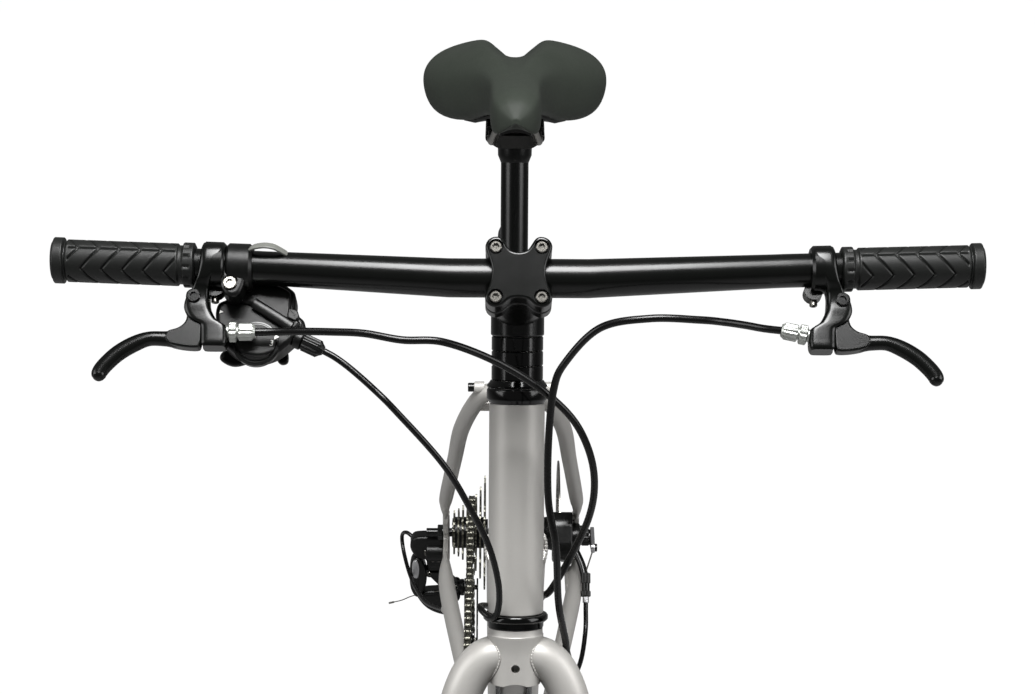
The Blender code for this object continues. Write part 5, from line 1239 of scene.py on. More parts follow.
def head_tube():
    rows = [(0.0168, HEAD_BOTTOM), (HEAD_RADIUS - 0.0006, HEAD_BOTTOM), (HEAD_RADIUS, HEAD_BOTTOM + 0.0008)]
    rows += [(HEAD_RADIUS, HEAD_TOP - 0.0008), (HEAD_RADIUS - 0.0006, HEAD_TOP), (0.0168, HEAD_TOP)]
    return turned(rows, STEER_FOOT, STEER_UP, 96)


def seatstay(side):
    top = seat(STAY_TOP)
    rows = [
        (side * 0.010, top.y - 0.002, top.z + 0.004, 0.007, 0.007),
        (side * 0.030, top.y + 0.012, top.z - 0.010, 0.008, 0.008),
        (side * 0.0485, top.y + 0.070, top.z - 0.066, 0.0080, 0.0080),
        (side * 0.0575, top.y + 0.140, top.z - 0.132, 0.0075, 0.0080),
        (side * (PLATE_X - 0.002), REAR_AXLE.y - 0.078, REAR_AXLE.z + 0.082, 0.0074, 0.0085),
        (side * PLATE_X, REAR_AXLE.y - 0.060, REAR_AXLE.z + 0.063, 0.0056, 0.0088),
        (side * PLATE_X, REAR_AXLE.y - 0.044, REAR_AXLE.z + 0.046, 0.0030, 0.0080),
    ]
    rows = smooth(rows, 54)
    return sweep([row[:3] for row in rows], [(row[3], row[4]) for row in rows], 32, X)


def chainstay(side):
    rows = [
        (side * 0.0215, BRACKET.y + 0.010, BRACKET.z + 0.001, 0.0075, 0.011),
        (side * 0.0255, BRACKET.y + 0.050, BRACKET.z + 0.006, 0.0075, 0.011),
        (side * 0.0330, BRACKET.y + 0.110, BRACKET.z + 0.014, 0.0075, 0.011),
        (side * 0.0520, REAR_AXLE.y - 0.210, REAR_AXLE.z - 0.031, 0.0085, 0.0095),
        (side * 0.0655, REAR_AXLE.y - 0.120, REAR_AXLE.z - 0.018, 0.0088, 0.0090),
        (side * (PLATE_X - 0.001), REAR_AXLE.y - 0.080, REAR_AXLE.z - 0.012, 0.0076, 0.0092),
        (side * PLATE_X, REAR_AXLE.y - 0.048, REAR_AXLE.z - 0.007, 0.0030, 0.0085),
    ]
    rows = smooth(rows, 54)
    return sweep([row[:3] for row in rows], [(row[3], row[4]) for row in rows], 32, X)


def end_plate(side):
    outline = [
        (-0.052, 0.038), (-0.038, 0.054), (-0.010, 0.022), (0.014, 0.012), (0.016, -0.012),
        (-0.008, -0.017), (-0.052, -0.018), (-0.056, -0.002), (-0.024, 0.006),
    ]
    if side < 0:
        outline[4:6] = [(0.017, -0.030), (0.009, -0.039), (-0.001, -0.034), (-0.010, -0.017)]
    centre = REAR_AXLE + X * (side * PLATE_X)
    eye = centre + Vector((0, 0.005, 0.0175))
    shell = plate(rounded(outline, 0.007, 5), 0.006, centre, Y, Z, 0.0012)
    lug = turned([(0.0026, -0.003), (0.0060, -0.003), (0.0060, 0.003), (0.0026, 0.003)], eye, X, 32)
    return [shell, lug]


def stop(start, end, radius):
    """A cable stop: a short barrel with a socket for the housing."""
    run = (end - start).length
    rows = [(0.0028, 0.0), (radius - 0.0005, 0.0), (radius, 0.0006), (radius, run - 0.002),
            (radius * 0.7, run)]
    return turned([*rows, (0.0012, run), (0.0012, run * 0.4), (0.0028, run * 0.4)], start, end - start, 28)


REAR_LOOP_STOPS = {
    1: (REAR_AXLE + Vector((0.0535, -0.2430, -0.0570)), REAR_AXLE + Vector((0.0460, -0.2580, -0.0450))),
    -1: (REAR_AXLE + Vector((-0.0700, -0.1120, -0.0360)), REAR_AXLE + Vector((-0.0640, -0.1280, -0.0275))),
}
HOUSING_END = 0.62
RACK_EYE = seat(STAY_TOP).z + 0.0020


def under_down_tube(side, share):
    """A place under the down tube, beside its middle, where a housing lies against it."""
    return DOWN_HIGH.lerp(BRACKET, share) + X * (side * 0.0120) - DOWN_SKY * 0.0205


def small_parts():
    shells = []
    for side in (1, -1):
        shells.append(stop(under_down_tube(side, HOUSING_END), under_down_tube(side, HOUSING_END + 0.025),
                           0.0055))
        shells.append(stop(*REAR_LOOP_STOPS[side], 0.0045))
        centre = seat(STAY_TOP)
        start = Vector((side * 0.0270, centre.y + 0.005, RACK_EYE))
        boss = [(0.0, 0.0055), (0.0080, 0.0055), (0.0092, 0.0048), (0.0095, 0.0030), (0.0060, 0.0028)]
        shells.append(turned([(r, h) for h, r in boss], start, X * side, 32, hollow=False))
        shells += [seatstay(side), chainstay(side), *end_plate(side)]
    bridge = seat(STAY_TOP) + Vector((0, 0.030, -0.026))
    chain_bridge = BRACKET + Vector((0, 0.056, 0.006))
    shells.append(rod(bridge - X * 0.035, bridge + X * 0.035, 0.006))
    shells.append(rod(chain_bridge - X * 0.028, chain_bridge + X * 0.028, 0.006))
    shells.append(block(REAR_AXLE + Vector((0.0640, -0.083, -0.0140)), (0.012, 0.046, 0.010), edge=0.002))
    return shells


def bracket_shell():
    rows = [(0.0177, -0.034), (0.0198, -0.034), (0.0205, -0.0333), (0.0205, 0.0333), (0.0198, 0.034),
            (0.0177, 0.034)]
    return turned(rows, BRACKET, X, 72)


DOWN_TUBE = (DOWN_HIGH, BRACKET, DOWN_RADIUS)
TOP_TUBE = (TOP_FRONT, TOP_BACK, TOP_RADIUS)
SEAT_TUBE = (seat(0.004), seat(SEAT_TUBE_LENGTH), SEAT_RADIUS)


def welds():
    beads = [
        weld(*DOWN_TUBE, STEER_FOOT, STEER_UP, HEAD_RADIUS),
        weld(*TOP_TUBE, STEER_FOOT, STEER_UP, HEAD_RADIUS),
        weld(TOP_BACK, TOP_FRONT, TOP_RADIUS, BRACKET, SEAT_UP, SEAT_RADIUS),
        weld(BRACKET, DOWN_HIGH, DOWN_RADIUS, BRACKET, X, 0.0205),
        weld(*SEAT_TUBE, BRACKET, X, 0.0205),
    ]
    for side in (1, -1):
        top = seat(STAY_TOP)
        start = Vector((side * 0.004, top.y - 0.006, top.z + 0.008))
        end = Vector((side * 0.030, top.y + 0.012, top.z - 0.010))
        beads.append(weld(start, end, 0.0074, BRACKET, SEAT_UP, SEAT_RADIUS, 120, size=0.0009,
                          ripple=0.0003))
        start = Vector((side * 0.0215, BRACKET.y, BRACKET.z))
        end = Vector((side * 0.0255, BRACKET.y + 0.050, BRACKET.z + 0.006))
        beads.append(weld(start, end, 0.0092, BRACKET, X, 0.0205, 120, size=0.0009, ripple=0.0003))
    return beads


def seat_tube():
    rows = [(0.0130, 0.36), (SEAT_RADIUS, 0.36), (SEAT_RADIUS, SEAT_TUBE_LENGTH - 0.0006)]
    rows += [(SEAT_RADIUS - 0.0005, SEAT_TUBE_LENGTH), (0.0130, SEAT_TUBE_LENGTH)]
    return [rod(seat(0.004), seat(0.362), SEAT_RADIUS, count=64), turned(rows, BRACKET, SEAT_UP, 64)]


tubes = [head_tube(), rod(*DOWN_TUBE, count=72), rod(*TOP_TUBE, count=64), *seat_tube(), bracket_shell()]
build("welded_frame", tubes + small_parts() + welds(), "frame_paint", "frame", ["frame"])
boss_shells, boss_screws = [], []
for shift in (-0.032, 0.032):
    base = DOWN_HIGH.lerp(BRACKET, 0.46) + DOWN_WAY * shift
    boss_shells.append(rod(base + DOWN_SKY * 0.016, base + DOWN_SKY * 0.0232, 0.006, 0.0054))
    boss_screws.append(bolt(base + DOWN_SKY * 0.0230, DOWN_SKY, 0.0042, 0.0022, 0.0020))
build("bottle_bosses", boss_shells, "frame_paint", "frame")
build("bottle_boss_screws", boss_screws, "steel", "frame")
rack_screw = Vector((-0.0360, seat(STAY_TOP).y + 0.005, RACK_EYE))
build("rack_screw", [bolt(rack_screw, -X, 0.0042, 0.0060, 0.0022)], "black_satin", "frame")
low = SEAT_TUBE_LENGTH - 0.014
rows = [(SEAT_RADIUS + GAP, low), (SEAT_RADIUS + 0.0027, low), (SEAT_RADIUS + 0.0033, low + 0.0006)]
rows += [(SEAT_RADIUS + 0.0033, low + 0.0124), (SEAT_RADIUS + 0.0027, low + 0.013),
         (SEAT_RADIUS + GAP, low + 0.013)]
lug = seat(low + 0.0065, SEAT_RADIUS + 0.006)
back = Vector((0, SEAT_UP.z, -SEAT_UP.y))
ears = [block(lug + X * side * 0.0042, (0.0062, 0.0100, 0.0120), X, back, 0.0014) for side in (1, -1)]
build("seat_clamp_ring", [turned(rows, BRACKET, SEAT_UP, 64), *ears], "black_satin", "frame",
      ["seat_collar"])
build("seat_clamp_bolt", [bolt(lug + X * 0.0070, X, 0.0036, 0.0030, 0.0019)], "steel", "frame")
print("frame welds:", len(welds()))

# %% [markdown]
# ## Fork
#
# The fork's crown is a short stub with a bolt hole, and each leg leaves it sideways and bends down. A sweep
# along a smooth curve gives the bend, and the arch between the legs is cut with a round cutter.

# %% Crown and legs
LEG_ROWS = [
    (0.0060, RACE - 0.0150, 0.0, 0.0130, 0.0140),
    (0.0222, RACE - 0.0205, 0.0, 0.0138, 0.0140),
    (0.0345, RACE - 0.0385, 0.0, 0.0136, 0.0140),
    (0.0425, RACE - 0.0700, 0.0, 0.0132, 0.0140),
    (0.0500, RACE - 0.1320, 0.008, 0.0125, 0.0140),
    (0.0545, RACE - 0.2500, 0.024, 0.0100, 0.0125),
    (0.0560, 0.0300, 0.042, 0.0065, 0.0095),
    (0.0528, 0.0080, 0.047, 0.0027, 0.0090),
]


def fork_leg(side):
    rows = smooth(LEG_ROWS, 84)
    points = [steer(along, forward, side * x) for x, along, forward, _, _ in rows]
    return sweep(points, [(row[3], row[4]) for row in rows], 48, X)


def fork_end(side):
    outline = [(-0.010, -0.016), (0.008, -0.018), (0.013, 0.000), (0.011, 0.030), (-0.010, 0.030)]
    return plate(rounded(outline, 0.006), 0.0056, FRONT_AXLE + X * (side * 0.053), Y, Z, 0.001)


def crown():
    rows = [
        (0.0172, RACE - 0.0360), (0.0172, RACE - 0.0160), (0.0178, RACE - 0.0090), (0.0190, RACE - 0.0040),
        (0.0192, RACE - 0.0020), (0.0186, RACE - 0.0012), (0.0186, RACE + 0.0026), (0.0146, RACE + 0.0028),
    ]
    shell = turned(rows, STEER_FOOT, STEER_UP, 96, hollow=False)
    hole = rod(steer(RACE - 0.0235, 0.05), steer(RACE - 0.0235, -0.05), 0.0030, count=40)
    arch = rod(steer(RACE - 0.0510, 0.04), steer(RACE - 0.0510, -0.04), 0.0170, count=96)
    return carve(shell, hole, arch)


shells = [crown(), rod(steer(RACE), steer(STEM_BOTTOM + 0.037), 0.0143, count=48)]
shells.append(block(FRONT_AXLE + Vector((0.0505, 0.036, 0.046)), (0.007, 0.022, 0.050), edge=0.002))
for side in (1, -1):
    start, end = steer(RACE - 0.0150, 0, side * 0.006), steer(RACE - 0.0205, 0, side * 0.023)
    joint = weld(start, end, 0.0139, STEER_FOOT, STEER_UP, 0.0175, size=0.0006, ripple=0.00025, pitch=0.0022)
    shells += [fork_leg(side), fork_end(side), joint]
build("welded_fork", shells, "frame_paint", "steering", ["fork"])
print("fork legs end at", FRONT_AXLE[:])

# %% [markdown]
# ## Cables
#
# The three housings that show run in long curves from the controls to the frame. Two of them cross from what
# steers to what doesn't; they are drawn where they lie and ride on neither body, so they don't bend as the
# bar turns.

# %% Housings
BRAKE_HOUSING = 0.0025
GEAR_HOUSING = 0.0022
FRONT_CALIPER = FRONT_AXLE + Vector((0.0, 0.070, 0.030))
FRONT_STOP = FRONT_CALIPER + Vector((0.0610, 0.0120, 0.0540))
FRONT_STOP_DOWN = Vector((0, 0.243, -0.970))
HANGER = REAR_AXLE + Vector((0, 0.008, -0.028))
LOOP_END = REAR_AXLE + Vector((-0.1095, 0.0275, -0.0195))


def down_tube_run(side):
    shares = (0.12, 0.25, 0.40, HOUSING_END - 0.04, HOUSING_END + 0.006)
    return [under_down_tube(side, share) for share in shares]


def rear_brake_route():
    start = control(-1, ADJUSTER_OUT, ADJUSTER_REACH) + adjuster_way(-1) * (ADJUSTER_LENGTH - 0.002)
    return [
        start, (-0.1567, -0.3725, 0.9289), (-0.1409, -0.3755, 0.9304),
        (-0.1212, -0.3795, 0.9318), (-0.0991, -0.3845, 0.9328),
        (-0.0745, -0.3900, 0.9306), (-0.0483, -0.3900, 0.9294),
        (-0.0172, -0.3800, 0.9135), (0.0112, -0.3720, 0.8926), (0.0346, -0.3680, 0.8690),
        (0.0470, -0.3650, 0.8446), (0.0520, -0.3600, 0.8175), (0.0492, -0.3520, 0.7877),
        (0.0371, -0.3420, 0.7516),
        steer(HEAD_BOTTOM + 0.0150, -0.002, 0.0240), steer(HEAD_BOTTOM + 0.0060, -0.024, 0.0180),
        *down_tube_run(1),
    ]


def front_brake_route():
    start = control(1, ADJUSTER_OUT, ADJUSTER_REACH) + adjuster_way(1) * (ADJUSTER_LENGTH - 0.002)
    return [
        start, (0.1589, -0.3725, 0.9332), (0.1460, -0.3770, 0.9372),
        (0.1318, -0.3825, 0.9413), (0.1159, -0.3875, 0.9446),
        (0.0838, -0.3900, 0.9463), (0.0523, -0.3850, 0.9377),
        (0.0303, -0.3800, 0.9114), (0.0232, -0.3780, 0.8912), (0.0204, -0.3780, 0.8539),
        (0.0209, -0.3800, 0.8127), (0.0263, -0.3830, 0.7803), (0.0288, -0.3740, 0.7344),
        (0.0341, -0.3620, 0.6999), (0.0387, -0.3560, 0.6750),
        (0.0620, -0.3560, 0.6100), (0.0600, -0.3900, 0.5200),
        FRONT_STOP - FRONT_STOP_DOWN * 0.0220, FRONT_STOP + FRONT_STOP_DOWN * 0.0030,
    ]


def gear_route():
    start = control(-1, SHIFTER_CLAMP_START - 0.0491, 0.0536, -0.0150)
    return [
        start, (-0.1186, -0.3690, 0.9095), (-0.1080, -0.3740, 0.9032),
        (-0.0934, -0.3810, 0.8924), (-0.0790, -0.3875, 0.8798),
        (-0.0487, -0.3870, 0.8424), (-0.0303, -0.3840, 0.8077), (-0.0184, -0.3810, 0.7794),
        (-0.0120, -0.3790, 0.7512), (-0.0119, -0.3770, 0.7307), (-0.0165, -0.3730, 0.7214),
        steer(HEAD_BOTTOM + 0.0035, 0.003, -0.0248), steer(HEAD_BOTTOM + 0.0000, -0.022, -0.0190),
        *down_tube_run(-1),
    ]


def gear_loop_route():
    start, end = REAR_LOOP_STOPS[-1]
    ahead = (start - end).normalized()
    inward = (Vector((-0.0900, HANGER.y + 0.004, HANGER.z)) - LOOP_END).normalized()
    return [
        start - ahead * 0.004, start + ahead * 0.010, REAR_AXLE + Vector((-0.0930, -0.0600, -0.0540)),
        REAR_AXLE + Vector((-0.1090, -0.0050, -0.0570)), REAR_AXLE + Vector((-0.1190, 0.0320, -0.0440)),
        REAR_AXLE + Vector((-0.1220, 0.0450, -0.0270)), LOOP_END - inward * 0.0090,
        LOOP_END + inward * 0.003,
    ]


def housing(name, route, radius, body, nodes, steps):
    return build(name, [sweep(smooth(route, steps), radius, 20)], "housing", body, nodes, crease=60)


crossing = {
    "rear_brake_line": (rear_brake_route(), BRAKE_HOUSING, ["rear_brake_housing"], (0.051, -0.365, 0.823)),
    "gear_line": (gear_route(), GEAR_HOUSING, ["gear_housing"], (-0.030, -0.384, 0.800)),
}
for name, (route, radius, nodes, start) in crossing.items():
    made = loose(name, [sweep(smooth(route, 300), radius, 20)])
    made.data.shade_smooth()
    made.data.materials.append(FINISHES["housing"].material)
    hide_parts(*nodes)
    end = under_down_tube(1 if start[0] > 0 else -1, 0.10)
    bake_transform(made)
housing("front_brake_line", front_brake_route(), BRAKE_HOUSING, "steering", ["front_brake_housing"], 300)
housing("gear_loop_line", gear_loop_route(), GEAR_HOUSING, "frame", ["gear_loop_housing"], 140)
wires = []
for side in (1, -1):
    points = [under_down_tube(side, HOUSING_END), under_down_tube(side, 0.90), REAR_LOOP_STOPS[side][1]]
    points.insert(2, BRACKET + Vector((side * 0.0235, 0.002, -0.0240)))
    wires.append(sweep(smooth(points, 40), 0.0008, 8))
build("bare_wires", wires, "steel", "frame")
print("housings:", [round(sum((Vector(b) - Vector(a)).length for a, b in zip(r, r[1:])), 3)
      for r in (smooth(rear_brake_route(), 90), smooth(front_brake_route(), 90), smooth(gear_route(), 90))])
# %% [markdown]
# ## Saddle and seat post
#
# The saddle is a padded cover over a plastic shell on two steel rails. Its crowned wings, the channel
# between them and the round nose are one smooth form, so it is a fine grid of sections, relaxed until no
# corner is left. Cloth could be inflated over it, but a saddle's cover is glued to moulded foam and doesn't
# wrinkle.

# %% Saddle
CLAMP_MIDDLE = seat(0.626)
RAIL_HEIGHT = CLAMP_MIDDLE.z + 0.00085
SADDLE_HEIGHT = RAIL_HEIGHT + 0.0685
SADDLE_NOSE_Y = CLAMP_MIDDLE.y - 0.14785
SADDLE_LENGTH = 0.285
SADDLE_ROWS = [
    (0.0000, 0.0100, -0.0100, -0.0160, -0.0270),
    (0.0250, 0.0170, -0.0030, -0.0130, -0.0330),
    (0.0700, 0.0212, 0.0010, -0.0110, -0.0370),
    (0.1400, 0.0228, 0.0018, -0.0100, -0.0380),
    (0.3000, 0.0235, -0.0010, -0.0110, -0.0400),
    (0.4600, 0.0350, -0.0020, -0.0170, -0.0520),
    (0.6000, 0.0590, -0.0070, -0.0280, -0.0690),
    (0.7400, 0.0810, -0.0155, -0.0350, -0.0750),
    (0.8600, 0.0885, -0.0235, -0.0360, -0.0670),
    (0.9500, 0.0830, -0.0290, -0.0340, -0.0560),
    (1.0000, 0.0600, -0.0350, -0.0330, -0.0500),
]


def saddle_station(share):
    """Half width, top, edge and bottom heights at a share of the length from the nose."""
    for low, high in zip(SADDLE_ROWS, SADDLE_ROWS[1:]):
        if share <= high[0]:
            t = (share - low[0]) / (high[0] - low[0])
            return [a + (b - a) * t for a, b in zip(low[1:], high[1:])]
    return list(SADDLE_ROWS[-1][1:])


def saddle_section(row, shrink=1.0):
    """One smooth ring: the channel, the crown of the wing, its side and the flat underside."""
    share, half, top, edge, low = row
    wing = max(0.0, min((share - 0.35) / 0.45, 1.0))
    y = SADDLE_NOSE_Y + share * SADDLE_LENGTH
    crown = min(half * 0.42, 0.0300)
    drop = low - edge
    winged = [
        (0.0, top - 0.0034), (crown * 0.34, top - 0.0020), (crown * 0.64, top + 0.0080),
        (crown * 0.92, top + 0.0136),
        (crown * 1.24, top * 0.96 + edge * 0.04 + 0.0138), (half * 0.78, (top + edge) / 2 + 0.0090),
        (half * 0.95, edge + 0.0010),
    ]
    right = []
    for x, z in winged:
        domed = edge + (top - edge) * math.sqrt(1 - (x / half) ** 2)
        right.append((x, domed + (z - domed) * wing))
    right += [
        (half * 1.00, edge + drop * 0.35), (half * 0.97, edge + drop * 0.80), (half * 0.86, low),
        (half * 0.45, low + 0.004), (0.0, low + 0.006),
    ]
    ring = smooth(right + [(-x, z) for x, z in right[-2:0:-1]], 132, loop=True)
    middle = (top + low) / 2
    return [Vector((p[0] * shrink, y, SADDLE_HEIGHT + middle + (p[1] - middle) * shrink)) for p in ring]


def saddle_cover():
    rows = smooth(SADDLE_ROWS, 90)
    first, last = rows[0], rows[-1]
    rings = [saddle_section((first[0] - d, *first[1:]), k) for d,
             k in ((0.020, 0.25), (0.015, 0.60), (0.007, 0.86))]
    rings += [saddle_section(row) for row in rows]
    rings += [saddle_section(last, k) for k in (0.90, 0.60, 0.25)]
    grid = np.array([[tuple(point) for point in ring] for ring in rings])
    for _ in range(16):
        grid = grid * 0.5 + (np.roll(grid, 1, axis=1) + np.roll(grid, -1, axis=1)) * 0.25
        grid[1:-1] = grid[1:-1] * 0.5 + (grid[:-2] + grid[2:]) * 0.25
    return [skin([[Vector(point) for point in ring] for ring in grid])]


def saddle_base():
    rows = []
    for share in (0.06, 0.14, 0.25, 0.37, 0.48, 0.58, 0.68, 0.78, 0.86, 0.92, 0.96):
        half, _, _, low = saddle_station(share)
        y = SADDLE_NOSE_Y + share * SADDLE_LENGTH
        right = [(half * k, low + z) for k, z in ((0.66, 0.0016), (0.58, 0.0026), (0.40, 0.0042),
            (0.0, 0.0055))]
        upper = right + [(-x, z) for x, z in right[-2::-1]]
        lower = [(x, z - 0.0030) for x, z in reversed(upper)]
        rows.append([Vector((x, y, SADDLE_HEIGHT + z)) for x, z in upper + lower])
    return [skin(rows)]


def rail(side):
    tail = SADDLE_NOSE_Y + SADDLE_LENGTH
    points = [
        (side * 0.0070, SADDLE_NOSE_Y + 0.034, SADDLE_HEIGHT - 0.0330),
        (side * 0.0110, SADDLE_NOSE_Y + 0.050, SADDLE_HEIGHT - 0.0375),
        (side * 0.0160, SADDLE_NOSE_Y + 0.074, SADDLE_HEIGHT - 0.0480),
        (side * 0.0212, SADDLE_NOSE_Y + 0.106, RAIL_HEIGHT + 0.0004),
        (side * 0.0215, SADDLE_NOSE_Y + 0.148, RAIL_HEIGHT),
        (side * 0.0217, SADDLE_NOSE_Y + 0.190, RAIL_HEIGHT),
        (side * 0.0260, tail - 0.062, RAIL_HEIGHT + 0.0040),
        (side * 0.0330, tail - 0.038, SADDLE_HEIGHT - 0.0560),
    ]
    return sweep(smooth(points, 70), 0.0035, 24)


cover = build("padded_cover", saddle_cover(), "saddle", "seat", ["saddle_cover"], crease=70)
build("saddle_shell", saddle_base(), "black_plastic", "seat", ["saddle_base"])
build("saddle_rails", [rail(1), rail(-1)], "steel", "seat")
print("saddle nose at y", round(SADDLE_NOSE_Y, 4), "height", round(SADDLE_HEIGHT, 4))

# %% Seat post and its clamp
foot = seat(SEAT_TUBE_LENGTH - 0.146)
post = turned([(0.0117, 0.0), (0.0127, 0.001), (0.0127, 0.334)], foot, SEAT_UP, 64, hollow=False)
neck = []
NECK_ROWS = ((0.596, 0.0127, 0.0127), (0.603, 0.0155, 0.0150), (0.616, 0.0158, 0.0155),
             (0.624, 0.0200, 0.0150))
for along, wide, deep in NECK_ROWS:
    neck.append(oval(seat(along), X, SEAT_BACK, wide, deep, 48))
jaw = [(-0.0270, 0.0020), (-0.0270, -0.0040), (-0.0150, -0.0115), (0.0150, -0.0115), (0.0270, -0.0040),
       (0.0270, 0.0020)]
lower_jaw = plate(rounded(jaw, 0.003), 0.046, CLAMP_MIDDLE, X, Z, 0.0012)
jaw = [(-0.0270, 0.0030), (0.0270, 0.0030), (0.0265, 0.0080), (0.0150, 0.0100), (-0.0150, 0.0100),
       (-0.0265, 0.0080)]
upper_jaw = plate(rounded(jaw, 0.003), 0.032, CLAMP_MIDDLE, X, Z, 0.0012)
build("post", [post, skin(neck), lower_jaw, upper_jaw], "black_satin", "seat", ["seat_post"])
ends = [bolt(CLAMP_MIDDLE + Y * side * 0.0165 + Z * 0.0015, Y * side, 0.0036, 0.0028, 0.0018)
        for side in (1, -1)]
build("saddle_clamp_bolts", ends, "black_gloss", "seat")
print("post from", foot[:], "to the clamp at", CLAMP_MIDDLE[:])
# %% [markdown]
# ## Wheels
#
# A tyre is a ring of identical sections, so its tread can be a height that depends on the angle and on the
# place across it. The rim is an aluminium channel, and 32 steel spokes cross it to the hub's two flanges,
# each held by a nipple. Spokes are laced in crossing pairs, as on a real wheel.

# %% Rings round an axle
def spoke_way(angle):
    return Vector((0, math.sin(angle), -math.cos(angle)))


def wheel_ring(profile, centre, count, height=None):
    """Turns (radius, x) pairs about the axle, with an optional height for each place."""
    rings = []
    for i in range(count):
        angle = math.tau * i / count
        out = spoke_way(angle)
        ring = []
        for r, x in profile:
            lift = height(angle, x, r) if height else 0
            ring.append(centre + out * (r + lift) + X * x)
        rings.append(ring)
    return skin(rings, closed=True)


def tyre_tread(angle, x, r):
    """A city tyre's tread: two ring grooves and slanted cuts towards the shoulders."""
    if r < TYRE_RADIUS - 0.0100:
        return 0
    ring_groove = 1 - eased(abs(abs(x) - 0.0042), 0.0004, 0.0011)
    cut_place = (angle * 58 / math.tau + abs(x) * 60 + (0.5 if x > 0 else 0)) % 1
    side_cut = (1 - eased(abs(cut_place - 0.5), 0.06, 0.14)) * eased(abs(x), 0.0055, 0.0065)
    return -0.0010 * max(ring_groove, side_cut * (1 - eased(abs(x), 0.0125, 0.0145)))


def tyre_shell(centre):
    outside = []
    for i in range(33):
        turn = math.radians(-118 + 236 * i / 32)
        outside.append((TYRE_RADIUS - 0.0160 + 0.0160 * math.cos(turn), 0.0160 * math.sin(turn)))
    bead = RIM_RADIUS - 0.0060
    profile = [(bead, -0.0088), *outside, (bead, 0.0088), (bead, 0.0072), (TYRE_RADIUS - 0.0060, 0.0),
               (bead, -0.0072)]
    return wheel_ring(profile, centre, 400, tyre_tread)


def rim_shell(centre):
    top = RIM_RADIUS
    right = [
        (top - 0.0205, 0.0), (top - 0.0200, 0.0048), (top - 0.0180, 0.0085), (top - 0.0140, 0.0116),
        (top - 0.0125, 0.0120), (top - 0.0008, 0.0120), (top, 0.0114), (top - 0.0002, 0.0106),
        (top - 0.0080, 0.0096),
    ]
    return wheel_ring(right + [(r, -x) for r, x in reversed(right[1:])], centre, 160)


SPOKES_A_SIDE = 16
SPOKE_CROSSES = 3
SPOKE_CIRCLE = 0.0200
SPOKE_RADIUS = 0.0010
SPOKE_DEPTH = 0.0185


def wheel_spokes(centre, flanges):
    """Spokes laced three-cross, with their heads, and their nipples."""
    wires, nipples = [], []
    step = math.tau / SPOKES_A_SIDE
    for side in (1, -1):
        for k in range(SPOKES_A_SIDE):
            trailing = 1 if k % 2 == 0 else -1
            a = k * step + (step / 2 if side < 0 else 0)
            b = a + trailing * SPOKE_CROSSES * step
            flange = centre + X * (side * flanges[side])
            hole = flange + spoke_way(a) * SPOKE_CIRCLE
            bend = hole + X * (side * trailing * 0.0020)
            seat = centre + spoke_way(b) * (RIM_RADIUS - SPOKE_DEPTH)
            rim_end = seat + X * (side * 0.0020 + side * trailing * 0.0016)
            ahead = (rim_end - bend).normalized()
            start = hole - X * (side * trailing * 0.0016)
            corner = bend + ahead * 0.0022
            wires.append(sweep([start, hole, bend, corner, rim_end], SPOKE_RADIUS, 8))
            wires.append(rod(start - X * (side * trailing * 0.0010), start, 0.0018, count=10))
            low = rim_end - ahead * 0.0130
            nipples.append(sweep([low, low + ahead * 0.001, rim_end], [0.0014, 0.0019, 0.0021], 8))
    return wires, nipples


def valve(centre):
    base = centre + spoke_way(0.11) * (RIM_RADIUS - 0.0200)
    inward = -spoke_way(0.11)
    stem = [(0.0030, -0.002), (0.0030, 0.0120), (0.0025, 0.0128), (0.0025, 0.0180)]
    cap = [(0.0036, 0.0180), (0.0036, 0.0260), (0.0028, 0.0290), (0.0010, 0.0292)]
    return turned(stem + cap, base, inward, 20, hollow=False)


# %% Hubs, rotors and axles
HUB_BORE = 0.0053


def hub_shell(centre, width, flanges, rotor_x, freehub):
    end = width / 2 - RUN
    seat_x = rotor_x - 0.0009
    edge = -(flanges[-1] + 0.0035) if freehub else -end
    profile = [
        (HUB_BORE, edge), (0.0100, edge), (0.0110, edge + 0.0006), (0.0130, -flanges[-1] - 0.0012),
        (0.0215, -flanges[-1] - 0.0012), (0.0225, -flanges[-1] - 0.0006), (0.0225, -flanges[-1] + 0.0006),
        (0.0215, -flanges[-1] + 0.0012), (0.0140, -flanges[-1] + 0.0026), (0.0112, -flanges[-1] + 0.0070),
        (0.0110, 0.0), (0.0112, flanges[1] - 0.0070), (0.0140, flanges[1] - 0.0026),
        (0.0215, flanges[1] - 0.0012),
        (0.0225, flanges[1] - 0.0006), (0.0225, flanges[1] + 0.0006), (0.0215, flanges[1] + 0.0012),
        (0.0170, flanges[1] + 0.0014), (0.0200, seat_x - 0.0020), (0.0200, seat_x), (0.0170, seat_x),
        (0.0170, rotor_x + 0.0020), (0.0120, end - 0.001), (0.0110, end), (HUB_BORE, end),
    ]
    return turned(profile, centre, X, 72)


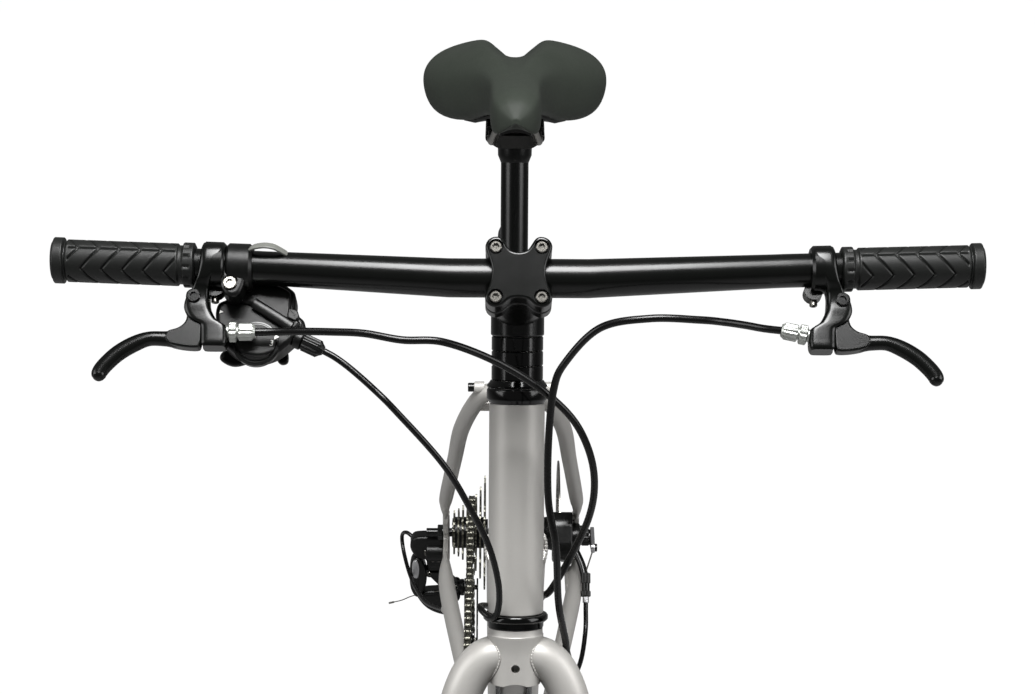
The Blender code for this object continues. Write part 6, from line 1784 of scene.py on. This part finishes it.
def rotor_shell(centre, x):
    """The disc: a drilled brake track on six swept arms."""
    middle = centre + X * x
    track = plate(disc(0.0795, 216, 0.0005, 12), 0.0018, middle, Y, Z, 0.0002, 2)
    cutters = [rod(middle - X * 0.01, middle + X * 0.01, 0.0175, count=48)]
    for i in range(6):
        a = math.tau * i / 6
        window_outline = []
        for r, twist in ((0.062, 0.10), (0.045, 0.0), (0.028, -0.16)):
            window_outline.append((r * math.cos(a + 0.13 + twist), r * math.sin(a + 0.13 + twist)))
        for r, twist in ((0.028, -0.16), (0.045, 0.0), (0.062, 0.10)):
            window_outline.append((r * math.cos(a + 0.86 + twist), r * math.sin(a + 0.86 + twist)))
        for k in range(1, 6):
            t = a + 0.96 - 0.73 * k / 6
            window_outline.append((0.0622 * math.cos(t), 0.0622 * math.sin(t)))
        cutters.append(slab(window_outline, 0.01, middle, Y, Z))
        for k in range(6):
            t = a + math.tau / 6 * (k + 0.5) / 6
            r = 0.0672 + 0.0040 * (k % 3)
            hole = middle + Y * (r * math.cos(t)) + Z * (r * math.sin(t))
            cutters.append(rod(hole - X * 0.01, hole + X * 0.01, 0.0021, count=16))
    return carve(track, together(cutters))


def axle_shell(centre, width):
    outside = width / 2 + 0.006 + GAP
    reach = outside + (0.0105 if width < 0.12 else 0.0190)
    shells = [rod(centre - X * reach, centre + X * (outside + 0.0105), 0.0047, count=32)]
    for side in (1, -1):
        base = centre + X * (side * outside)
        washer = [(0.0047, 0.0), (0.0092, 0.0), (0.0092, 0.0012), (0.0047, 0.0014)]
        shells.append(turned(washer, base, X * side, 48))
        hexagon = [(0.0085 * math.cos(math.tau * i / 6), 0.0085 * math.sin(math.tau * i / 6))
                   for i in range(6)]
        shells.append(plate(hexagon, 0.0056, base + X * (side * 0.0040), Y, Z, (0.0008, 0.0006)))
    return shells


FLANGES = {"front": {1: 0.0280, -1: 0.0340}, "rear": {1: 0.0340, -1: 0.0205}}
AXLES = {"front": FRONT_AXLE, "rear": REAR_AXLE}
WIDTHS = {"front": 0.100, "rear": 0.135}
ROTORS = {"front": 0.050 - 0.0105, "rear": 0.0675 - 0.0153}
for word, centre in AXLES.items():
    wheel = f"{word}_wheel"
    wires, nipples = wheel_spokes(centre, FLANGES[word])
    build(f"{word}_treaded_tyre", [tyre_shell(centre)], "tyre", wheel, [f"{word}_tyre"], crease=60)
    build(f"{word}_wheel_rim", [rim_shell(centre)], "alloy", wheel, [f"{word}_rim"])
    build(f"{word}_spokes", wires, "steel", wheel, crease=60)
    build(f"{word}_nipples", nipples, "steel", wheel)
    build(f"{word}_valve", [valve(centre)], "black_plastic", wheel)
    hub = hub_shell(centre, WIDTHS[word], FLANGES[word], ROTORS[word], word == "rear")
    build(f"{word}_hub_body", [hub], "black_satin", wheel, [f"{word}_hub"])
    rotor = build(f"{word}_brake_disc", [rotor_shell(centre, ROTORS[word])], "steel", wheel,
                  [f"{word}_rotor"])
    screws = []
    for i in range(6):
        out = spoke_way(math.tau * i / 6)
        screws.append(bolt(centre + X * (ROTORS[word] + 0.0009) + out * 0.0215, X, 0.0030, 0.0018, 0.0014))
    build(f"{word}_disc_bolts", screws, "steel", wheel)
    build(f"{word}_axle_and_nuts", axle_shell(centre, WIDTHS[word]), "black_satin",
          "frame" if word == "rear" else "steering", [f"{word}_axle"])
    print(word, "wheel:", len(wires) // 2, "spokes,", len(rotor.data.polygons), "rotor faces")
# %% [markdown]
# ## Drive
#
# Cogs, chainring and pulleys are flat plates with teeth, so one outline function serves them all. The chain
# is laid out along the line that touches all four wheels: first its route is worked out as arcs and
# straights, then a link is put on every half inch, with inner and outer plates in turn.

# %% Teeth and round numbers
CHAIN_PITCH = 0.0127
COG_TEETH = (30, 24, 20, 18, 16, 14, 12, 11)
COG_STEP = 0.0048
FIRST_COG = 0.0286
CHAIN_X = -(FIRST_COG + 3 * COG_STEP)
GUIDE_PULLEY = REAR_AXLE + Vector((CHAIN_X, 0.016, -0.076))
TENSION_PULLEY = REAR_AXLE + Vector((CHAIN_X, -0.006, -0.131))


def pitch_radius(teeth):
    return CHAIN_PITCH / (2 * math.sin(math.pi / teeth))


def teeth_outline(teeth, reach=0.0020):
    """Blunt teeth with round roots between them, which the rollers sit in."""
    tip, root = pitch_radius(teeth) + reach, pitch_radius(teeth) - 0.0036
    flank = (tip + root) / 2
    step = math.tau / teeth
    shape = ((-0.10, tip), (0.10, tip), (0.22, flank), (0.36, root), (0.50, root - 0.0003), (0.64, root),
             (0.78, flank))
    outline = []
    for i in range(teeth):
        for share, r in shape:
            a = (i + share) * step
            outline.append((r * math.cos(a), r * math.sin(a)))
    return outline


def cog(teeth, centre, bore):
    """A stamped sprocket. A large one is lightened with windows between its arms."""
    blank = slab(teeth_outline(teeth), 0.0018, centre, Y, Z)
    cutters = [rod(centre - X * 0.01, centre + X * 0.01, bore, count=40)]
    inner, outer = bore + 0.0050, pitch_radius(teeth) - 0.0085
    if outer - inner > 0.004:
        for i in range(6):
            a = math.tau * i / 6
            places = [a + 0.16 + 0.72 * k / 4 for k in range(5)]
            ring = [(outer * math.cos(t), outer * math.sin(t)) for t in places]
            ring += [(inner * math.cos(t), inner * math.sin(t)) for t in reversed(places)]
            cutters.append(slab(ring, 0.01, centre, Y, Z))
    return carve(blank, together(cutters))


# %% Cassette
cogs, spacers = [], []
for i, teeth in enumerate(COG_TEETH):
    middle = REAR_AXLE - X * (FIRST_COG + i * COG_STEP)
    cogs.append(cog(teeth, middle, 0.0150))
    if i < len(COG_TEETH) - 1:
        rows = [(0.0150, 0.0010), (0.0172, 0.0010), (0.0172, COG_STEP - 0.0010), (0.0150, COG_STEP - 0.0010)]
        spacers.append(turned(rows, middle, -X, 48))
last = REAR_AXLE - X * (FIRST_COG + 7 * COG_STEP)
body_rows = [(HUB_BORE, -0.0034), (0.0149, -0.0034), (0.0149, 7 * COG_STEP + 0.0010),
             (HUB_BORE, 7 * COG_STEP + 0.0010)]
spacers.append(turned(body_rows, REAR_AXLE - X * FIRST_COG, -X, 48))
lock = [(0.0090, 0.0010, 0), (0.0155, 0.0010, 0), (0.0155, 0.0020, 1), (0.0110, 0.0024, 1),
        (0.0100, 0.0012, 0)]
build("cassette_cogs", cogs, "chain_steel", "cassette", ["cassette"])
build("cassette_spacers", spacers, "black_plastic", "cassette")
build("lock_ring", [flutes(lock, last, -X, 12, 0.0005, 96)], "steel", "cassette")
print("largest cog", round(pitch_radius(COG_TEETH[0]) * 2000), "mm across")


# %% Chain
def touching(first, second):
    """The angle of the normal of the line that touches two circles on its left side."""
    dy, dz = second[0] - first[0], second[1] - first[1]
    return math.atan2(dz, dy) + math.acos((first[2] - second[2]) / math.hypot(dy, dz))


def chain_line():
    wheels = [
        (BRACKET.y, BRACKET.z, pitch_radius(40)), (REAR_AXLE.y, REAR_AXLE.z, pitch_radius(18)),
        (GUIDE_PULLEY.y, GUIDE_PULLEY.z, -pitch_radius(11)),
        (TENSION_PULLEY.y, TENSION_PULLEY.z, pitch_radius(11)),
    ]
    normals = [touching(wheels[i], wheels[(i + 1) % 4]) for i in range(4)]
    line = []
    for i, (y, z, radius) in enumerate(wheels):
        start, end = normals[i - 1], normals[i]
        turn = (start - end) % math.tau if radius > 0 else -((end - start) % math.tau)
        for k in range(49):
            a = start - turn * k / 48
            line.append(Vector((CHAIN_X, y + radius * math.cos(a), z + radius * math.sin(a))))
    return line


def evenly(line, pitch):
    """Pins at equal steps along a closed line, as close to the pitch as fits."""
    runs = [(b - a).length for a, b in zip(line, line[1:] + line[:1])]
    count = round(sum(runs) / pitch / 2) * 2
    step = sum(runs) / count
    pins, walked, k = [], 0.0, 0
    for i in range(count):
        while walked + runs[k] < i * step:
            walked += runs[k]
            k += 1
        pins.append(line[k].lerp(line[(k + 1) % len(line)], (i * step - walked) / runs[k]))
    return pins


def link_plate(length, wide, waist):
    outline = []
    for centre, turn in ((0.0, math.pi), (length, 0.0)):
        for i in range(7):
            a = turn - math.radians(75) + math.radians(150) * i / 6
            outline.append((centre + wide * math.cos(a), wide * math.sin(a)))
        outline.append((length / 2, waist if turn == 0.0 else -waist))
    return outline


pins = evenly(chain_line(), CHAIN_PITCH)
plates, rollers = [], []
for i, pin in enumerate(pins):
    after = pins[(i + 1) % len(pins)]
    along = (after - pin).normalized()
    rise = along.cross(X)
    out = 0.0029 if i % 2 else 0.0019
    outline = link_plate((after - pin).length, 0.0041 if i % 2 else 0.0040, 0.0029)
    for side in (1, -1):
        plates.append(slab(outline, 0.0009, pin + X * (side * out), along, rise))
    rollers.append(rod(pin - X * 0.0014, pin + X * 0.0014, 0.0037, count=14))
    if i % 2:
        for joint in (pin, after):
            rollers.append(rod(joint - X * 0.0037, joint + X * 0.0037, 0.0017, count=10))
build("chain_plates", plates, "chain_steel", "frame", ["chain"])
build("chain_rollers", rollers, "chain_steel", "frame")
print("chain of", len(pins), "links")

# %% Chainring, cranks and pedals
CRANK_REST = math.radians(30)
CRANK_ALONG = Vector((0, math.cos(CRANK_REST), -math.sin(CRANK_REST)))
CRANK_ACROSS = Vector((0, math.sin(CRANK_REST), math.cos(CRANK_REST)))
RING_CENTRE = BRACKET + X * CHAIN_X


def crank_arm(side):
    rows = [
        (-0.0170, 0.0600, 0.0660, 0.0050), (-0.0150, 0.0575, 0.0685, 0.0100),
        (-0.0080, 0.0562, 0.0698, 0.0150),
        (0.0, 0.0560, 0.0700, 0.0165), (0.0120, 0.0560, 0.0700, 0.0158), (0.030, 0.0562, 0.0702, 0.0132),
        (0.090, 0.0600, 0.0730, 0.0115), (0.150, 0.0632, 0.0752, 0.0115), (0.168, 0.0640, 0.0760, 0.0125),
        (0.178, 0.0645, 0.0755, 0.0105), (0.183, 0.0665, 0.0740, 0.0050),
    ]
    rings = []
    for along, low, high, half in smooth(rows, 70):
        centre = BRACKET + CRANK_ALONG * (side * along) + X * (side * (low + high) / 2)
        rings.append(oval(centre, X, CRANK_ACROSS, (high - low) / 2, half, 40, 0.62))
    return skin(rings)


def crank_eye(side):
    return BRACKET + CRANK_ALONG * (side * 0.170)


def spider():
    base = BRACKET + X * (CHAIN_X - 0.0013)
    shells = [rod(base, BRACKET - X * 0.0600, 0.0180, count=56)]
    for i in range(4):
        a = math.tau * (i + 0.5) / 4
        arm = [(0.0, -0.010), (0.020, -0.0090), (0.046, -0.0070), (0.0530, -0.0062), (0.0575, 0.0)]
        arm += [(x, -y) for x, y in reversed(arm[:-1])]
        shells.append(plate(rounded(arm, 0.004), 0.0052, base - X * 0.0026, spoke_way(a),
                            X.cross(spoke_way(a)), 0.0012))
    return shells


blank = slab(teeth_outline(40), 0.0020, RING_CENTRE, Y, Z)
cutters = [rod(RING_CENTRE - X * 0.01, RING_CENTRE + X * 0.01, 0.0600, count=96)]
ring_shells = [carve(blank, *cutters)]
ring_bolts = []
for i in range(4):
    a = math.tau * (i + 0.5) / 4
    out = spoke_way(a)
    ear = [(0.0445, -0.0050), (0.0640, -0.0150), (0.0640, 0.0150), (0.0445, 0.0050)]
    ring_shells.append(plate(rounded(ear, 0.004), 0.0020, RING_CENTRE, out, X.cross(out), 0.0003))
    ring_bolts.append(bolt(RING_CENTRE - X * 0.0068 + out * 0.0510, -X, 0.0048, 0.0016, 0.0025))
build("toothed_ring", ring_shells, "black_satin", "crank", ["chainring"])
build("ring_bolts", ring_bolts, "steel", "crank")
spindle = rod(BRACKET - X * 0.0640, BRACKET + X * 0.0710, 0.0080, count=32)
build("right_arm_and_spider", [crank_arm(-1), spindle, *spider()], "black_satin", "crank", ["right_crank"])
build("left_arm", [crank_arm(1)], "black_satin", "crank", ["left_crank"])
caps = [bolt(BRACKET + X * side * 0.0705, X * side, 0.0078, 0.0016, 0.0040) for side in (1, -1)]
build("crank_bolts", caps, "steel", "crank")
cup = [(0.0086, 0.0), (0.0175, 0.0), (0.0175, 0.0190), (0.0195, 0.0190), (0.0195, 0.0222), (0.0180, 0.0228)]
cup += [(0.0095, 0.0228), (0.0086, 0.0220)]
cups = [turned(cup, BRACKET + X * side * 0.0152, X * side, 56) for side in (1, -1)]
build("bracket_cups", cups, "black_satin", "frame", ["bottom_bracket"])


def pedal(side):
    """A caged platform pedal: a frame with two windows, ribs and rows of grip teeth."""
    centre = crank_eye(side) + X * (side * (0.0780 + 0.046))
    half, wide = 0.046, 0.037
    outline = [
        (-half, -wide * 0.55), (-half * 0.7, -wide), (half * 0.85, -wide), (half, -wide * 0.8),
        (half, wide * 0.8), (half * 0.85, wide), (-half * 0.7, wide), (-half, wide * 0.55),
    ]
    shell = plate(rounded(outline, 0.006), 0.018, centre, X * side, Y, 0.0016)
    cutters = []
    for shift in (-1, 1):
        for k in (-1, 1):
            middle = centre + Y * (shift * 0.0205) + X * (side * (0.002 + k * 0.0160))
            cutters.append(block(middle, (0.0270, 0.0175, 0.04), edge=0.0002))
    cutters.append(rod(centre - X * 0.06, centre + X * 0.06, 0.0063, count=28))
    shells = [carve(shell, together(cutters))]
    for shift in (-1, 1):
        for k in range(9):
            base = centre + Y * (shift * 0.0345) + X * (side * (-0.028 + 0.0075 * k))
            for way in (1, -1):
                shells.append(rod(base + Z * (way * 0.0080), base + Z * (way * 0.0099), 0.0018, 0.0010, 10))
    return shells


for side, word in ((1, "left"), (-1, "right")):
    build(f"{word}_platform", pedal(side), "black_plastic", f"{word}_pedal", [f"{word}_pedal"])
    eye = crank_eye(side)
    spindle = rod(eye + X * side * 0.0660, eye + X * side * 0.1700, 0.0060, count=28)
    build(f"{word}_pedal_spindle", [spindle], "steel", "crank")
print("cranks, chainring and pedals on the bracket at", [round(v, 3) for v in BRACKET])

# %% [markdown]
# ## Rear derailleur
#
# The derailleur hangs from the right end plate: an upper knuckle, a parallelogram of two links on pins, a
# lower knuckle and a sprung cage with two pulleys. Each moves with its own joint, so each is a piece of its
# own.

# %% Knuckles and links
PIN_SPREAD = 0.0140
UPPER_PIN = Vector((-0.0900, HANGER.y + 0.006, HANGER.z - 0.0260))
LINK_DROP = Vector((0.0155, 0, -0.0170))
LOWER_PIN = UPPER_PIN + LINK_DROP
CAGE_OUTER_X = CHAIN_X - 0.0075
CAGE_INNER_X = CHAIN_X + 0.0062


def capsule(length, first, last, steps=10):
    outline = []
    for centre, turn, radius in ((0.0, math.pi, first), (length, 0.0, last)):
        for i in range(steps + 1):
            a = turn - math.pi / 2 + math.pi * i / steps
            outline.append((centre + radius * math.cos(a), radius * math.sin(a)))
    return outline


def ears(pin, toward):
    shells = []
    half = 0.0070 + GAP + 0.0008
    for side in (1, -1):
        shells.append(plate(capsule(PIN_SPREAD, 0.0045, 0.0045), 0.0016, pin + Y * (side * half), X, Z,
                            0.0003))
        web = pin + X * PIN_SPREAD / 2 + Y * (side * half) + Z * (toward * 0.0050)
        shells.append(block(web, (PIN_SPREAD, 0.0016, 0.0080), edge=0.0003))
    return shells


def pins_at(pin, reach=0.0092):
    shells = []
    for shift in (0.0, PIN_SPREAD):
        for side in (1, -1):
            start = pin + X * shift
            shells.append(rod(start, start + Y * (side * reach), 0.0015, count=16))
            shells.append(rod(start + Y * (side * (reach - 0.0006)), start + Y * (side * reach), 0.0024,
                              0.0018, 20))
    return shells


def front_plate(outline, thickness, y, edge=0.001):
    """A rounded casting from (x, z) pairs as seen from the front."""
    return plate(smooth(outline, len(outline) * 8, loop=True), thickness, Vector((0, y, 0)), X, Z, edge, 5)


inner_end = HANGER - X * 0.0741
body_rows = [(0.0095, 0.0), (0.0105, 0.001), (0.0108, 0.008), (0.0105, 0.0185), (0.0092, 0.0200),
             (0.0050, 0.0200)]
upper = [turned(body_rows, inner_end, -X, 56, hollow=False)]
middle = UPPER_PIN + X * PIN_SPREAD / 2
shape = [(-0.0098, -0.0080), (0.0090, -0.0080), (0.0095, 0.0060), (0.0050, 0.0105), (-0.0060, 0.0105),
         (-0.0105, 0.0060)]
upper.append(plate(rounded(shape, 0.004), 0.0190, middle + Z * 0.0150, X, Z, (0.0030, 0.0026), 5))
cover = [
    (-0.1099, 0.3304), (-0.1026, 0.3353), (-0.0771, 0.3343), (-0.0738, 0.3244), (-0.0772, 0.3108),
    (-0.1006, 0.3076), (-0.1105, 0.3193),
]
upper.append(front_plate(cover, 0.0200, UPPER_PIN.y, (0.0040, 0.0034)))
upper += ears(UPPER_PIN, 1)
nose = Vector((-0.0900, HANGER.y + 0.004, HANGER.z))
ferrule_way = (LOOP_END - nose).normalized()
upper.append(sweep([nose, nose.lerp(LOOP_END, 0.5), LOOP_END - ferrule_way * 0.001, LOOP_END],
                   [0.0062, 0.0050, 0.0042, 0.0034], 24))
build("upper_knuckle", upper, "black_plastic", "frame", ["derailleur_knuckle"])
build("upper_link_pins", pins_at(UPPER_PIN), "steel", "frame")
mount = [bolt(inner_end - X * 0.0200, -X, 0.0052, 0.0012, 0.0026)]
build("derailleur_mount_bolt", mount, "steel", "frame")
limit = [bolt(middle + Vector((dx, -0.0095, 0.0170)), -Y, 0.0019, 0.0014, 0.0009)
         for dx in (-0.0032, 0.0032)]
build("limit_screws", limit, "steel", "frame")

along = LINK_DROP.normalized()
across_link = Vector((-along.z, 0, along.x))
for name, shift, body in (("outer", 0.0, "outer_link"), ("inner", PIN_SPREAD, "inner_link")):
    start = UPPER_PIN + X * shift
    link = plate(capsule(LINK_DROP.length, 0.0029, 0.0029), 0.0139, start, along, across_link, 0.0008)
    link_shells = [carve(link, *(rod(p - Y * 0.02, p + Y * 0.02, 0.0018, count=20)
                                 for p in (start, start + LINK_DROP)))]
    if name == "outer":
        cover = [
            (-0.1101, 0.3056), (-0.1028, 0.3094), (-0.0962, 0.3020), (-0.0930, 0.2858),
            (-0.0964, 0.2683), (-0.1043, 0.2607), (-0.1109, 0.2707), (-0.1124, 0.2894),
        ]
        link_shells.append(front_plate(cover, 0.0190, UPPER_PIN.y - 0.001, (0.0036, 0.0030)))
    build(f"{name}_link_bar", link_shells, "black_plastic", body, [f"derailleur_{name}_link"])
badge = [
    (-0.1088, 0.3045), (-0.1036, 0.3070), (-0.1014, 0.2971), (-0.1032, 0.2859), (-0.1084, 0.2884),
]
build("link_cover", [front_plate(badge, 0.0030, UPPER_PIN.y - 0.0100, 0.0008)], "alloy", "outer_link")

low_middle = LOWER_PIN + X * PIN_SPREAD / 2
shape = [(-0.0120, 0.0060), (0.0115, 0.0060), (0.0118, -0.0040), (0.0080, -0.0085), (-0.0070, -0.0085),
         (-0.0125, -0.0030)]
lower = [plate(rounded(shape, 0.004), 0.0190, low_middle - Z * 0.0105, X, Z, (0.0032, 0.0026), 5),
         *ears(LOWER_PIN, -1)]
cover = [
    (-0.1045, 0.2599), (-0.0955, 0.2649), (-0.0831, 0.2663), (-0.0708, 0.2676), (-0.0630, 0.2651),
    (-0.0619, 0.2500), (-0.0641, 0.2361), (-0.0788, 0.2366), (-0.0945, 0.2448),
]
lower.append(front_plate(cover, 0.0180, UPPER_PIN.y + 0.004, (0.0040, 0.0034)))
pivot = Vector((LOWER_PIN.x + PIN_SPREAD + 0.0033, GUIDE_PULLEY.y, GUIDE_PULLEY.z))
run = CAGE_OUTER_X - 0.0012 - pivot.x
rows = [(0.0070, -0.002), (0.0088, 0.0), (0.0094, 0.003), (0.0094, run - 0.0008), (0.0088, run),
        (0.0040, run)]
lower.append(turned(rows, pivot, X, 56, hollow=False))
build("lower_knuckle", lower, "black_plastic", "cage_knuckle", ["cage_knuckle"])
build("lower_link_pins", pins_at(LOWER_PIN), "steel", "cage_knuckle")

# %% Cage and pulleys
cage_run = TENSION_PULLEY - GUIDE_PULLEY
cage_along = Vector((0, cage_run.y, cage_run.z)).normalized()
cage_side = X.cross(cage_along)


def cage_plate(x):
    base = Vector((x, GUIDE_PULLEY.y, GUIDE_PULLEY.z))
    whole = plate(capsule(cage_run.length, 0.0102, 0.0086, 14), 0.0018, base, cage_along, cage_side, 0.0003)
    hole = [(0.0130, -0.0040), (0.0290, -0.0052), (0.0460, -0.0036), (0.0460, 0.0036), (0.0290, 0.0052),
            (0.0130, 0.0040)]
    return carve(whole, slab(rounded(hole, 0.003), 0.01, base, cage_along, cage_side))


def pulley(centre, teeth_reach):
    blank = slab(teeth_outline(11, teeth_reach), 0.0022, centre, Y, Z)
    cutters = [rod(centre - X * 0.01, centre + X * 0.01, 0.0034, count=28)]
    for i in range(5):
        hole = centre + spoke_way(math.tau * i / 5) * 0.0110
        cutters.append(rod(hole - X * 0.01, hole + X * 0.01, 0.0022, count=18))
    hub_rows = [(0.0034, -0.0030), (0.0056, -0.0030), (0.0056, 0.0030), (0.0034, 0.0030)]
    return [carve(blank, together(cutters)), turned(hub_rows, centre, X, 32)]


build("cage_plates", [cage_plate(CAGE_OUTER_X), cage_plate(CAGE_INNER_X)], "black_satin", "cage",
      ["derailleur_cage"])
axles = []
for centre in (GUIDE_PULLEY, TENSION_PULLEY):
    start, end = Vector((CAGE_OUTER_X, centre.y, centre.z)), Vector((CAGE_INNER_X, centre.y, centre.z))
    axles += [rod(start, end, 0.0028, count=20), bolt(start - X * 0.0008, -X, 0.0042, 0.0014, 0.0018)]
build("cage_axles", axles, "steel", "cage")
build("upper_jockey", pulley(GUIDE_PULLEY, -0.0010), "black_plastic", "guide_pulley", ["guide_pulley"])
build("lower_jockey", pulley(TENSION_PULLEY, 0.0016), "black_plastic", "tension_pulley", ["tension_pulley"])
tail = [LOWER_PIN + Vector((-0.004, -0.009, -0.004)), (-0.1080, 0.5560, 0.2510), (-0.1220, 0.5560, 0.2450),
        (-0.1310, 0.5560, 0.2425)]
crimp_start = Vector(tail[-1])
crimp = rod(crimp_start, crimp_start + Vector((-0.006, 0, -0.0015)), 0.0011, count=14)
build("gear_wire_end", [sweep(smooth(tail, 24), 0.0006, 8), crimp], "steel", "cage_knuckle")
print("cage", round(cage_run.length * 1000, 1), "mm between pulleys")

# %% [markdown]
# ## Disc brakes
#
# Each caliper is two halves bolted over the rotor, with a round actuator outside that an arm turns when the
# wire pulls. A cutter the shape of the rotor leaves the gap that the rotor runs in.

# %% Calipers and their arms
REAR_CALIPER = REAR_AXLE + Vector((0.0, -0.067, 0.028))
REAR_STOP = REAR_AXLE + Vector((0.0795, -0.1030, 0.0040))
REAR_STOP_DOWN = Vector((0, -0.575, -0.818))


def caliper_shells(centre, outer_x, inner_x, size, turn, rotor_centre, rotor_x):
    wide, tall = size
    along = Vector((0, math.cos(turn), math.sin(turn)))
    rise = Vector((0, -math.sin(turn), math.cos(turn)))
    middle = Vector(((outer_x + inner_x) / 2, centre.y, centre.z))
    outline = [
        (-wide / 2, -tall * 0.30), (-wide * 0.36, -tall / 2), (wide * 0.36, -tall / 2),
        (wide / 2, -tall * 0.30),
        (wide / 2, tall / 3), (wide / 4, tall / 2), (-wide / 4, tall / 2), (-wide / 2, tall / 3),
    ]
    body = plate(rounded(outline, 0.005, 5), outer_x - inner_x, middle, along, rise, (0.0022, 0.0018))
    slot_half = 0.0018
    slot = rod(
        Vector((rotor_x - slot_half, rotor_centre.y, rotor_centre.z)),
        Vector((rotor_x + slot_half, rotor_centre.y, rotor_centre.z)), 0.0820, count=96,
    )
    drum = [(0.0130, -0.004), (0.0152, -0.003), (0.0152, 0.0060), (0.0140, 0.0076), (0.0118, 0.0080)]
    face = Vector((outer_x, centre.y, centre.z))
    bolts = [bolt(middle + along * (s * wide * 0.40) + X * (outer_x - inner_x) / 2, X, 0.0036, 0.0030,
                  0.0018)
             for s in (1, -1)]
    return [carve(body, slot), turned(drum, face, X, 56, hollow=False)], bolts


def arm_shell(pivot, low_x, high_x, angle, length):
    along = Vector((0, math.cos(angle), math.sin(angle)))
    rise = Vector((0, -math.sin(angle), math.cos(angle)))
    middle = Vector(((low_x + high_x) / 2, pivot.y, pivot.z))
    return plate(capsule(length, 0.0110, 0.0055, 12), high_x - low_x, middle, along, rise, 0.0007)


def stop_shell(low, way, length):
    rows = [(0.0030, 0.0, 0), (0.0046, 0.0004, 0), (0.0050, 0.0010, 1), (0.0050, 0.0060, 1),
            (0.0042, 0.0066, 0)]
    rows += [(0.0042, length * 0.55, 0), (0.0048, length * 0.58, 1), (0.0048, length - 0.001, 1),
             (0.0028, length, 0)]
    return flutes(rows, low, way, 10, 0.0003, 80)


shells, bolts = caliper_shells(REAR_CALIPER, 0.0660, 0.0440, (0.052, 0.034), math.radians(55), REAR_AXLE,
                               ROTORS["rear"])
rear_low = REAR_STOP + REAR_STOP_DOWN * 0.0260
bridge = [REAR_CALIPER + Vector((0.064, -0.012, 0.0)), REAR_CALIPER + Vector((0.075, -0.028, -0.018)),
          REAR_STOP + REAR_STOP_DOWN * 0.010]
shells += [sweep(smooth(bridge, 16), 0.0042, 20), stop_shell(rear_low, -REAR_STOP_DOWN, 0.0260)]
knob = [(0.0085, 0.0095, 0), (0.0092, 0.0110, 1), (0.0092, 0.0175, 1), (0.0080, 0.0190, 0),
        (0.0050, 0.0192, 0)]
face = REAR_CALIPER + X * 0.0655
shells.append(turned([(0.0085, 0.0), (0.0085, 0.0190), (0.0070, 0.0195)], face, X, 40, hollow=False))
build("rear_caliper_body", shells, "black_satin", "frame", ["rear_brake_caliper"])
build("rear_caliper_bolts", bolts, "steel", "frame")
knob_rows = [(r - 0.0004, h - 0.0002, f) for r, h, f in knob]
build("rear_pad_knob", [flutes(knob_rows, face, X, 16, 0.0004, 96)], "black_plastic", "frame")
start, end = REAR_LOOP_STOPS[1]
outward = (start - end).normalized()
loop = [
    rear_low + -REAR_STOP_DOWN * 0.004, rear_low + REAR_STOP_DOWN * 0.012,
    rear_low + Vector((-0.0005, -0.0220, -0.0290)),
    rear_low + Vector((-0.0060, -0.0560, -0.0450)), rear_low + Vector((-0.0170, -0.0980, -0.0480)),
    start + outward * 0.0100, start - outward * 0.004,
]
build("rear_brake_loop", [sweep(smooth(loop, 120), BRAKE_HOUSING, 20)], "housing", "frame", crease=60)
ferrule = [(0.0026, 0.0, 0), (0.0033, 0.0002, 0), (0.0033, 0.0060, 0), (0.0026, 0.0064, 0)]
build("rear_brake_ferrule", [flutes(ferrule, rear_low + REAR_STOP_DOWN * 0.0062, -REAR_STOP_DOWN, 8, 0.0,
                                    32)], "alloy", "frame")
rear_arm = arm_shell(REAR_CALIPER, 0.0850, 0.0890, math.radians(178), 0.027)
build("rear_caliper_arm", [rear_arm], "alloy", "rear_arm", ["rear_brake_arm"])
tip = REAR_CALIPER + Vector((0.0870, -0.027, 0.001))
build("rear_wire_clamp", [bolt(tip + X * 0.0018, X, 0.0042, 0.0026, 0.0019)], "black_satin", "rear_arm")

shells, bolts = caliper_shells(FRONT_CALIPER, 0.0560, 0.0340, (0.046, 0.028), math.radians(-67), FRONT_AXLE,
                               ROTORS["front"])
bridge = [FRONT_CALIPER + Vector((0.052, 0.006, 0.010)), FRONT_CALIPER + Vector((0.056, 0.010, 0.028)),
          FRONT_CALIPER + Vector((0.0610, 0.007, 0.046))]
shells += [sweep(smooth(bridge, 16), 0.0044, 20), stop_shell(FRONT_STOP + FRONT_STOP_DOWN * 0.0160,
    -FRONT_STOP_DOWN, 0.0160)]
build("front_caliper_body", shells, "black_satin", "steering", ["front_brake_caliper"])
build("front_caliper_bolts", bolts, "steel", "steering")
FRONT_ARM_TURN = math.radians(60)
FRONT_ARM_REACH = 0.030
front_arm = arm_shell(FRONT_CALIPER, 0.0645, 0.0700, FRONT_ARM_TURN, FRONT_ARM_REACH)
build("front_caliper_arm", [front_arm], "alloy", "front_arm", ["front_brake_arm"])
tip = FRONT_CALIPER + Vector(
    (0.0670, FRONT_ARM_REACH * math.cos(FRONT_ARM_TURN), FRONT_ARM_REACH * math.sin(FRONT_ARM_TURN))
)
build("front_wire_clamp", [bolt(tip + X * 0.0028, X, 0.0042, 0.0026, 0.0019)], "steel", "front_arm")
wires = [sweep([REAR_STOP, REAR_CALIPER + Vector((0.0870, -0.0300, 0.0))], 0.0008, 8)]
build("rear_brake_wire", wires, "steel", "frame")
low = FRONT_STOP + FRONT_STOP_DOWN * 0.0150
build("front_brake_wire", [sweep([low, tip], 0.0008, 8)], "steel", "steering")
print("calipers at", REAR_CALIPER[:], FRONT_CALIPER[:])
# %% [markdown]
# ## Ending
#
# The box of the finished model is worked out at the end.

low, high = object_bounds()
